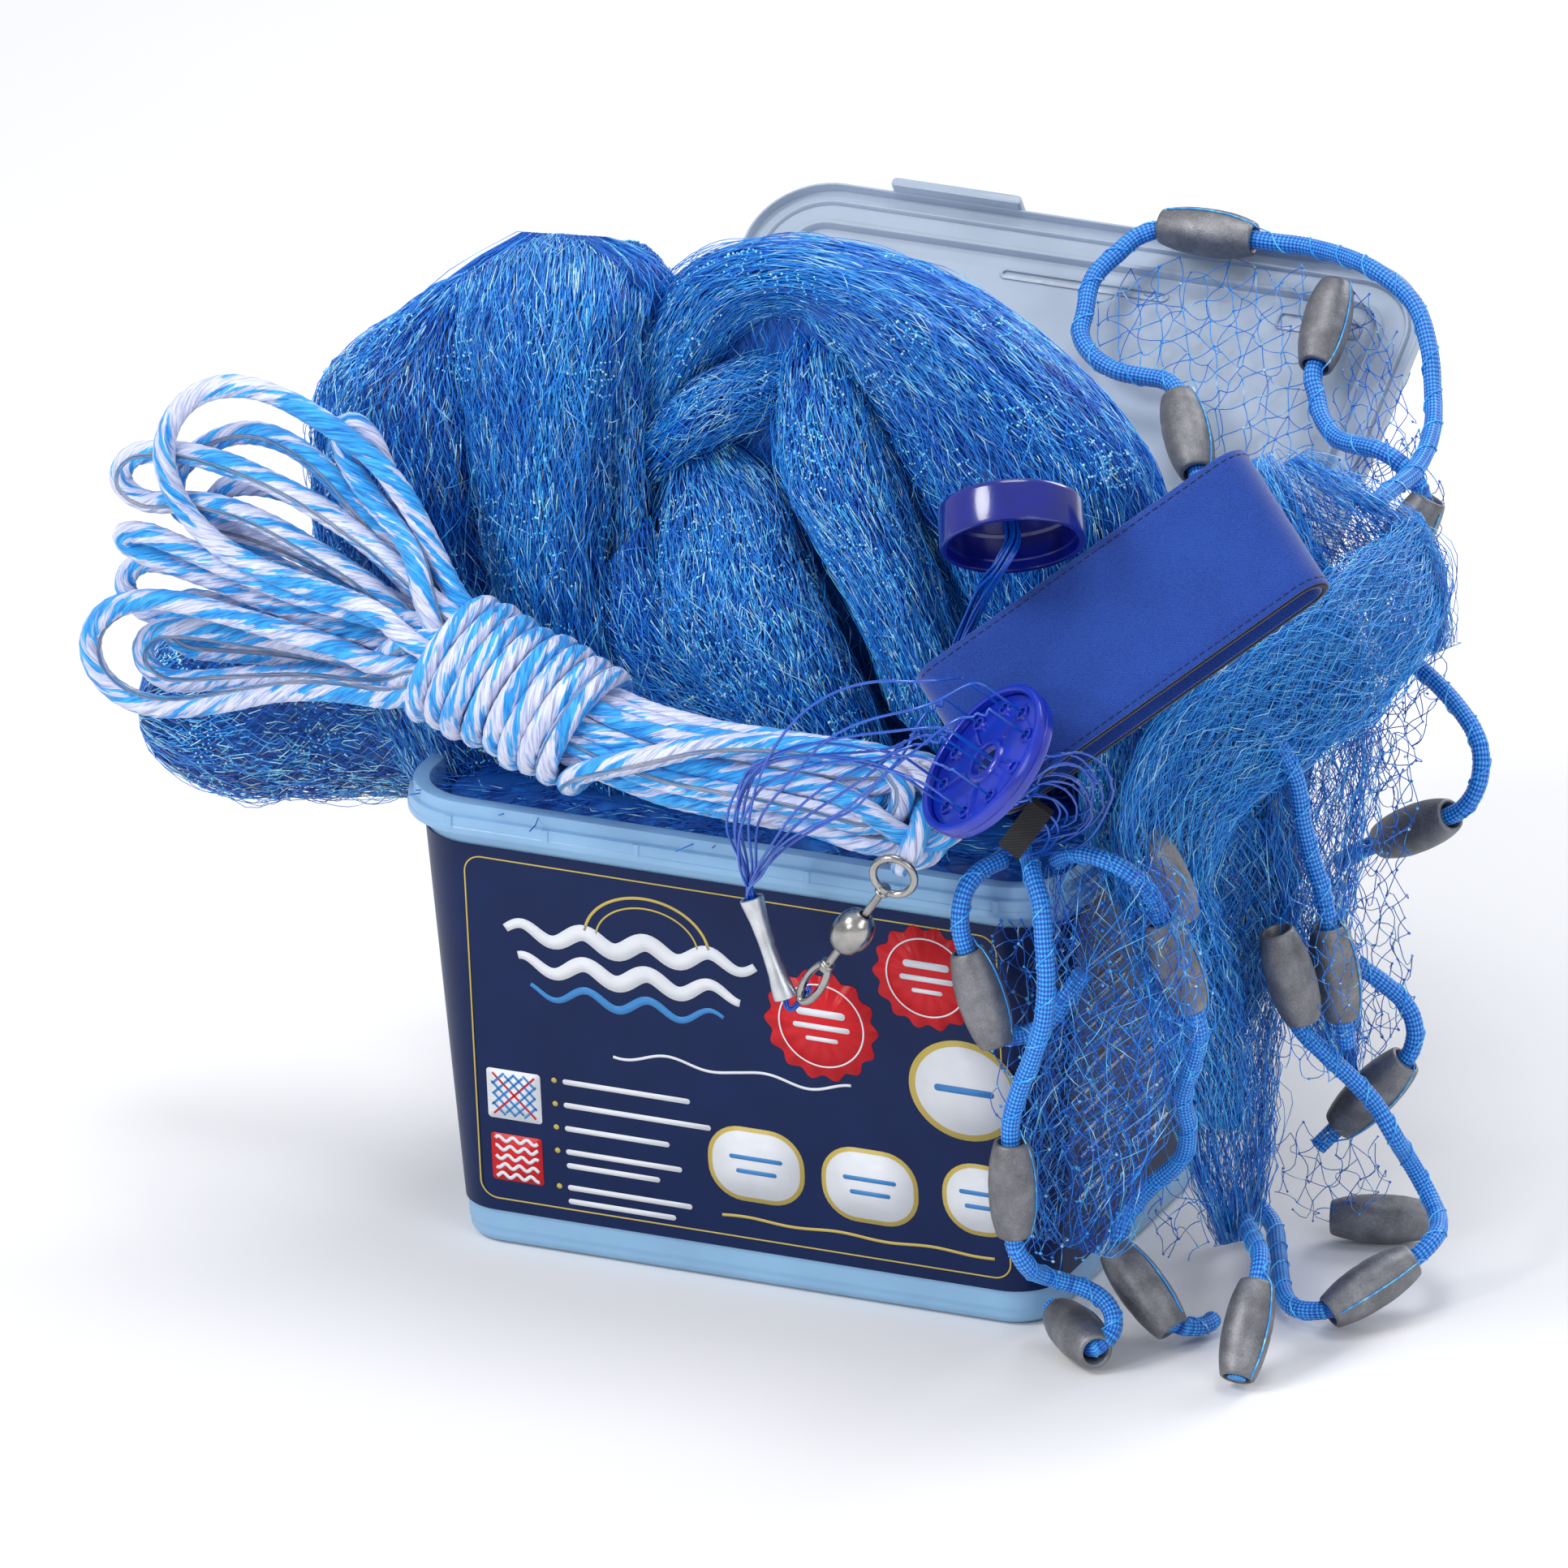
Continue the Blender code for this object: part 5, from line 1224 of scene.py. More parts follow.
def strap():
    """Black webbing from the cuff's lower end down behind the horn to the rim."""
    a = CUFF_C - CX * 52.0 + CZ * (27.0 + 5.4)
    b = at_y(1240, 1046, -98.0)
    path = smooth_path([a, a * 0.66 + b * 0.34 + AXN * 0.8, a * 0.33 + b * 0.67 + AXN * 0.6, b], 0.8)
    tan = unit(np.gradient(path, axis=0))
    w = unit(np.cross(tan, AXN))
    n = np.cross(w, tan)
    ribs = 13
    ring = []
    for i in range(len(path)):
        pts = []
        for k in range(ribs):
            x = -1 + 2 * k / (ribs - 1)
            pts.append(path[i] + w[i] * x * 4.2 + n[i] * (1.1 + 0.16 * math.cos(k * math.pi) * math.cos(i * math.pi)))
        for k in range(ribs):
            x = 1 - 2 * k / (ribs - 1)
            pts.append(path[i] + w[i] * x * 4.2 - n[i] * (1.1 + 0.16 * math.cos(k * math.pi) * math.cos(i * math.pi)))
        ring.append(pts)
    v, q, t = loft_rings(ring)
    s = np.repeat(np.arange(len(path)) * 0.8, 2 * ribs)
    uv = np.stack([s, np.tile(np.arange(2 * ribs) * 0.7, len(path))], -1)
    uv = np.concatenate([uv, [[0, 0]], [[0, 0]]])
    obj = fix_normals(build("strap_webbing", v, [q, t], M_STRAP, uv=uv, sharp=60))
    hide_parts("cuff_strap")


strap()


# ---------------------------------------------------------------- netting
DEEP, MID, LIGHT = arr((0.002, 0.055, 0.42)), arr((0.006, 0.165, 0.74)), arr((0.030, 0.38, 0.97))
# cyan, white and greyish gold: colours of painted highlights (glints) on the netting
CYAN_GLINT, WHITE_GLINT, GREY_GLINT = arr((0.13, 0.62, 1.0)), arr((0.50, 0.86, 1.0)), arr((0.26, 0.34, 0.33))


def net_tint(tone, rng, glint=0.05, white=0.02, grey_glint=0.0):
    """Colour of netting from tone 0-1, with a few points painted as highlights: cyan and white glints, and greyish gold
    ones.
    """
    t = np.clip(tone, 0, 1)[..., None]
    c = np.where(t < 0.5, DEEP + (MID - DEEP) * t * 2, MID + (LIGHT - MID) * (t * 2 - 1))
    r = rng.random(tone.shape)[..., None]
    # painted highlights: a share of points is coloured cyan, white or greyish gold, standing in for glints of light on
    # the monofilament
    c = np.where(r < glint, CYAN_GLINT, c)
    c = np.where(r > 1 - white, WHITE_GLINT, c)
    if grey_glint:
        c = np.where((r > 0.5) & (r < 0.5 + grey_glint), GREY_GLINT, c)
    return c


class Lobe:
    """One folded lobe of gathered netting: a closed tube of flattened section, lofted through
    stations that each give the two edges on the sketch, a depth and the front and back bulge."""

    def __init__(self, stations, seed, fold=2.6, place=at_y, normal=None):
        self.N = unit(AXN if normal is None else normal)
        rows = []
        for st in stations:
            (lu, lv), (ru, rv), y, bf = st[:4]
            bb = st[4] if len(st) > 4 else 0.55 * bf
            crown = st[5] if len(st) > 5 else 0.0
            rows.append(np.concatenate([place(lu, lv, y), place(ru, rv, y), [bf, bb, crown]]))
        d = smooth_path(rows, 1.5)
        c = (d[:, :3] + d[:, 3:6]) / 2
        step = np.maximum(np.linalg.norm(np.diff(c, axis=0), axis=1), 1e-4)
        self.d, self.s = d, np.concatenate([[0], np.cumsum(step)])
        self.length, self.fold = float(self.s[-1]), fold
        self.broad, self.fine, self.turn = noise_fn(seed, 2, 1.0), noise_fn(seed + 1, 3, 1.0), noise_fn(seed + 2, 2, 1.0)
        h = np.linalg.norm(d[:, 3:6] - d[:, :3], axis=1) / 2
        b = d[:, 6]
        a0 = np.maximum(np.percentile(h, 80), 1.0)
        b0 = np.percentile(b, 80)
        self.front = math.pi / 2 * (3 * (a0 + b0) - math.sqrt((3 * a0 + b0) * (a0 + 3 * b0)))

    def at(self, phi, s, out=0.0):
        s = np.clip(s, 0, self.length)
        g = [np.interp(s, self.s, self.d[:, k]) for k in range(9)]
        L, R = np.stack(g[:3], -1), np.stack(g[3:6], -1)
        bf, bb, crown = g[6], g[7], g[8]
        c, h = (L + R) / 2, (R - L) / 2
        hl = np.maximum(np.linalg.norm(h, axis=-1), 0.5)
        cp, sp = np.cos(phi), np.sin(phi)
        b = np.where(sp > 0, bf, bb)
        fold = self.fold * (self.broad(2.1 * cp + 0.3, 2.1 * sp, s * 0.012) + 0.55 * self.fine(4.6 * cp, 4.6 * sp, s * 0.022)
                            + 0.30 * self.turn(11 * cp, 11 * sp, s * 0.05))
        fold = fold * np.clip(hl / 14.0, 0.15, 1.0)
        n = unit(h / hl[..., None] * (cp * np.maximum(b, 1.0))[..., None] + self.N * (sp * hl)[..., None])
        return c + h * cp[..., None] + self.N * (b * sp)[..., None] + AXU * (crown * (1 - cp * cp))[..., None] + n * (np.asarray(out) + fold)[..., None]

    def core(self, name, mat, out=-1.6, segs=64, step=4.0):
        n = max(int(self.length / step), 3)
        s = np.linspace(0, self.length, n + 1)
        phi = np.arange(segs) * 2 * math.pi / segs
        P, S = np.meshgrid(phi, s)
        rings = self.at(P, S, np.full(P.shape, out))
        v, q, t = loft_rings(rings)
        per = self.front * 2 / segs
        uv = np.stack([np.tile(np.arange(segs) * per, n + 1), np.repeat(s, segs)], -1)
        uv = np.concatenate([uv, [[0, 0], [0, self.length]]])
        obj = build(name, v, [q, t], mat, uv=uv)
        return obj

    def strands(self, batch, seed, spacing=2.0, layers=6, pitch=5.0, arc=(-0.35, math.pi + 0.35), radius=0.21, lift=(-1.2, 1.8),
                span=(0.0, 1.0), bright=0.0, mids=0, glint=0.07, white=0.035, wild=1.0, wander=0.12, grey_glint=0.0, rows_show=0.16):
        rng = np.random.default_rng(seed)
        width = arc[1] - arc[0]
        m = max(int(self.front / math.pi * width / spacing), 3)
        dphi = width / m
        s0, s1 = span[0] * self.length, span[1] * self.length
        rows = max(int((s1 - s0) / pitch), 2)
        k = mids + 1
        n = rows * k + 1
        for layer in range(layers):
            w1, w2, w3 = noise_fn(seed * 7 + layer, 2, 1.0), noise_fn(seed * 7 + layer + 500, 2, 1.0), noise_fn(seed * 7 + layer + 900, 3, 1.0)
            i = np.arange(m)[:, None]
            j = np.arange(n)[None, :] / k
            row = np.floor(j + 1e-6)
            frac = j - row
            par = lambda r: np.where((i + r) % 2 == 0, 1.0, -1.0)
            zig = (par(row) * (1 - frac) + par(row + 1) * frac) * 0.5 * (0.72 + 0.2 * rng.random((m, n)))
            base_phi = arc[0] + (i + 0.5 + rng.uniform(-0.5, 0.5)) * dphi
            s = s0 + (j + rng.uniform(-0.5, 0.5) * 0.9) * (s1 - s0) / rows
            s = s + pitch * 0.34 * w1(2.0 * np.cos(base_phi) + layer, 2.0 * np.sin(base_phi), s * 0.03)
            phi = base_phi + zig * dphi + wander * w2(1.7 * np.cos(base_phi), 1.7 * np.sin(base_phi), s * 0.028)
            phi = phi + dphi * 0.16 * rng.normal(0, 1, (m, n)) * wild
            t = layer / max(layers - 1, 1)
            out = lift[0] + (lift[1] - lift[0]) * t + 0.7 * w3(phi * 3.0, s * 0.06, layer) + rng.normal(0, 0.28 * wild, (m, n))
            s = np.clip(s + rng.normal(0, 0.5 * wild, (m, n)), s0, s1)
            path = self.at(phi, s, out)
            patchy = np.clip(w2(phi * 0.9 + 4, s * 0.03, 1.7), 0, 1)
            broad = self.turn(1.9 * np.cos(base_phi) + 5, 1.9 * np.sin(base_phi), s * 0.021)
            # painted shade with depth: the tone rises by 0.14 from the inner layer to the outer one, so deeper strands
            # are darker; net_tint then adds painted highlights
            tone = 0.42 + bright + 0.14 * t + 0.30 * broad + 0.14 * w3(phi * 1.3, s * 0.02, layer * 0.7) + rng.normal(0, 0.15, (m, 1)) + rng.normal(0, 0.12, (m, n))
            tone = tone + rows_show * patchy * np.where((np.round(j).astype(int) + layer) % 2 == 0, 1.0, -0.7)
            col = net_tint(tone, rng, glint, white, grey_glint)
            put(batch, tubes(path, radius * rng.uniform(0.85, 1.15, m), 3, col, twist=rng.uniform(0, 2)))

    def rows(self, batch, seed, count, spacing=1.6, arc=(0.2, math.pi - 0.2), lift=2.5, width=(9, 30)):
        """Short rows of knots drawn close together, which run across the flow."""
        rng = np.random.default_rng(seed)
        per = self.front / math.pi
        pts = []
        for _ in range(count):
            s0, p0, w = rng.uniform(0.08, 0.92) * self.length, rng.uniform(*arc), rng.uniform(*width)
            for r in range(int(rng.integers(2, 6))):
                k = int(w / spacing)
                x = (np.arange(k) - k / 2) * spacing + rng.normal(0, 0.25, k)
                s = s0 + r * 4.4 + 0.05 * x + rng.normal(0, 0.35, k) + 1.2 * np.sin(x * 0.25 + r)
                keep = rng.random(k) < 0.8
                pts.append(self.at(p0 + x[keep] / per, s[keep], np.full(keep.sum(), lift) + rng.normal(0, 0.3, keep.sum())))
        pts = np.concatenate(pts)
        # painted highlights: the knots are light blue with most of them coloured cyan or white, as glints
        put(batch, knots(pts, 0.50 * rng.uniform(0.7, 1.25, len(pts)), net_tint(np.full(len(pts), 0.95), rng, 0.45, 0.35)))

    def bars(self, batch, seed, count, arc=(0.12, math.pi - 0.12), lift=(1.2, 2.8), length=(2.4, 6.5), size=(5, 15), radius=0.17, tilt=0.35, white=0.35, per_patch=(12, 34)):
        """Patches of short straight mesh sides coloured white, cyan and light blue: painted highlights that stand in
        for glints catching the light together.
        """
        rng = np.random.default_rng(seed)
        per = max(self.front / math.pi, 1.0)
        PH, SS, OUT, W = [], [], [], []
        for _ in range(count):
            k = int(rng.integers(*per_patch))
            s0, p0 = rng.uniform(0.03, 0.97) * self.length, rng.uniform(*arc)
            turn = rng.normal(0, tilt)
            r1, r2 = rng.uniform(*size), rng.uniform(*size) * 0.7
            a, c = rng.normal(0, r1, k), rng.normal(0, r2, k)
            th = turn + rng.normal(0, 0.16, k)
            L = rng.uniform(*length, k)
            t = arr([-0.5, 0.0, 0.5])[None, :]
            SS.append(s0 + a[:, None] + L[:, None] * t * np.cos(th)[:, None])
            PH.append(p0 + (c[:, None] + L[:, None] * t * np.sin(th)[:, None]) / per)
            OUT.append(np.repeat(rng.uniform(*lift, (k, 1)), 3, 1))
            W.append(np.repeat((rng.random((k, 1)) < white * rng.uniform(0.3, 1.6)), 3, 1))
        S, PHI, OUT, W = map(np.concatenate, (SS, PH, OUT, W))
        path = self.at(PHI, S, OUT)
        # painted highlight colours: white, cyan and light blue glints
        col = np.where(W[..., None], WHITE_GLINT, np.where(rng.random(W.shape)[..., None] < 0.5, CYAN_GLINT, LIGHT))
        put(batch, tubes(path, radius * rng.uniform(0.8, 1.25, len(path)), 3, col))

    def wisps(self, batch, seed, count, reach=(12, 40), radius=0.15, arc=(0.1, math.pi - 0.1), lift=(1.5, 5.0), bright=0.15, glint=0.12, white=0.06, span=(0.05, 0.95)):
        """Loose strands that stand off the folds."""
        rng = np.random.default_rng(seed)
        n = 9
        s0 = rng.uniform(span[0], span[1], count) * self.length
        ln = rng.uniform(*reach, count)
        phi0 = rng.uniform(arc[0], arc[1], count)
        t = np.linspace(0, 1, n)[None, :]
        s = s0[:, None] + ln[:, None] * (t - 0.5)
        per = np.maximum(self.front / math.pi, 1.0)
        phi = phi0[:, None] + (rng.normal(0, 13.0, (count, 1)) * (t - 0.5) + rng.normal(0, 3.0, (count, 1)) * np.sin(t * math.pi) + rng.normal(0, 1.6, (count, 1)) * np.sin(t * 2 * math.pi)) / per
        out = rng.uniform(*lift, (count, 1)) * np.sin(t * math.pi) ** 0.7 + 0.6
        path = self.at(phi, s, out)
        tone = 0.5 + bright + rng.normal(0, 0.15, (count, n))
        put(batch, tubes(path, radius, 3, net_tint(tone, rng, glint, white), taper=True))


def P(a, b, y, bf, bb=None, crown=None):
    bb = 0.55 * bf if bb is None else bb
    return (a, b, y, bf, bb) if crown is None else (a, b, y, bf, bb, crown)


LOBES = {
    "main_left": Lobe([P((640, 420), (750, 420), 26, 4, 4, 4), P((604, 376), (784, 384), 34, 7, 7, 12), P((590, 352), (796, 354), 18, 10, 10, 16), P((578, 352), (797, 366), 4, 28, 16, 12), P((572, 366), (794, 388), -2, 46, 25, 4), P((562, 410), (790, 446), -4, 54), P((560, 480), (778, 530), -8, 56),
                       P((570, 570), (765, 620), -12, 52), P((590, 660), (755, 700), -18, 46), P((605, 740), (770, 790), -24, 38), P((600, 830), (800, 870), -30, 30),
                       P((600, 930), (840, 950), -36, 24), P((612, 1000), (860, 1020), -40, 18)], 11, 3.0),
    "left_shoulder": Lobe([P((600, 350), (640, 330), 24, 6, 6), P((566, 342), (612, 326), 12, 12, 8), P((500, 388), (592, 372), 6, 26), P((440, 432), (600, 452), 0, 36), P((404, 470), (612, 540), -6, 42), P((392, 560), (622, 620), -12, 42),
                           P((396, 660), (628, 700), -16, 38), P((430, 770), (642, 780), -22, 32), P((470, 880), (652, 870), -28, 26), P((520, 970), (680, 960), -34, 18)], 21, 3.0),
    "second_fold": Lobe([P((756, 410), (816, 420), 24, 4, 4, 3), P((742, 360), (830, 376), 36, 6, 6, 8), P((736, 332), (832, 354), 22, 9, 9, 11), P((738, 345), (828, 372), 16, 18, 12, 6), P((740, 400), (818, 400), 8, 28), P((745, 470), (806, 480), 0, 32), P((745, 560), (800, 570), -8, 32),
                         P((740, 650), (802, 660), -14, 28), P((735, 740), (800, 745), -20, 22), P((740, 840), (850, 860), -28, 20)], 31, 2.4),
    "arch": Lobe([P((778, 600), (815, 578), -5, 18), P((785, 500), (848, 505), 0, 26), P((812, 415), (893, 440), 0, 30), P((852, 350), (940, 402), 2, 34), P((930, 316), (985, 402), 4, 40),
                  P((1040, 318), (1010, 430), 6, 48), P((1150, 350), (1045, 490), 6, 56), P((1250, 412), (1085, 560), 4, 60), P((1335, 488), (1120, 640), 2, 62), P((1395, 568), (1150, 720), 0, 62),
                  P((1425, 660), (1170, 800), -2, 58), P((1430, 760), (1185, 880), -6, 52), P((1420, 880), (1190, 960), -10, 44)], 41, 3.2),
    "inner_fold": Lobe([P((985, 398), (1060, 440), 0, 20), P((972, 460), (1090, 520), -6, 34), P((965, 530), (1120, 600), -10, 42), P((970, 600), (1150, 680), -14, 46),
                        P((1000, 660), (1180, 760), -18, 46), P((1040, 730), (1200, 840), -22, 42), P((1080, 810), (1210, 920), -26, 36), P((1100, 880), (1215, 990), -30, 28)], 51, 2.8),
    "band": Lobe([P((785, 545), (800, 602), -20, 10), P((830, 505), (850, 565), -24, 14), P((880, 470), (905, 535), -22, 14), P((930, 450), (955, 515), -16, 13), P((985, 438), (1005, 500), -8, 12),
                  P((1030, 446), (1045, 510), 6, 8)], 61, 1.8),
    "fan": Lobe([P((820, 570), (905, 545), -14, 14), P((805, 640), (960, 600), -16, 26), P((795, 700), (990, 670), -20, 34), P((795, 770), (1020, 740), -26, 38), P((830, 840), (1050, 810), -30, 38),
                 P((880, 900), (1080, 880), -34, 32), P((930, 960), (1110, 950), -38, 24)], 71, 2.6),
    "cross_fold": Lobe([P((690, 760), (800, 640), -30, 14), P((730, 830), (820, 730), -34, 18), P((800, 890), (870, 810), -38, 18), P((880, 930), (950, 870), -42, 18),
                        P((960, 960), (1030, 910), -46, 16), P((1060, 990), (1110, 940), -50, 12)], 81, 2.2),
    "low_left": Lobe([P((620, 800), (640, 990), -10, 20, 20), P((540, 770), (560, 972), -10, 28, 26), P((440, 745), (470, 962), -8, 32, 34), P((340, 742), (370, 966), -6, 32, 36), P((260, 757), (290, 968), -6, 28, 32),
                      P((206, 790), (226, 948), -6, 22, 24), P((177, 835), (182, 915), -6, 12, 14), P((168, 868), (170, 890), -6, 4, 4)], 91, 2.6),
}
right_plane = lambda u, v, y: on_plane(u, v, (126.0 + y, -80.0, 0), (1, -0.2, 0))
LOBES["right_drape"] = Lobe([P((1420, 690), (1540, 676), 2, 9, 12), P((1370, 780), (1592, 770), 0, 12, 18), P((1340, 880), (1604, 880), 0, 13, 20), P((1325, 970), (1600, 980), 0, 13, 20),
                             P((1345, 1060), (1590, 1070), 0, 12, 18), P((1392, 1140), (1566, 1150), 0, 9, 12), P((1428, 1210), (1548, 1222), 0, 6, 7), P((1464, 1272), (1524, 1276), 0, 3, 3)], 111, 2.2, place=right_plane)
# the heap behind the front folds, down into the tub
LOBES["heap_centre"] = Lobe([P((960, 324), (1100, 332), 12, 10, 12), P((880, 352), (1180, 366), 10, 26, 32), P((842, 400), (1256, 420), 8, 34, 48), P((812, 500), (1348, 505), 6, 36, 58),
                             P((796, 600), (1404, 590), 4, 34, 62), P((786, 700), (1424, 690), 2, 30, 62), P((784, 800), (1424, 800), 0, 28, 62), P((800, 900), (1404, 900), 4, 26, 60),
                             P((830, 980), (1370, 980), 8, 22, 56), P((860, 1060), (1330, 1060), 14, 18, 50)], 121, 3.0)
LOBES["heap_left"] = Lobe([P((650, 290), (740, 296), 10, 8, 10), P((580, 330), (800, 320), 8, 22, 30), P((490, 405), (842, 380), 6, 30, 44), P((408, 475), (850, 480), 4, 32, 54),
                           P((394, 570), (850, 580), 2, 32, 58), P((396, 680), (850, 680), 0, 30, 58), P((420, 790), (860, 790), -2, 26, 56), P((462, 890), (880, 890), 2, 22, 52),
                           P((512, 962), (890, 972), 8, 20, 46), P((552, 1004), (870, 1020), 12, 12, 34), P((640, 1030), (820, 1044), 16, 5, 14)], 131, 3.0)

LOOK = {
    "main_left": dict(spacing=2.1, layers=6, bright=0.16, grey_glint=0.02, glint=0.09, white=0.045),
    "left_shoulder": dict(spacing=2.2, layers=5, bright=0.02, grey_glint=0.06),
    "second_fold": dict(spacing=2.2, layers=5, bright=0.08, grey_glint=0.09),
    "arch": dict(spacing=2.1, layers=6, bright=0.10, glint=0.09, white=0.045, patches=60),
    "inner_fold": dict(spacing=2.0, layers=6, bright=-0.04),
    "band": dict(spacing=1.8, layers=7, bright=0.10, glint=0.07, white=0.03),
    "fan": dict(spacing=2.0, layers=6, bright=-0.02),
    "cross_fold": dict(spacing=1.9, layers=6, bright=-0.02),
    "low_left": dict(spacing=3.6, layers=5, pitch=4.6, bright=-0.22, arc=(-0.5, 2 * math.pi - 0.5), grey_glint=0.10, wild=0.8),
    "right_drape": dict(spacing=2.4, layers=6, bright=0.40, patches=60, arc=(-0.6, math.pi + 0.6), glint=0.10, white=0.04),
}
DENSITY = 1.0
for n, (name, lobe) in enumerate(LOBES.items()):
    lobe.core("net_" + name + "_core", M_CORE, out=-2.0 if name in LOOK else -1.5)
    look = dict(LOOK.get(name, {}))
    batch = Batch()
    if name in LOOK:
        look["spacing"] *= DENSITY
        lobe.strands(batch, 300 + n, **{k: v for k, v in look.items() if k != "patches"})
        lobe.wisps(batch, 700 + n, int(lobe.front * 3.2), arc=look.get("arc", (0.1, math.pi - 0.1)))
        lobe.rows(batch, 760 + n, int(lobe.front / 6))
        lobe.bars(batch, 790 + n, int(look.get("patches", lobe.front / 2.2)))
        if name not in ("low_left", "band"):
            lobe.strands(batch, 400 + n, spacing=5.0, layers=1, arc=(math.pi + 0.3, 2 * math.pi - 0.3), lift=(0.0, 0.3))
    else:
        lobe.strands(batch, 300 + n, spacing=3.4 * DENSITY, layers=3, pitch=6.0, arc=(math.pi - 0.4, 2 * math.pi + 0.4), lift=(-0.8, 1.4), bright=-0.04)
        lobe.strands(batch, 340 + n, spacing=4.2 * DENSITY, layers=3, pitch=6.5, lift=(-0.8, 1.0), bright=-0.10)
        lobe.wisps(batch, 720 + n, 120)
        lobe.wisps(batch, 700 + n, 40, arc=(math.pi, 2 * math.pi))
    obj = batch.make("net_" + name + "_strands", M_NET)
    print("net", name, len(obj.data.polygons))


def in_tub():
    rng = np.random.default_rng(5)
    rings = []
    wob = noise_fn(77, 3, 0.05)
    for z, inset in ((2.6, 9.0), (4.5, 5.5), (9.0, 3.2), (30.0, 2.6), (60.0, 2.6), (95.0, 2.6), (125.0, 2.6), (146.0, 3.0), (156.0, 6.0), (160.0, 14.0)):
        r = arr(rrect(*wall_at(min(z, 150.0), WALL + inset), z, 20))
        k = unit(r * [1, 1, 0])
        rings.append(r + k * (1.6 * wob(r[:, 0], r[:, 1], z) - 0.8)[:, None])
    v, q, t = loft_rings(rings)
    uv = np.concatenate([np.stack([np.tile(np.arange(84) * 8.0, 10), np.repeat([r[0][2] for r in rings], 84)], -1), [[0, 0], [0, 160]]])
    obj = fix_normals(build("net_in_tub_core", v, [q, t], M_CORE, uv=uv))
    # gathered strands over the top of the bunch, up to the wall all round
    b = Batch()
    m, n = 900, 9
    x0, y0 = rng.uniform(-108, 108, (m, 1)), rng.uniform(-74, 74, (m, 1))
    th = rng.normal(0.25, 0.5, (m, 1))
    ln = rng.uniform(18, 46, (m, 1))
    t_ = np.linspace(-0.5, 0.5, n)[None, :]
    x = x0 + ln * t_ * np.cos(th) + rng.normal(0, 0.5, (m, n))
    y = y0 + ln * t_ * np.sin(th) + rng.normal(0, 1.6, (m, 1)) * np.sin(t_ * 9) + rng.normal(0, 0.5, (m, n))
    hx, hy = wall_at(150.0, WALL + 3.6)[:2]
    x, y = np.clip(x, -hx + 12, hx - 12), np.clip(y, -hy + 13, 30.0)
    cr = 24.0
    qx, qy = np.maximum(np.abs(x) - (hx - 12 - cr), 0), np.maximum(np.abs(y) - (hy - 13 - cr), 0)
    far = np.hypot(qx, qy)
    pull = np.where(far > cr, cr / np.maximum(far, 1e-6), 1.0)
    x = np.sign(x) * (np.abs(x) - qx + qx * pull)
    y = np.sign(y) * (np.abs(y) - qy + qy * pull)
    edge = cr - np.minimum(far, cr)
    z = 158.4 + rng.uniform(0.3, 2.6, (m, 1)) + 0.6 * np.sin(x * 0.2 + y0) - 5.0 * np.clip(1 - edge / 13.0, 0, 1) ** 1.5
    tone = 0.30 + rng.normal(0, 0.14, (m, 1)) + rng.normal(0, 0.12, (m, n))
    put(b, tubes(np.stack([x, y, z], -1), 0.24, 3, net_tint(tone, rng, 0.06, 0.03)))
    b.make("net_in_tub_strands", M_NET)
    return obj


tub_core = in_tub()
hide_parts("net_in_tub")
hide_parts("net_heap_centre")
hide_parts("net_heap_left")
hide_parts("net_lobe_left")
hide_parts("net_drape_right")


# ---------------------------------------------------------------- open netting
def inside(poly, u, v):
    poly = arr(poly)
    x0, y0 = poly[:, 0], poly[:, 1]
    x1, y1 = np.roll(x0, -1), np.roll(y0, -1)
    u, v = arr(u)[..., None], arr(v)[..., None]
    cross = (y0 > v) != (y1 > v)
    xi = x0 + (v - y0) / np.where(np.abs(y1 - y0) < 1e-9, 1e-9, y1 - y0) * (x1 - x0)
    return (np.sum(cross & (u < xi), -1) % 2) == 1


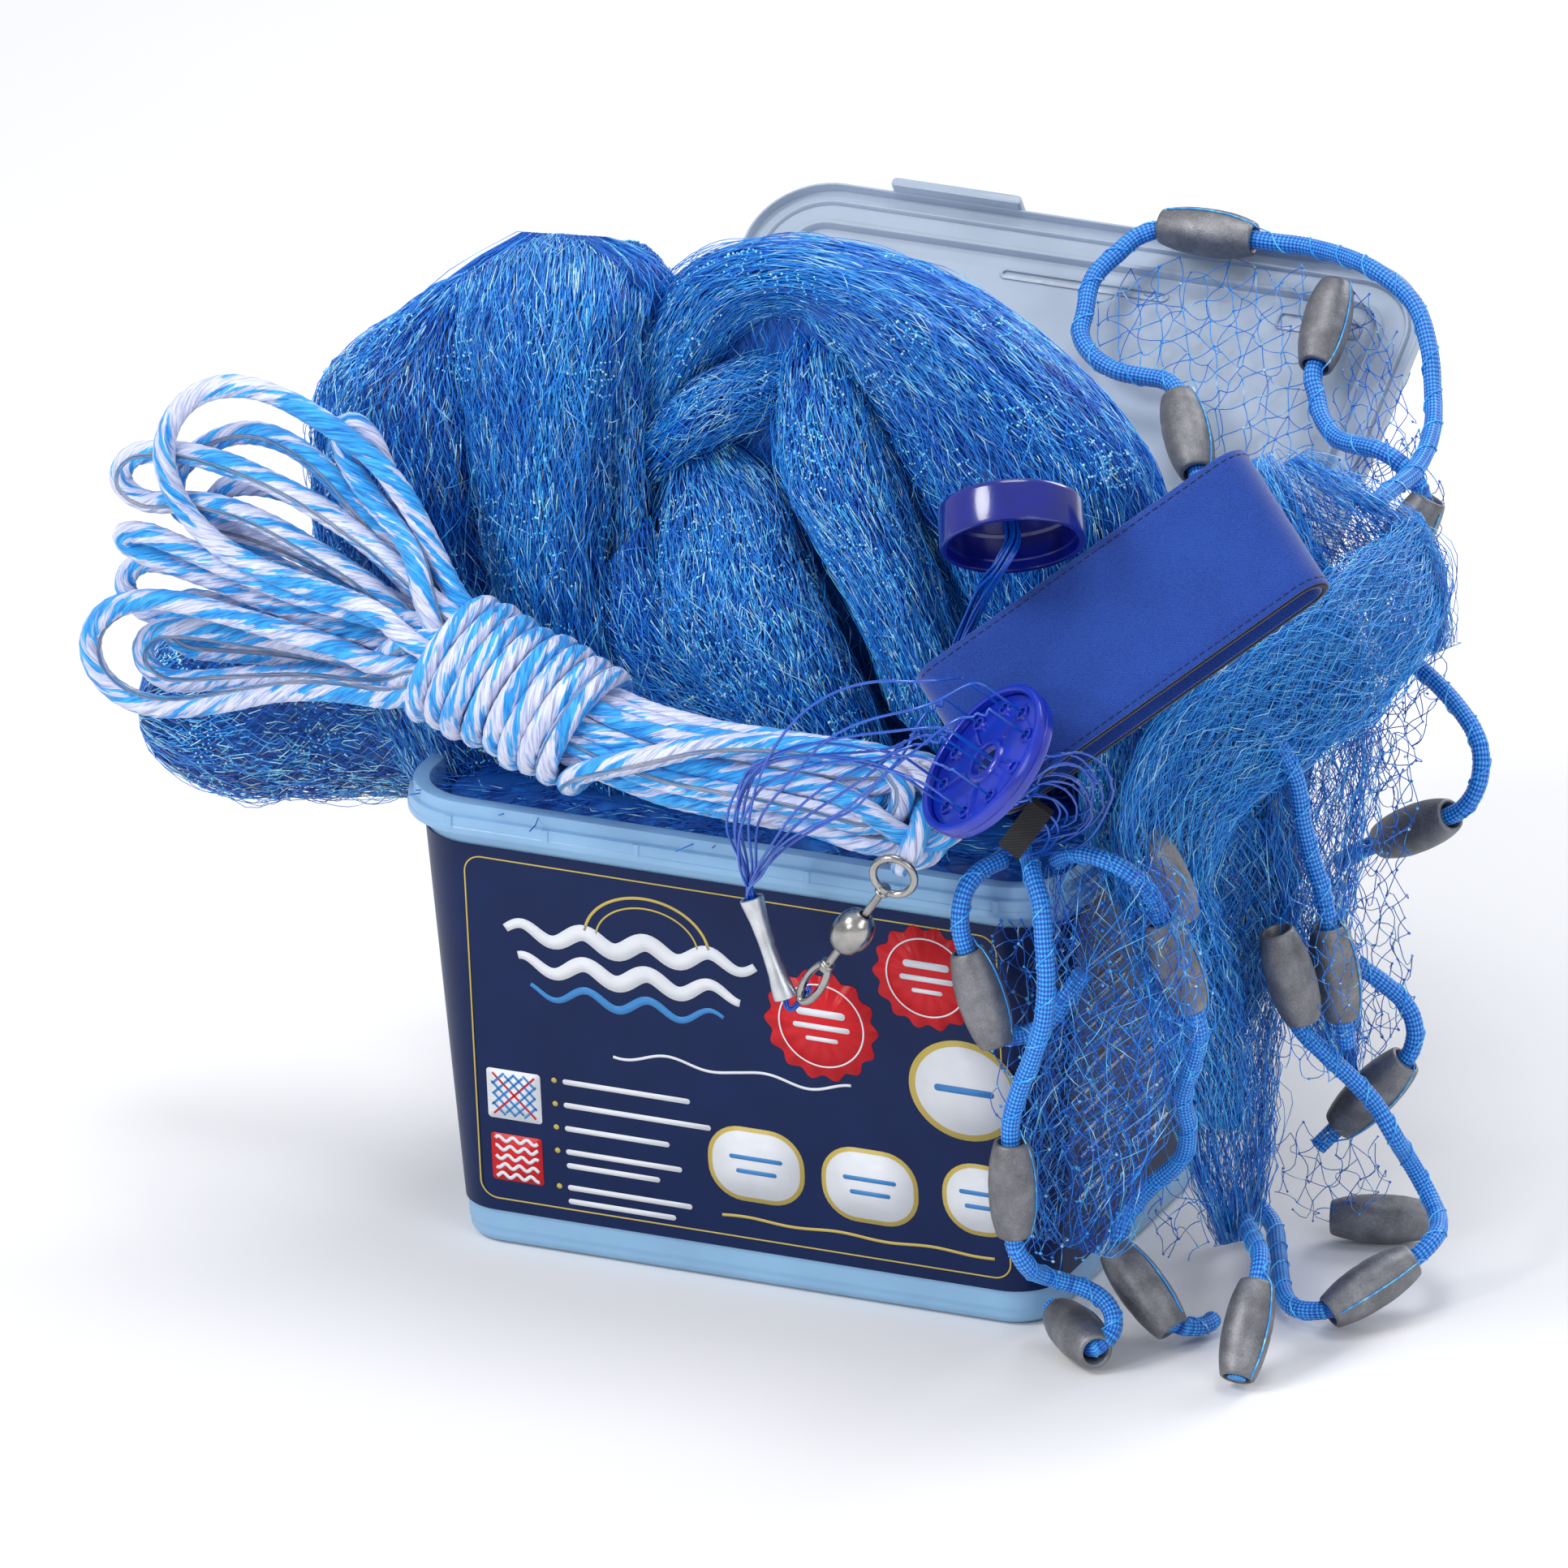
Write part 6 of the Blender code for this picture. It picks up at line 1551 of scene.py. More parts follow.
def open_net(batch, poly, place, seed, pitch=24.0, squash=1.0, angle=0.0, warp=9.0, out=(0.0, 0.0), radius=0.20, knot=0.62, tone=0.5, slack=0.10, rough=0.8,
             glint=0.03, white=0.02, grey_glint=0.0, drop=0.0, knot_tone=0.2, pull=None):
    """Diamond mesh over a region of the sketch.  pitch: half diagonal of one mesh in sketch units;
    squash stretches it along the pull; warp and slack distort it; pull(u, v) may gather it."""
    rng = np.random.default_rng(seed)
    w1, w2, w3 = noise_fn(seed, 3, 0.011), noise_fn(seed + 1, 3, 0.011), noise_fn(seed + 2, 3, 0.02)
    poly = arr(poly)
    c = poly.mean(0)
    reach = np.max(np.linalg.norm(poly - c, axis=1)) * 1.5
    a, b = pitch / math.sqrt(squash), pitch * math.sqrt(squash)
    ni, nj = int(reach / a) + 2, int(reach / b) + 2
    I, J = np.meshgrid(np.arange(-ni, ni + 1), np.arange(-nj, nj + 1), indexing="ij")
    ca, sa = math.cos(angle), math.sin(angle)
    x, y = I * a + rng.uniform(-0.5, 0.5) * a, J * b + rng.uniform(-0.5, 0.5) * b
    U, V = c[0] + x * ca - y * sa, c[1] + x * sa + y * ca
    U, V = U + warp * w1(U, V), V + warp * w2(U, V)
    U, V = U + rng.normal(0, pitch * 0.07 * rough, U.shape), V + rng.normal(0, pitch * 0.07 * rough, U.shape)
    if pull is not None:
        U, V = pull(U, V)
    ok = ((I + J) % 2 == 0) & inside(poly, U, V)
    O = out[0] + (out[1] - out[0]) * (0.5 + 0.5 * w3(U, V)) + rng.normal(0, 0.25, U.shape)
    pts = place(U, V) + AXN * O[..., None]
    ends = []
    for di in (1, -1):
        i0 = slice(0, -1) if di == 1 else slice(1, None)
        i1 = slice(1, None) if di == 1 else slice(0, -1)
        m = ok[i0, :-1] & ok[i1, 1:]
        ends.append((pts[i0, :-1][m], pts[i1, 1:][m]))
    A, B = np.concatenate([e[0] for e in ends]), np.concatenate([e[1] for e in ends])
    keep = rng.random(len(A)) >= drop
    A, B = A[keep], B[keep]
    n = 5
    t = np.linspace(0, 1, n)[None, :, None]
    path = A[:, None] * (1 - t) + B[:, None] * t
    ln = np.linalg.norm(B - A, axis=1)
    bow = rng.normal(0, 1, (len(A), 3)) * (slack * ln)[:, None]
    bow[:, 2] -= np.abs(rng.normal(0, 0.7, len(A))) * slack * ln
    path = path + bow[:, None] * np.sin(t * math.pi)
    tn = tone + rng.normal(0, 0.12, (len(A), 1)) + rng.normal(0, 0.06, (len(A), n))
    put(batch, tubes(path, radius, 3, net_tint(tn, rng, glint, white, grey_glint)))
    K = pts[ok]
    # knot colour: tone raised by knot_tone, with a share of knots painted as cyan and white highlights
    put(batch, knots(K + rng.normal(0, 0.05, K.shape), knot * rng.uniform(0.8, 1.2, len(K)), net_tint(np.full(len(K), tone + knot_tone), rng, 0.25, 0.08)))


def threads(batch, ends, seed, radius=0.17, count=1, spread=0.0, sag=0.0, n=14, tone=0.5, glint=0.05, white=0.03, curl=2.0):
    """Loose single threads through a few points each."""
    rng = np.random.default_rng(seed)
    for pts in ends:
        for _ in range(count):
            q = [arr(p) + rng.normal(0, spread, 3) for p in pts]
            q = smooth_path(q, 2.0)
            q = resample(q, count=n)
            t = np.linspace(0, 1, n + 1)[:, None]
            q = q + rng.normal(0, curl, 3) * np.sin(t * math.pi * 2) + rng.normal(0, curl * 0.5, 3) * np.sin(t * math.pi * 3)
            q[:, 2] -= sag * np.sin(t[:, 0] * math.pi)
            put(batch, tubes(q[None], radius, 3, net_tint(tone + rng.normal(0, 0.1, (1, n + 1)), rng, glint, white), taper=True))


def lid_net():
    b = Batch()
    lid = lambda h: (lambda u, v: on_lid(u, v, h))
    fan = [(1352, 432), (1345, 395), (1362, 345), (1395, 312), (1440, 300), (1560, 312), (1640, 330), (1652, 372), (1618, 440), (1628, 520), (1640, 600), (1590, 600), (1490, 590), (1440, 505), (1405, 468)]
    open_net(b, fan, lid(4.6), 1, pitch=21, squash=1.5, angle=0.5, warp=16, out=(0, 3.0), radius=0.19, knot=0.6, tone=0.75, slack=0.09)
    open_net(b, fan, lid(4.2), 2, pitch=25, squash=1.2, angle=-0.35, warp=20, out=(0, 5.0), radius=0.17, knot=0.5, tone=0.55, slack=0.14, drop=0.12)
    right = [(1600, 330), (1680, 345), (1722, 395), (1745, 470), (1740, 560), (1700, 600), (1650, 590), (1640, 500), (1660, 430), (1640, 350)]
    open_net(b, right, lid(5.0), 3, pitch=17, squash=1.9, angle=0.2, warp=14, out=(0, 5.0), radius=0.19, knot=0.55, tone=0.45, slack=0.12)
    open_net(b, right, lid(5.6), 4, pitch=20, squash=1.5, angle=-0.2, warp=18, out=(0, 7.0), radius=0.17, knot=0.5, tone=0.3, slack=0.16, drop=0.15, grey_glint=0.05)
    obj = b.make("net_on_lid_mesh", M_NET)
    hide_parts("net_on_lid")
    print("lid net", len(obj.data.polygons))


def right_curtain():
    b = Batch()
    y = lambda d: (lambda u, v: at_y(u, v, d))
    poly = [(1650, 560), (1700, 545), (1752, 520), (1775, 580), (1784, 680), (1790, 780), (1782, 860), (1745, 925), (1700, 985), (1655, 960), (1640, 860), (1650, 740), (1652, 620)]
    for k, (pitch, squash, ang, d, tone) in enumerate(((20, 1.5, 0.12, 163, 0.4), (17, 2.2, -0.15, 160, 0.5), (22, 1.3, 0.5, 166, 0.25), (15, 2.4, 0.3, 157, 0.35))):
        open_net(b, poly, y(d), 20 + k, pitch=pitch, squash=squash, angle=ang, warp=18, out=(-2, 2), radius=0.19, knot=0.55, tone=tone, slack=0.16, drop=0.06 * k, grey_glint=0.06)
    obj = b.make("net_curtain_right_mesh", M_NET)
    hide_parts("net_curtain_right")
    print("curtain", len(obj.data.polygons))


def skirt_right():
    b = Batch()
    pl = lambda d: (lambda u, v: on_plane(u, v, (d, 0, 0), (1, -0.2, 0)))
    poly = [(1586, 880), (1640, 900), (1700, 890), (1744, 930), (1756, 990), (1730, 1080), (1740, 1180), (1752, 1260), (1700, 1300), (1640, 1300), (1590, 1250), (1570, 1150), (1566, 1020)]
    for k, (pitch, squash, ang, d, tone) in enumerate(((21, 1.6, 0.15, 154.5, 0.4), (17, 2.2, -0.25, 152.5, 0.3), (24, 1.3, 0.6, 156.0, 0.5))):
        open_net(b, poly, pl(d), 40 + k, pitch=pitch, squash=squash, angle=ang, warp=18, out=(-1.5, 1.5), radius=0.19, knot=0.6, tone=tone, slack=0.15, drop=0.05 * k, grey_glint=0.08)
    obj = b.make("net_skirt_right_mesh", M_NET)
    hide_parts("net_skirt_right")
    print("skirt", len(obj.data.polygons))


def front_curtain():
    b = Batch()
    y = lambda d: (lambda u, v: at_y(u, v, d))
    poly = [(1212, 1150), (1250, 1110), (1310, 1100), (1420, 1110), (1440, 1200), (1440, 1330), (1400, 1440), (1352, 1540), (1300, 1562), (1228, 1546), (1222, 1350)]
    for k, (pitch, squash, ang, d, tone) in enumerate(((21, 1.5, 0.1, -84.4, 0.25), (18, 2.0, -0.2, -86.5, 0.15), (25, 1.2, 0.45, -88.0, 0.4))):
        open_net(b, poly, y(d), 60 + k, pitch=pitch, squash=squash, angle=ang, warp=16, out=(0, 2.5), radius=0.19, knot=0.75, tone=tone, slack=0.13, drop=0.05 * k, knot_tone=0.5, grey_glint=0.04)
    obj = b.make("net_front_curtain_mesh", M_NET)
    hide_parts("net_front_curtain")
    print("front curtain", len(obj.data.polygons))


lid_net()
right_curtain()
skirt_right()
front_curtain()

TANGLE = {
    "tangle_upper": Lobe([P((1500, 620), (1600, 560), 100, 10, 6), P((1530, 700), (1660, 600), 96, 14, 8), P((1560, 760), (1720, 640), 100, 14, 8), P((1600, 800), (1770, 700), 108, 10, 6), P((1660, 850), (1780, 800), 116, 6, 4)], 141, 3.5),
    "tangle_middle": Lobe([P((1420, 620), (1560, 560), 84, 16, 10), P((1440, 700), (1600, 640), 78, 20, 12), P((1480, 800), (1640, 720), 76, 20, 12), P((1540, 880), (1660, 800), 78, 14, 10), P((1590, 960), (1660, 900), 84, 8, 6)], 151, 3.5),
}
TANGLE["fall_lower"] = Lobe([(a, b_, y, f, g) for a, b_, y, f, g in (((1360, 1000), (1600, 1010), 12, 7, 5), ((1372, 1090), (1594, 1100), 12, 7, 5), ((1402, 1190), (1572, 1200), 9, 8, 6), ((1424, 1290), (1560, 1300), 7, 8, 6), ((1450, 1380), (1556, 1380), 7, 7, 5),
                              ((1466, 1436), (1552, 1430), 8, 6, 4), ((1484, 1486), (1548, 1476), 10, 4, 3), ((1504, 1530), (1536, 1524), 12, 2, 2))], 161, 3.0, place=right_plane)
TANGLE["fall_side"] = Lobe([(a, b_, y, f, g) for a, b_, y, f, g in (((1612, 770), (1650, 762), 8, 4, 3), ((1584, 830), (1672, 812), 11, 6, 5), ((1566, 900), (1682, 880), 13, 7, 5), ((1562, 980), (1678, 962), 14, 6, 5), ((1570, 1070), (1664, 1060), 15, 6, 5),
                              ((1588, 1160), (1650, 1160), 16, 5, 4), ((1612, 1250), (1664, 1262), 16, 3, 3), ((1640, 1320), (1668, 1330), 16, 2, 2))], 171, 3.0, place=right_plane)
TANGLE["fall_front"] = Lobe([P((1292, 1064), (1420, 1052), -90, 5, 3), P((1290, 1120), (1446, 1112), -91, 6, 4), P((1288, 1200), (1448, 1200), -91, 6, 4), P((1284, 1300), (1436, 1320), -89, 5, 3), P((1272, 1420), (1402, 1440), -87, 4, 2),
                             P((1270, 1520), (1350, 1540), -85, 3, 2)], 181, 1.6)
TANGLE["sweep_right"] = Lobe([(a, b_, y, f, g) for a, b_, y, f, g in (((1752, 640), (1776, 690), -4, 3, 2), ((1716, 668), (1768, 770), 10, 5, 4), ((1640, 716), (1700, 868), 17, 7, 5), ((1556, 776), (1616, 930), 19, 8, 6), ((1478, 836), (1546, 978), 19, 8, 6),
                               ((1412, 904), (1500, 1030), 18, 8, 6), ((1378, 985), (1482, 1080), 17, 7, 5), ((1376, 1066), (1490, 1124), 15, 6, 5), ((1394, 1150), (1508, 1176), 13, 5, 4), ((1414, 1236), (1520, 1250), 11, 5, 4), ((1440, 1320), (1530, 1326), 10, 4, 3), ((1466, 1386), (1528, 1390), 10, 2, 2))], 191, 2.4, place=right_plane)
OPEN_LOOK = {
    "fall_lower": dict(spacing=5.6, layers=6, pitch=6.2, lift=(-4, 3), radius=0.18, wild=1.4, bright=0.10, white=0.06, grey_glint=0.05),
    "fall_side": dict(spacing=4.6, layers=5, pitch=6.0, lift=(-4, 4), radius=0.18, wild=1.9, wander=0.25, bright=0.12, grey_glint=0.05),
    "fall_front": dict(spacing=6.2, layers=3, pitch=7.4, lift=(-1, 3), radius=0.18, wild=1.0, bright=-0.06, white=0.05),
    "sweep_right": dict(spacing=3.0, layers=6, pitch=6.0, lift=(-3, 3), radius=0.18, wild=1.5, wander=0.2, bright=0.42, glint=0.12, white=0.07),
}
for k, (name, lobe) in enumerate(TANGLE.items()):
    b = Batch()
    look = OPEN_LOOK.get(name, dict(spacing=3.2, layers=6, pitch=5.5, lift=(-3, 3), radius=0.18, wild=2.2, wander=0.3, bright=0.20, glint=0.10, white=0.05, grey_glint=0.05))
    lobe.strands(b, 900 + k, arc=(-0.5, 2 * math.pi - 0.5), **look)
    lobe.wisps(b, 950 + k, 170, reach=(18, 60), arc=(0, 2 * math.pi), lift=(2, 8))
    if name == "tangle_middle":
        core = lobe.core("net_behind_heap_core", M_CORE, out=-6.0)
        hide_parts("net_behind_heap")
    obj = b.make("net_" + name + "_strands", M_NET)
    print("tangle", name, len(obj.data.polygons))


def over_weights():
    """Thin netting that lies over the weights at the right."""
    b = Batch()
    side = [(1548, 1096), (1600, 1076), (1664, 1090), (1680, 1180), (1668, 1290), (1626, 1340), (1566, 1310), (1544, 1200)]
    for k, (pitch, squash, ang, y) in enumerate(((17, 2.0, 0.1, -14.0), (20, 1.6, -0.3, -17.0))):
        open_net(b, side, lambda u, v, y=y: at_y(u, v, y), 120 + k, pitch=pitch, squash=squash, angle=ang, warp=12, out=(-1.5, 1.5), radius=0.17, knot=0.5, tone=0.6, slack=0.14, drop=0.1, grey_glint=0.06)
    corner = [(1380, 1060), (1440, 1046), (1500, 1120), (1500, 1240), (1470, 1300), (1420, 1290), (1396, 1180)]
    for k, (pitch, squash, ang, y) in enumerate(((18, 1.8, 0.2, -99.0), (21, 1.5, -0.3, -97.0))):
        open_net(b, corner, lambda u, v, y=y: at_y(u, v, y), 130 + k, pitch=pitch, squash=squash, angle=ang, warp=12, out=(-1.5, 1.5), radius=0.17, knot=0.5, tone=0.6, slack=0.14, drop=0.1, grey_glint=0.06)
    b.make("net_over_weights_mesh", M_NET)


over_weights()


def floor_net():
    """Loose netting that hangs between the floor runs of the lead line."""
    b = Batch()
    back = [(1546, 1400), (1600, 1376), (1690, 1392), (1728, 1440), (1712, 1492), (1640, 1512), (1576, 1494)]
    for k, (pitch, squash, ang, y) in enumerate(((19, 1.5, 0.3, 26), (22, 1.3, -0.3, 30))):
        open_net(b, back, lambda u, v, y=y: at_y(u, v, y), 80 + k, pitch=pitch, squash=squash, angle=ang, warp=14, out=(-1.5, 1.5), radius=0.17, knot=0.5, tone=0.25, slack=0.18, drop=0.1, grey_glint=0.25)
    front = [(1404, 1470), (1440, 1430), (1500, 1440), (1500, 1530), (1446, 1560), (1410, 1540)]
    for k, (pitch, squash, ang, y) in enumerate(((20, 1.5, 0.2, -42), (24, 1.3, -0.4, -46))):
        open_net(b, front, lambda u, v, y=y: at_y(u, v, y), 90 + k, pitch=pitch, squash=squash, angle=ang, warp=14, out=(-1.5, 1.5), radius=0.17, knot=0.5, tone=0.3, slack=0.18, drop=0.1, grey_glint=0.12)
    b.make("net_floor_mesh", M_NET)


floor_net()


# ---------------------------------------------------------------- lead line
LEAD_LINE = 6.0


def through(key, reverse=False, start=-0.68, end=0.68):
    c, d = WEIGHTS[key]
    pts = [c + unit(d) * k * WEIGHT_L for k in (start, -0.3, 0.3, end)]
    return pts[::-1] if reverse else pts


LEAD_LINE_RUNS = {
    "lead_line_top": through("03", True)
    + [on_lid(u, v, 14.0) for u, v in ((1416, 463), (1378, 455), (1348, 436), (1333, 410), (1338, 385), (1350, 338), (1388, 300))]
    + through("01")
    + [on_lid(1620, 302, 15.0), at_y(1700, 334, 204.0), at_y(1744, 374, 198.0), at_y(1762, 430, 188.0), at_y(1766, 482, 178.0), at_y(1766, 520, 166.0),
       at_y(1756, 556, 150.0), at_y(1738, 584, 134.0), at_y(1712, 604, 118.0), at_y(1690, 622, 104.0)],
    "lead_line_lid_side": through("02", start=-0.52)
    + [on_lid(1622, 480, 14.5), on_lid(1630, 515, 13.5), on_lid(1652, 542, 16.0), at_y(1706, 556, 150.0), at_y(1755, 580, 147.0)]
    + through("04")
    + [at_y(1692, 748, 132.0), at_y(1716, 800, 122.0), at_y(1752, 827, 116.0), at_y(1790, 866, 110.0), at_y(1817, 906, 104.0),
       at_y(1836, 950, 98.0), at_y(1828, 980, 95.0)]
    + through("05")
    + [at_y(1650, 1064, 106.0)],
    "lead_line_front_left": [at_y(1232, 1058, -84.0), at_y(1206, 1071, -92.0), at_y(1186, 1092, -99.0), at_y(1180, 1118, -102.0)]
    + through("06")
    + [at_y(1254, 1312, -98.0), at_y(1280, 1290, -94.0), at_y(1303, 1234, -92.0), at_y(1330, 1195, -90.0)],
    "lead_line_front_mid": [at_y(1264, 1052, -84.5), at_y(1268, 1078, -98.0), at_y(1277, 1110, -103.0), at_y(1281, 1154, -106.5), at_y(1284, 1205, -108.5),
                            at_y(1280, 1256, -109.0), at_y(1268, 1297, -107.5), at_y(1252, 1338, -106.0)]
    + through("07")
    + [at_y(1262, 1554, -103.0), at_z(1290, 1570, 24.0), at_z(1335, 1581, 24.0), at_z(1372, 1588, 24.0), at_z(1398, 1604, 18.0),
       at_z(1400, 1646, 9.0), at_z(1391, 1668, 8.4), at_z(1376, 1672, 8.4)]
    + through("08", True, end=0.6),
    "lead_line_corner": [at_y(1298, 1058, -86.0), at_y(1330, 1044, -96.0), at_y(1366, 1048, -100.0), at_y(1396, 1070, -96.0)]
    + through("14")
    + [at_y(1470, 1280, -76.0), at_y(1462, 1310, -72.0), at_y(1452, 1348, -66.0), at_y(1459, 1389, -58.0), at_y(1450, 1424, -52.0),
       at_y(1420, 1452, -50.0), at_y(1396, 1474, -50.0), at_z(1378, 1504, 38.0)]
    + through("09", end=0.6)
    + [at_z(1452, 1655, 4.4), at_z(1474, 1644, 4.2), at_z(1490, 1620, 5.0)],
    "lead_line_floor": through("10", True, start=-0.68, end=0.5)
    + [at_z(1540, 1524, 30.0), at_z(1526, 1488, 20.0), at_z(1532, 1462, 12.0), at_z(1554, 1466, 7.0),
       at_z(1568, 1500, 5.0), at_z(1573, 1552, 5.0), at_z(1580, 1596, 5.0), at_z(1600, 1622, 5.0)]
    + through("11")
    + [at_z(1758, 1530, 24.0), at_z(1768, 1505, 24.0), at_z(1760, 1470, 26.0), at_z(1740, 1437, 30.0), at_y(1714, 1399, 6.0),
       at_y(1688, 1356, 6.0), at_y(1660, 1326, 4.0), at_y(1628, 1296, 0.0), at_y(1600, 1268, -4.0), at_y(1580, 1236, -6.0)],
    "lead_line_side": [at_y(1540, 880, -6.0), at_y(1566, 914, -3.0), at_y(1590, 960, 0.0), at_y(1599, 1011, 1.0), at_y(1609, 1052, 2.0), at_y(1622, 1093, 2.0)]
    + through("17")
    + [at_y(1654, 1284, 6.0)],
    "lead_line_back": [at_y(1668, 1188, 44.0), at_y(1692, 1203, 46.0), at_y(1728, 1234, 50.0), at_y(1748, 1262, 50.0), at_y(1748, 1284, 50.0)]
    + through("13")
    + [at_y(1622, 1412, 40.0)],
}
M_TIE = net_material("tie_thread", 0.4, 0.1)


def weave(T, S):
    return 1.0 + 0.085 * np.sin(6 * T + S * 2.05) * np.sin(6 * T - S * 2.05) - 0.02


def weight_radius(along):
    h = WEIGHT_L / 2
    return 5.3 + 2.7 * (1 - min(abs(along) / h, 1.0) ** 2.3)


def lead_lines():
    ties = Batch()
    for k, (name, route) in enumerate(LEAD_LINE_RUNS.items()):
        path = smooth_path(route, 0.72)
        held = np.zeros(len(path), bool)
        for c, d in WEIGHTS.values():
            rel = path - c
            al = rel @ unit(d)
            held |= (np.linalg.norm(rel - al[:, None] * unit(d), axis=1) < 1.2) & (np.abs(al) < WEIGHT_L / 2 - 2.0)
        path = ease(path, 11.0, held, rounds=260, window=4, floor=3.3)
        v, q, t, uv = rope(path, LEAD_LINE / 2, 22, weave)
        obj = build(name + "_rope", v, [q, t], M_LEADLINE, uv=uv)
        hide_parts(name)
        # the tying thread: a slow spiral on the cord that runs straight along each weight
        tan, a, b = rail_frames(path)
        s = np.concatenate([[0], np.cumsum(np.linalg.norm(np.diff(path, axis=0), axis=1))])
        turn = s / 15.0 * 2 * math.pi + k
        side = a * np.cos(turn)[:, None] + b * np.sin(turn)[:, None]
        rad = np.full(len(path), LEAD_LINE / 2 + 0.28)
        for c, d in WEIGHTS.values():
            rel = path - c
            al = rel @ unit(d)
            near = (np.linalg.norm(rel - al[:, None] * unit(d), axis=1) < 1.2) & (np.abs(al) < WEIGHT_L / 2 + 1.5)
            if near.sum() > 20:
                idx = np.where(near)[0]
                lo, hi = idx[0], idx[-1]
                w = unit(0.80 * AXR + 0.25 * AXU + 0.52 * AXN - unit(d) * np.dot(unit(d), 0.80 * AXR + 0.25 * AXU + 0.52 * AXN))
                blend = np.clip(np.minimum(np.arange(len(path)) - (lo - 9), (hi + 9) - np.arange(len(path))) / 9.0, 0, 1)[:, None]
                side = unit(side * (1 - blend) + w * blend)
                r2 = np.array([weight_radius(x) + 0.28 for x in al])
                rad = np.where(near, np.maximum(rad, r2), rad)
        ker = np.ones(5) / 5
        rad = np.convolve(np.pad(rad, 2, mode="edge"), ker, mode="valid")
        thread = path + side * rad[:, None]
        # the thread is light blue with a share of points painted as cyan and white highlights
        put(ties, tubes(thread[None, ::2], 0.27, 5, net_tint(np.full((1, len(thread[::2])), 0.95), np.random.default_rng(k), 0.3, 0.02)))
    ties.make("lead_line_tie_thread", M_TIE)


lead_lines()

# ---------------------------------------------------------------- hand line hank
HAND = 7.6
HANK_A, HANK_B = at_y(552, 806, -93.0), at_y(772, 922, -99.0)
HD = unit(HANK_B - HANK_A)
ACROSS = unit(np.cross(AXN, HD))
FACE = np.cross(HD, ACROSS)
if ACROSS @ AXU < 0:
    ACROSS = -ACROSS
if FACE @ AXN < 0:
    FACE = -FACE


def waist_slots(n, pitch=6.0):
    pts = []
    for k in range(-4, 5):
        for j in range(-5, 6):
            pts.append(((j + 0.5 * (k % 2)) * pitch, k * pitch * 0.866))
    pts.sort(key=lambda p: p[0] ** 2 + p[1] ** 2)
    return arr(pts[:n])


# left fan: sketch points of each loop from its upper run round the tip to its lower run, with depths
FAN = [
    ([(521, 642), (480, 578), (440, 545), (397, 517), (352, 490), (310, 474), (264, 475), (222, 500), (203, 541), (207, 587), (231, 637), (273, 679), (337, 711), (411, 734), (475, 756)], -80, -91),
    ([(521, 652), (484, 600), (464, 545), (446, 497), (424, 480), (402, 497), (414, 536), (441, 592), (475, 633), (519, 676)], -72, -80),
    ([(500, 688), (440, 622), (398, 570), (355, 540), (310, 527), (268, 540), (225, 575), (196, 610), (190, 634), (215, 648), (262, 645), (330, 662), (410, 700), (490, 745)], -74, -70),
    ([(495, 700), (401, 630), (310, 582), (241, 562), (186, 556), (142, 563), (121, 584), (120, 608), (142, 624), (180, 626), (240, 618), (300, 628), (370, 668), (470, 730)], -84, -80),
    ([(480, 690), (410, 632), (350, 600), (290, 592), (252, 606), (236, 634), (258, 662), (320, 690), (400, 725), (480, 765)], -66, -66),
    ([(470, 765), (380, 735), (300, 706), (218, 670), (160, 646), (124, 637), (112, 656), (130, 676), (172, 680), (240, 704), (320, 736), (400, 765), (480, 790)], -88, -78),
    ([(480, 778), (400, 752), (320, 726), (240, 700), (180, 686), (140, 690), (122, 712), (130, 738), (165, 750), (230, 758), (320, 780), (410, 800), (490, 815)], -70, -68),
    ([(480, 788), (410, 776), (330, 758), (260, 742), (206, 738), (176, 756), (176, 784), (205, 800), (265, 803), (340, 805), (420, 815), (490, 828)], -66, -70),
    ([(470, 812), (400, 792), (330, 772), (264, 752), (200, 735), (152, 738), (116, 760), (103, 792), (113, 830), (143, 860), (195, 877), (250, 872), (320, 856), (400, 848), (470, 855)], -88, -86),
    ([(480, 822), (410, 804), (340, 790), (264, 778), (200, 768), (158, 780), (143, 808), (160, 832), (205, 845), (265, 838), (330, 834), (410, 834), (480, 842)], -76, -76),
]
N_LOOPS = len(FAN)
# right bunch: centre, across and thickness reach, as in the CAD
RIGHT = [(HANK_B + HD * 2.0, 16.0, 15.0), (at_y(860, 950, -100.0), 17.0, 15.0), (at_y(960, 965, -100.0), 17.0, 13.5), (at_y(1060, 985, -99.0), 17.0, 11.5), (at_y(1130, 1003, -98.0), 15.5, 9.5)]


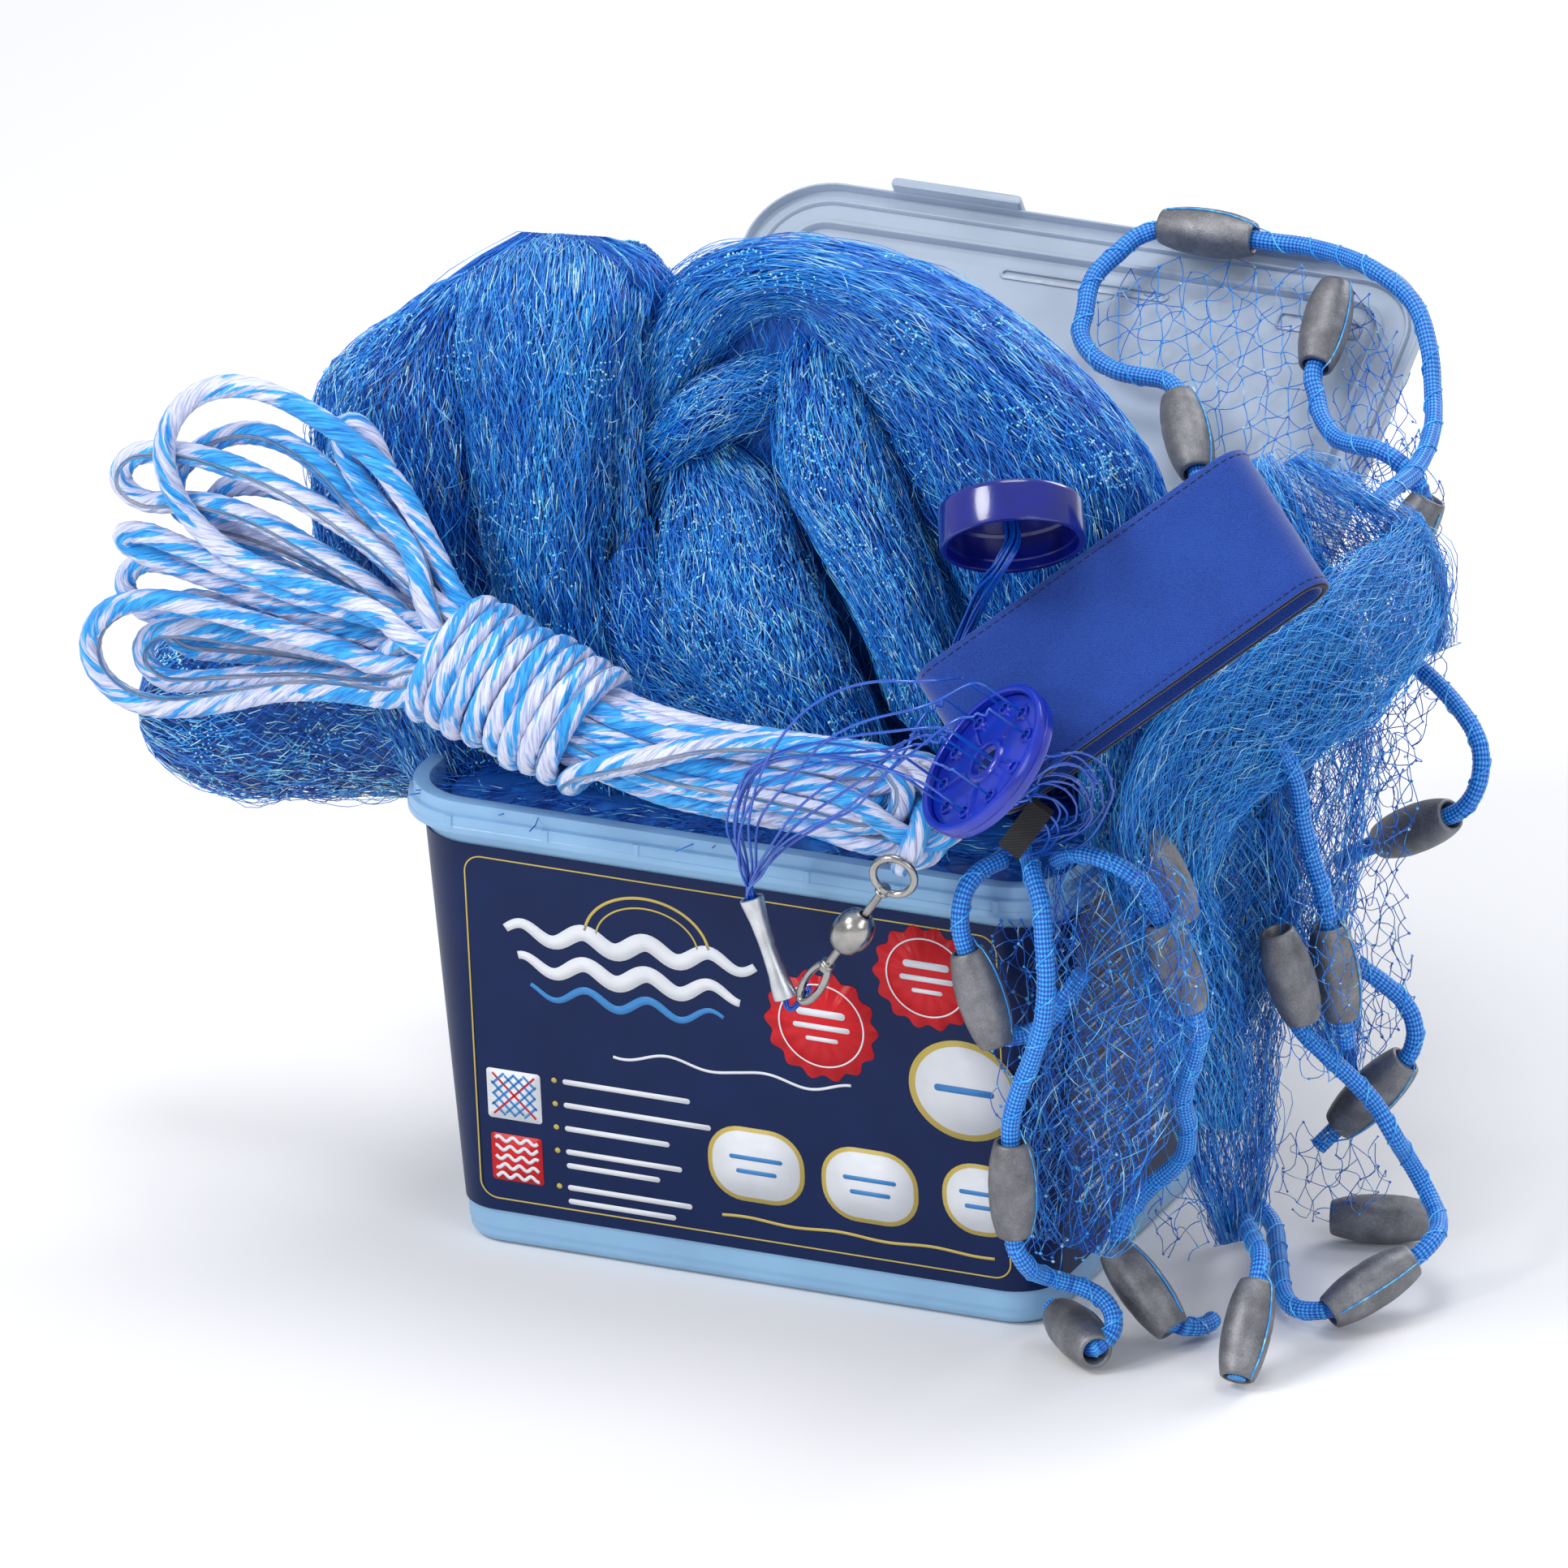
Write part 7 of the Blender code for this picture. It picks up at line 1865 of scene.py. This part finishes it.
def hand_route():
    slots = waist_slots(2 * N_LOOPS + 1)
    order = np.argsort(-slots[:, 0], kind="stable")
    ranked = slots[order]
    # upper and lower runs of each loop, paired from the waist's two halves
    mid_u = []
    for pts, y0, y1 in FAN:
        mid_u.append((pts[0][1] + pts[0][0] * 0.0, y0, y1))
    ups = ranked[:N_LOOPS]
    downs = ranked[N_LOOPS : 2 * N_LOOPS]
    tail = ranked[-1]

    def spot(slot, s):
        return HANK_A + HD * s + ACROSS * slot[0] + FACE * slot[1]

    def right_at(slot, k, scale=1.0):
        c, ra, rb = RIGHT[k]
        return c + ACROSS * slot[0] / 15.0 * ra * scale + FACE * slot[1] / 15.0 * rb

    def assign(cands, keys):
        """Front loops take front slots, high loops take high ones."""
        left = list(range(len(cands)))
        out = []
        for v, y in keys:
            want_a = np.interp(v, [640, 860], [15, -15])
            want_f = np.interp(y, [-92, -64], [13, -13])
            best = min(left, key=lambda i: (cands[i][0] - want_a) ** 2 + 1.4 * (cands[i][1] - want_f) ** 2)
            left.remove(best)
            out.append(cands[best])
        return out

    U = assign(ups, [(p[0][1], y0) for p, y0, y1 in FAN])
    D = assign(downs, [(p[-1][1], y1) for p, y0, y1 in FAN])
    rng = np.random.default_rng(8)
    pts = []
    pts += [EYE_U - AXN * 7.5 - SW * 5.5, EYE_U - SW * 1.6, EYE_U + AXN * 7.0 - SW * 4.5, at_y(1122, 1046, -119.0), at_y(1142, 1030, -114.0)]
    prev = None
    for k in range(N_LOOPS):
        u, d = U[k], D[k]
        if prev is None:
            pts += [right_at(u, 4, 0.8), right_at(u, 3), right_at(u, 2), right_at(u, 1), right_at(u, 0)]
        else:
            # fold at the right end, from the last lower run to this upper run
            reach = 3.0 + 20.0 * ((k * 5) % N_LOOPS) / N_LOOPS
            tip = RIGHT[4][0] + unit(RIGHT[4][0] - RIGHT[3][0]) * (reach - 6.0)
            f = (prev[1] + u[1]) / 2 / 15.0 * 8.0
            pts += [right_at(prev, 0), right_at(prev, 1), right_at(prev, 2), right_at(prev, 3)]
            pts += [tip - ACROSS * 11.5 - HD * 9.0 + FACE * prev[1] / 15 * 9, tip - ACROSS * 7.5 + FACE * (f * 0.6 + prev[1] / 15 * 3.6), tip + HD * 3.6 + FACE * f, tip + ACROSS * 7.5 + FACE * (f * 0.6 + u[1] / 15 * 3.6),
                    tip + ACROSS * 11.5 - HD * 9.0 + FACE * u[1] / 15 * 9]
            pts += [right_at(u, 3), right_at(u, 2), right_at(u, 1), right_at(u, 0)]
        pts += [spot(u, 46.0), spot(u, 22.0), spot(u, 2.0)]
        loop, y0, y1 = FAN[k]
        n = len(loop)
        for i, (a, b) in enumerate(loop):
            t = i / (n - 1)
            y = y0 + (y1 - y0) * t
            w = min(i, n - 1 - i, 2) / 2.0
            base = spot(u if t < 0.5 else d, 0.0)[1]
            pts.append(at_y(a, b, y * w + (0.55 * y + 0.45 * base) * (1 - w)))
        pts += [spot(d, 2.0), spot(d, 22.0), spot(d, 46.0)]
        prev = d
    # last run: to the right, back over the top and then the wraps, from right to left
    pts += [right_at(prev, 0), right_at(prev, 1), right_at(prev, 2), right_at(prev, 3)]
    tip = RIGHT[4][0] + unit(RIGHT[4][0] - RIGHT[3][0]) * 4.0
    f = prev[1] / 15 * 6
    pts += [tip - ACROSS * 11.5 - HD * 9.0 + FACE * f, tip - ACROSS * 7.5 + FACE * f, tip + HD * 3.6 + FACE * (f + 1.5), tip + ACROSS * 8 + FACE * (f + 4), tip + ACROSS * 12.0 - HD * 9.0 + FACE * (f + 7)]
    c, ra, rb = RIGHT[3]
    pts += [c + ACROSS * 13 + FACE * 13.5]
    c, ra, rb = RIGHT[2]
    pts += [c + ACROSS * 11 + FACE * 17.0]
    c, ra, rb = RIGHT[1]
    pts += [c + ACROSS * 6 + FACE * 20.0, c - HD * 9.0 - ACROSS * 4 + FACE * 21.5]
    turns, R = 8.2, 22.0
    m = int(turns * 16)
    wob = noise_fn(9, 2, 1.0)
    for i in range(m + 1):
        t = i / 16.0
        a = -2 * math.pi * t - 0.9
        along = 59.5 - t * 7.15 + 0.9 * wob(t * 1.1) + 2.2 * math.sin(a + 0.8) * (0.4 + 0.6 * abs(math.sin(t * 0.7)))
        r = R + 0.9 * wob(t * 2.3, 4.0) + (1.3 if int(t) in (3, 6) else 0.0)
        pts.append(HANK_A + HD * along + ACROSS * r * math.sin(a) + FACE * r * math.cos(a))
    a = -2 * math.pi * turns - 0.9
    e = HANK_A + HD * 4.0
    pts += [e + ACROSS * 19.0 * math.sin(a - 0.5) + FACE * 19.0 * math.cos(a - 0.5) + HD * 6.0, e + ACROSS * 17.6 * math.sin(a - 0.8) + FACE * 17.6 * math.cos(a - 0.8) + HD * 16.0]
    return pts


def settle(path, gap, rounds, keep):
    """Pushes runs of one cord apart where they would pass through each other."""
    p, home = path.copy(), path.copy()
    n = len(p)
    idx = np.arange(n)
    for r in range(rounds):
        move, hits = np.zeros_like(p), np.zeros(n)
        for k in range(0, n, 400):
            d = p[k : k + 400, None] - p[None]
            q = np.einsum("ijk,ijk->ij", d, d)
            near = (q < gap * gap) & (np.abs(idx[k : k + 400, None] - idx[None]) > keep)
            i, j = np.nonzero(near)
            if len(i):
                dist = np.sqrt(q[i, j]) + 1e-6
                push = d[i, j] / dist[:, None] * ((gap - dist) * 0.5)[:, None]
                np.add.at(move, i + k, push)
                np.add.at(hits, i + k, 1.0)
        step = move / np.maximum(hits, 1.0)[:, None]
        step[:4] = step[-4:] = 0
        sm = np.zeros_like(step)
        sm[2:-2] = (step[:-4] + step[1:-3] + step[2:-2] + step[3:-1] + step[4:]) / 5
        p = p + sm * 1.25
        lap = np.zeros_like(p)
        lap[1:-1] = (p[:-2] + p[2:]) / 2 - p[1:-1]
        p = p + 0.22 * lap
        p = p + 0.012 * (home - p)
    return p


def braid(T, S):
    """Coarse plaited yarns: long floats that lie over each other both ways round."""
    a = np.sin(4 * T + S * 0.62)
    b = np.sin(4 * T - S * 0.62 + 1.0)
    return 1.0 + 0.060 * a * b + 0.030 * np.sin(2 * T + S * 0.19) - 0.03


def hand_line():
    rough = smooth_path(hand_route(), 4.0)
    path = settle(rough, 6.5, 60, 9)
    path = smooth_path(list(path[::2]) + [path[-1]], 1.7, dense=12)
    path = ease(path, 9.0, None, rounds=10, window=3)
    wob = noise_fn(17, 3, 0.09)
    v, q, t, uv = rope(path, HAND / 2, 14, lambda T, S: braid(T, S) * (1 + 0.022 * wob(S)))
    length = path_length(path)
    obj = build("hand_line_braid_rope", v, [q, t], M_HAND, uv=uv)
    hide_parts("hand_line_loops_left", "hand_line_wraps", "hand_line_loops_right", "hand_line_end")
    print("hand line %.2f m, %d faces" % (length / 1000, len(obj.data.polygons)))
    # closeness of runs
    c = path[::4]
    idx = np.arange(len(c))
    close = 0
    for k in range(0, len(c), 300):
        d = np.linalg.norm(c[k : k + 300, None] - c[None], axis=-1)
        near = (d < 0.35 * HAND) & (np.abs(idx[k : k + 300, None] - idx[None]) > 6)
        close += int(near.any(1).sum())
    print("runs closer than 0.35 d: %.3f of the length" % (close / len(c)))


hand_line()


# ---------------------------------------------------------------- brail lines
BRAIL = 0.95
EYE_LOOP = [SLEEVE_B - SD * 10.2, SLEEVE_B - SD * 2.0, SLEEVE_B + SD * 4.0, EYE_L + 3.0 * SW - AXN * 3.5 + AXR * 0.3, EYE_L + 3.4 * SW, EYE_L + 3.0 * SW + AXN * 3.5]


def strand_bundle(name, route, count, spread, radius, mat, node, twist=0.03, seed=0, loose=0.0):
    """Several lines that run together."""
    path = smooth_path(route, 1.2)
    tan, a, b = rail_frames(path)
    s = np.concatenate([[0], np.cumsum(np.linalg.norm(np.diff(path, axis=0), axis=1))])
    rng = np.random.default_rng(seed)
    batch = Batch()
    for k in range(count):
        w = noise_fn(seed * 31 + k, 2, 0.05)
        ang = 2 * math.pi * k / max(count - 1, 1) + s * twist + 0.5 * w(s)
        r = (0.0 if k == count - 1 else spread) * (1 + loose * w(s, 3.0))
        p = path + (a * np.cos(ang)[:, None] + b * np.sin(ang)[:, None]) * np.reshape(r, (-1, 1)) * np.ones((len(path), 1))
        put(batch, tubes(p[None], radius, 7))
    obj = batch.make(name, mat)
    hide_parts(node)
    return obj


strand_bundle("brail_eye_loop", EYE_LOOP, 6, 0.72, 0.38, M_BRAIL, "brail_loop", twist=0.12, seed=2)
CAP_ROUTE = [CAP_AT - CAP_N * 3.0, CAP_AT + CAP_N * 5.0, CAP_AT + CAP_N * 11.0 - AXR * 3.0, at_y(1206, 738, -82.0), at_y(1180, 800, -77.5), at_y(1166, 850, -77.5)]
strand_bundle("cap_lines", CAP_ROUTE, 11, 1.9, 0.50, M_BRAIL, "cap_line_bundle", twist=0.02, seed=5, loose=0.35)


def horn_point(k, depth):
    """k None: the middle bore; otherwise one of the ten small holes.  depth along the horn's axis."""
    x, y, d = frame_at(-HORN_N)
    c = HORN_AT + HORN_N * depth
    if k is None:
        return c
    if isinstance(k, tuple):
        return c + x * k[0] + y * k[1]
    a = 2 * math.pi * (k + 0.5) / 10
    return c + (x * math.cos(a) + y * math.sin(a)) * 19.4


def hole_uv():
    return [(k,) + tuple(float(q) for q in uv_of(horn_point(k, 0.0))) for k in range(10)]


def brails():
    holes = sorted(hole_uv(), key=lambda h: h[1] + 0.6 * h[2])
    low_left = [h[0] for h in sorted(holes, key=lambda h: h[1] - 0.7 * h[2])[:3]]
    top = [h[0] for h in sorted(holes, key=lambda h: h[2])[:2]]
    rest = [h[0] for h in holes if h[0] not in low_left and h[0] not in top]
    left_rise = [(914, 1070, -117.0), (905, 1020, -124.0)]
    plans = [
        # (points on the sketch with depth, hole)
        (left_rise + [(912, 965, -129.0), (955, 925, -135.0), (1040, 925, -140.0), (1110, 958, -143.0)], low_left[0]),
        (left_rise + [(918, 958, -131.0), (968, 915, -137.0), (1050, 918, -142.0), (1122, 950, -145.0)], low_left[1]),
        (left_rise + [(921, 972, -127.0), (975, 930, -133.0), (1050, 940, -138.0), (1115, 972, -142.0)], low_left[2]),
        ([(916, 1066, -118.0), (909, 1012, -125.0), (925, 950, -132.0), (985, 922, -139.0), (1060, 905, -144.0), (1135, 900, -147.0)], (-1.6, 1.4)),
        ([(917, 1064, -116.0), (912, 1005, -123.0), (935, 952, -128.0), (1000, 932, -134.0), (1070, 928, -140.0), (1140, 918, -145.0)], (1.5, 1.3)),
        ([(918, 1066, -119.0), (916, 1015, -127.0), (942, 965, -134.0), (1010, 940, -141.0), (1085, 930, -147.0), (1150, 925, -149.0)], (0.2, -1.8)),
        ([(934, 1078, -118.0), (958, 1038, -124.0), (1010, 990, -132.0), (1070, 962, -139.0), (1130, 946, -145.0)], rest[0]),
        ([(935, 1076, -119.0), (965, 1040, -126.0), (1022, 1000, -134.0), (1085, 975, -141.0), (1140, 955, -147.0)], rest[1]),
        ([(937, 1080, -117.0), (972, 1046, -122.0), (1030, 1008, -130.0), (1092, 985, -137.0), (1140, 968, -143.0)], rest[2]),
        ([(933, 1076, -120.0), (950, 1036, -127.0), (992, 985, -136.0), (1052, 948, -143.0), (1120, 930, -149.0)], rest[3]),
        ([(928, 1070, -118.0), (926, 1010, -127.0), (950, 940, -135.0), (1000, 876, -140.0), (1066, 838, -141.0), (1130, 836, -143.0), (1172, 852, -147.0)], top[0]),
        ([(931, 1072, -119.0), (936, 1015, -128.0), (975, 955, -137.0), (1030, 905, -143.0), (1090, 880, -147.0), (1150, 878, -151.0)], top[1]),
    ]
    # behind the horn the lines run on in loose loops at its right and down into the tub
    behind = [
        [(1262, 975, -104.0), (1300, 940, -103.0), (1338, 958, -103.0), (1338, 1002, -101.0), (1302, 1024, -97.0), (1262, 1020, -93.0), (1230, 1040, -88.0)],
        [(1256, 980, -102.0), (1290, 925, -104.0), (1330, 925, -104.0), (1349, 965, -102.0), (1330, 1015, -99.0), (1290, 1030, -94.0), (1240, 1045, -87.0)],
        [(1250, 990, -105.0), (1282, 960, -106.0), (1312, 970, -106.0), (1322, 1000, -102.0), (1296, 1012, -97.0), (1262, 1032, -92.0), (1222, 1046, -87.0)],
        [(1254, 970, -103.0), (1280, 912, -107.0), (1316, 902, -108.0), (1344, 935, -106.0), (1340, 990, -102.0), (1300, 1018, -96.0), (1246, 1040, -88.0)],
        [(1250, 985, -103.0), (1272, 1000, -101.0), (1300, 1020, -98.0), (1270, 1042, -92.0), (1226, 1052, -87.0)],
        [(1258, 960, -104.0), (1300, 912, -106.0), (1340, 912, -106.0), (1360, 950, -104.0), (1352, 1000, -101.0), (1316, 1034, -96.0), (1262, 1050, -88.0)],
    ]
    rng = np.random.default_rng(14)
    first = True
    for i, (pts, hole) in enumerate(plans):
        ang = 2 * math.pi * i / len(plans)
        x, y, d = frame_at(SD)
        off = (x * math.cos(ang) + y * math.sin(ang)) * (1.45 if i % 3 else 0.55)
        q = [SLEEVE_A + SD * 9.0 + off, SLEEVE_A - SD * 1.5 + off]
        for j, (u, v, dep) in enumerate(pts):
            q.append(at_y(u + rng.normal(0, 3.0), v + rng.normal(0, 3.0), dep + rng.normal(0, 1.0)) + off * 0.5)
        q += [horn_point(hole, 19.0), horn_point(hole, 13.5), horn_point(hole, 3.0), horn_point(hole, -6.0), horn_point(hole, -9.5)]
        back = behind[i % len(behind)]
        gather = HORN_AT - HORN_N * 22.0 + AXR * 2.0
        q += [gather + rng.normal(0, 1.5, 3)]
        for u, v, dep in back:
            q.append(at_y(u + rng.normal(0, 5.0), v + rng.normal(0, 5.0), dep + rng.normal(0, 1.5)))
        path = smooth_path(q, 1.1)
        # the lines come to the horn from in front, clear of the room it slides in
        entry = int(np.argmin(np.linalg.norm(path - horn_point(hole, 19.0), axis=1)))
        along = (path - HORN_AT) @ HORN_N
        wide = np.linalg.norm(path - HORN_AT - along[:, None] * HORN_N, axis=1)
        lift = np.where((wide < 34.0) & (along > -14.0) & (np.arange(len(path)) < entry), np.maximum(20.0 - along, 0.0), 0.0)
        for _ in range(3):
            lift = np.maximum(np.convolve(np.pad(lift, 6, mode="edge"), np.ones(13) / 13, mode="valid"), np.where(np.arange(len(path)) < entry - 4, lift, 0.0) * 0.97)
        lift[entry:] = 0.0
        path = path + HORN_N * lift[:, None]
        soften = np.clip((np.arange(len(path)) - (entry - 75)) / 25.0, 0, 1) * (np.arange(len(path)) < entry - 1)
        for _ in range(140):
            lap = np.zeros_like(path)
            lap[1:-1] = (path[:-2] + path[2:]) / 2 - path[1:-1]
            path = path + soften[:, None] * lap
        path = resample(path, 1.1)
        along = (path - HORN_AT) @ HORN_N
        wide = np.linalg.norm(path - HORN_AT - along[:, None] * HORN_N, axis=1)
        path = ease(path, 8.0, (np.abs(along - 2.0) < 13.5) & (wide < 22.0), rounds=160, window=5)
        v_, q_, t_, _ = tubes(path[None], BRAIL / 2, 7)
        obj = build("brail_line_%02d" % (i + 1), v_, [q_, t_], M_BRAIL)
        if first:
            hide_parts("brail_bundle")
            first = False


brails()


# ---------------------------------------------------------------- stage and light
def stage():
    k = Mat("floor_card", (0.80, 0.80, 0.81), 0.9, 0.0, **{"Specular_IOR_Level": 0.1})
    n = k.noise(k.obj(), 3.0, 2.0)
    k.link(k.ramp(n, [(0.3, (0.79, 0.79, 0.80)), (0.7, (0.81, 0.81, 0.82))]), "Base Color")
    size = 6.0
    mesh = bpy.data.meshes.new("floor")
    mesh.from_pydata([(-size, -size, 0), (size, -size, 0), (size, size, 0), (-size, size, 0)], [], [(0, 1, 2, 3)])
    mesh.materials.append(k.m)
    floor = bpy.data.objects.new("floor", mesh)
    SCENE.collection.objects.link(floor)
    world = bpy.data.worlds.new("studio")
    world.use_nodes = True
    bg = world.node_tree.nodes["Background"]
    bg.inputs["Color"].default_value = (0.93, 0.95, 1.0, 1.0)
    bg.inputs["Strength"].default_value = 0.55
    SCENE.world = world
    from mathutils import Vector
    for name, at, size, power, colour in (
        ("key", (-1.1, -1.3, 1.9), 0.9, 26.0, (1.0, 0.99, 0.97)),
        ("fill", (1.7, -1.1, 1.1), 1.2, 9.0, (0.95, 0.97, 1.0)),
        ("top", (0.1, 0.2, 2.2), 1.1, 16.0, (1.0, 1.0, 1.0)),
        ("rim", (0.6, 1.6, 1.1), 0.9, 16.0, (1.0, 1.0, 1.0)),
        ("glint", (-0.5, -1.7, 0.9), 0.25, 7.0, (1.0, 1.0, 1.0)),
    ):
        data = bpy.data.lights.new(name, "AREA")
        data.shape, data.size, data.energy, data.color = "DISK", size, power, colour
        lamp = bpy.data.objects.new(name, data)
        SCENE.collection.objects.link(lamp)
        lamp.location = at
        lamp.rotation_euler = (Vector((0.0, 0.0, 0.15)) - Vector(at)).to_track_quat("-Z", "Y").to_euler()
    SCENE.view_settings.view_transform = "Standard"


stage()
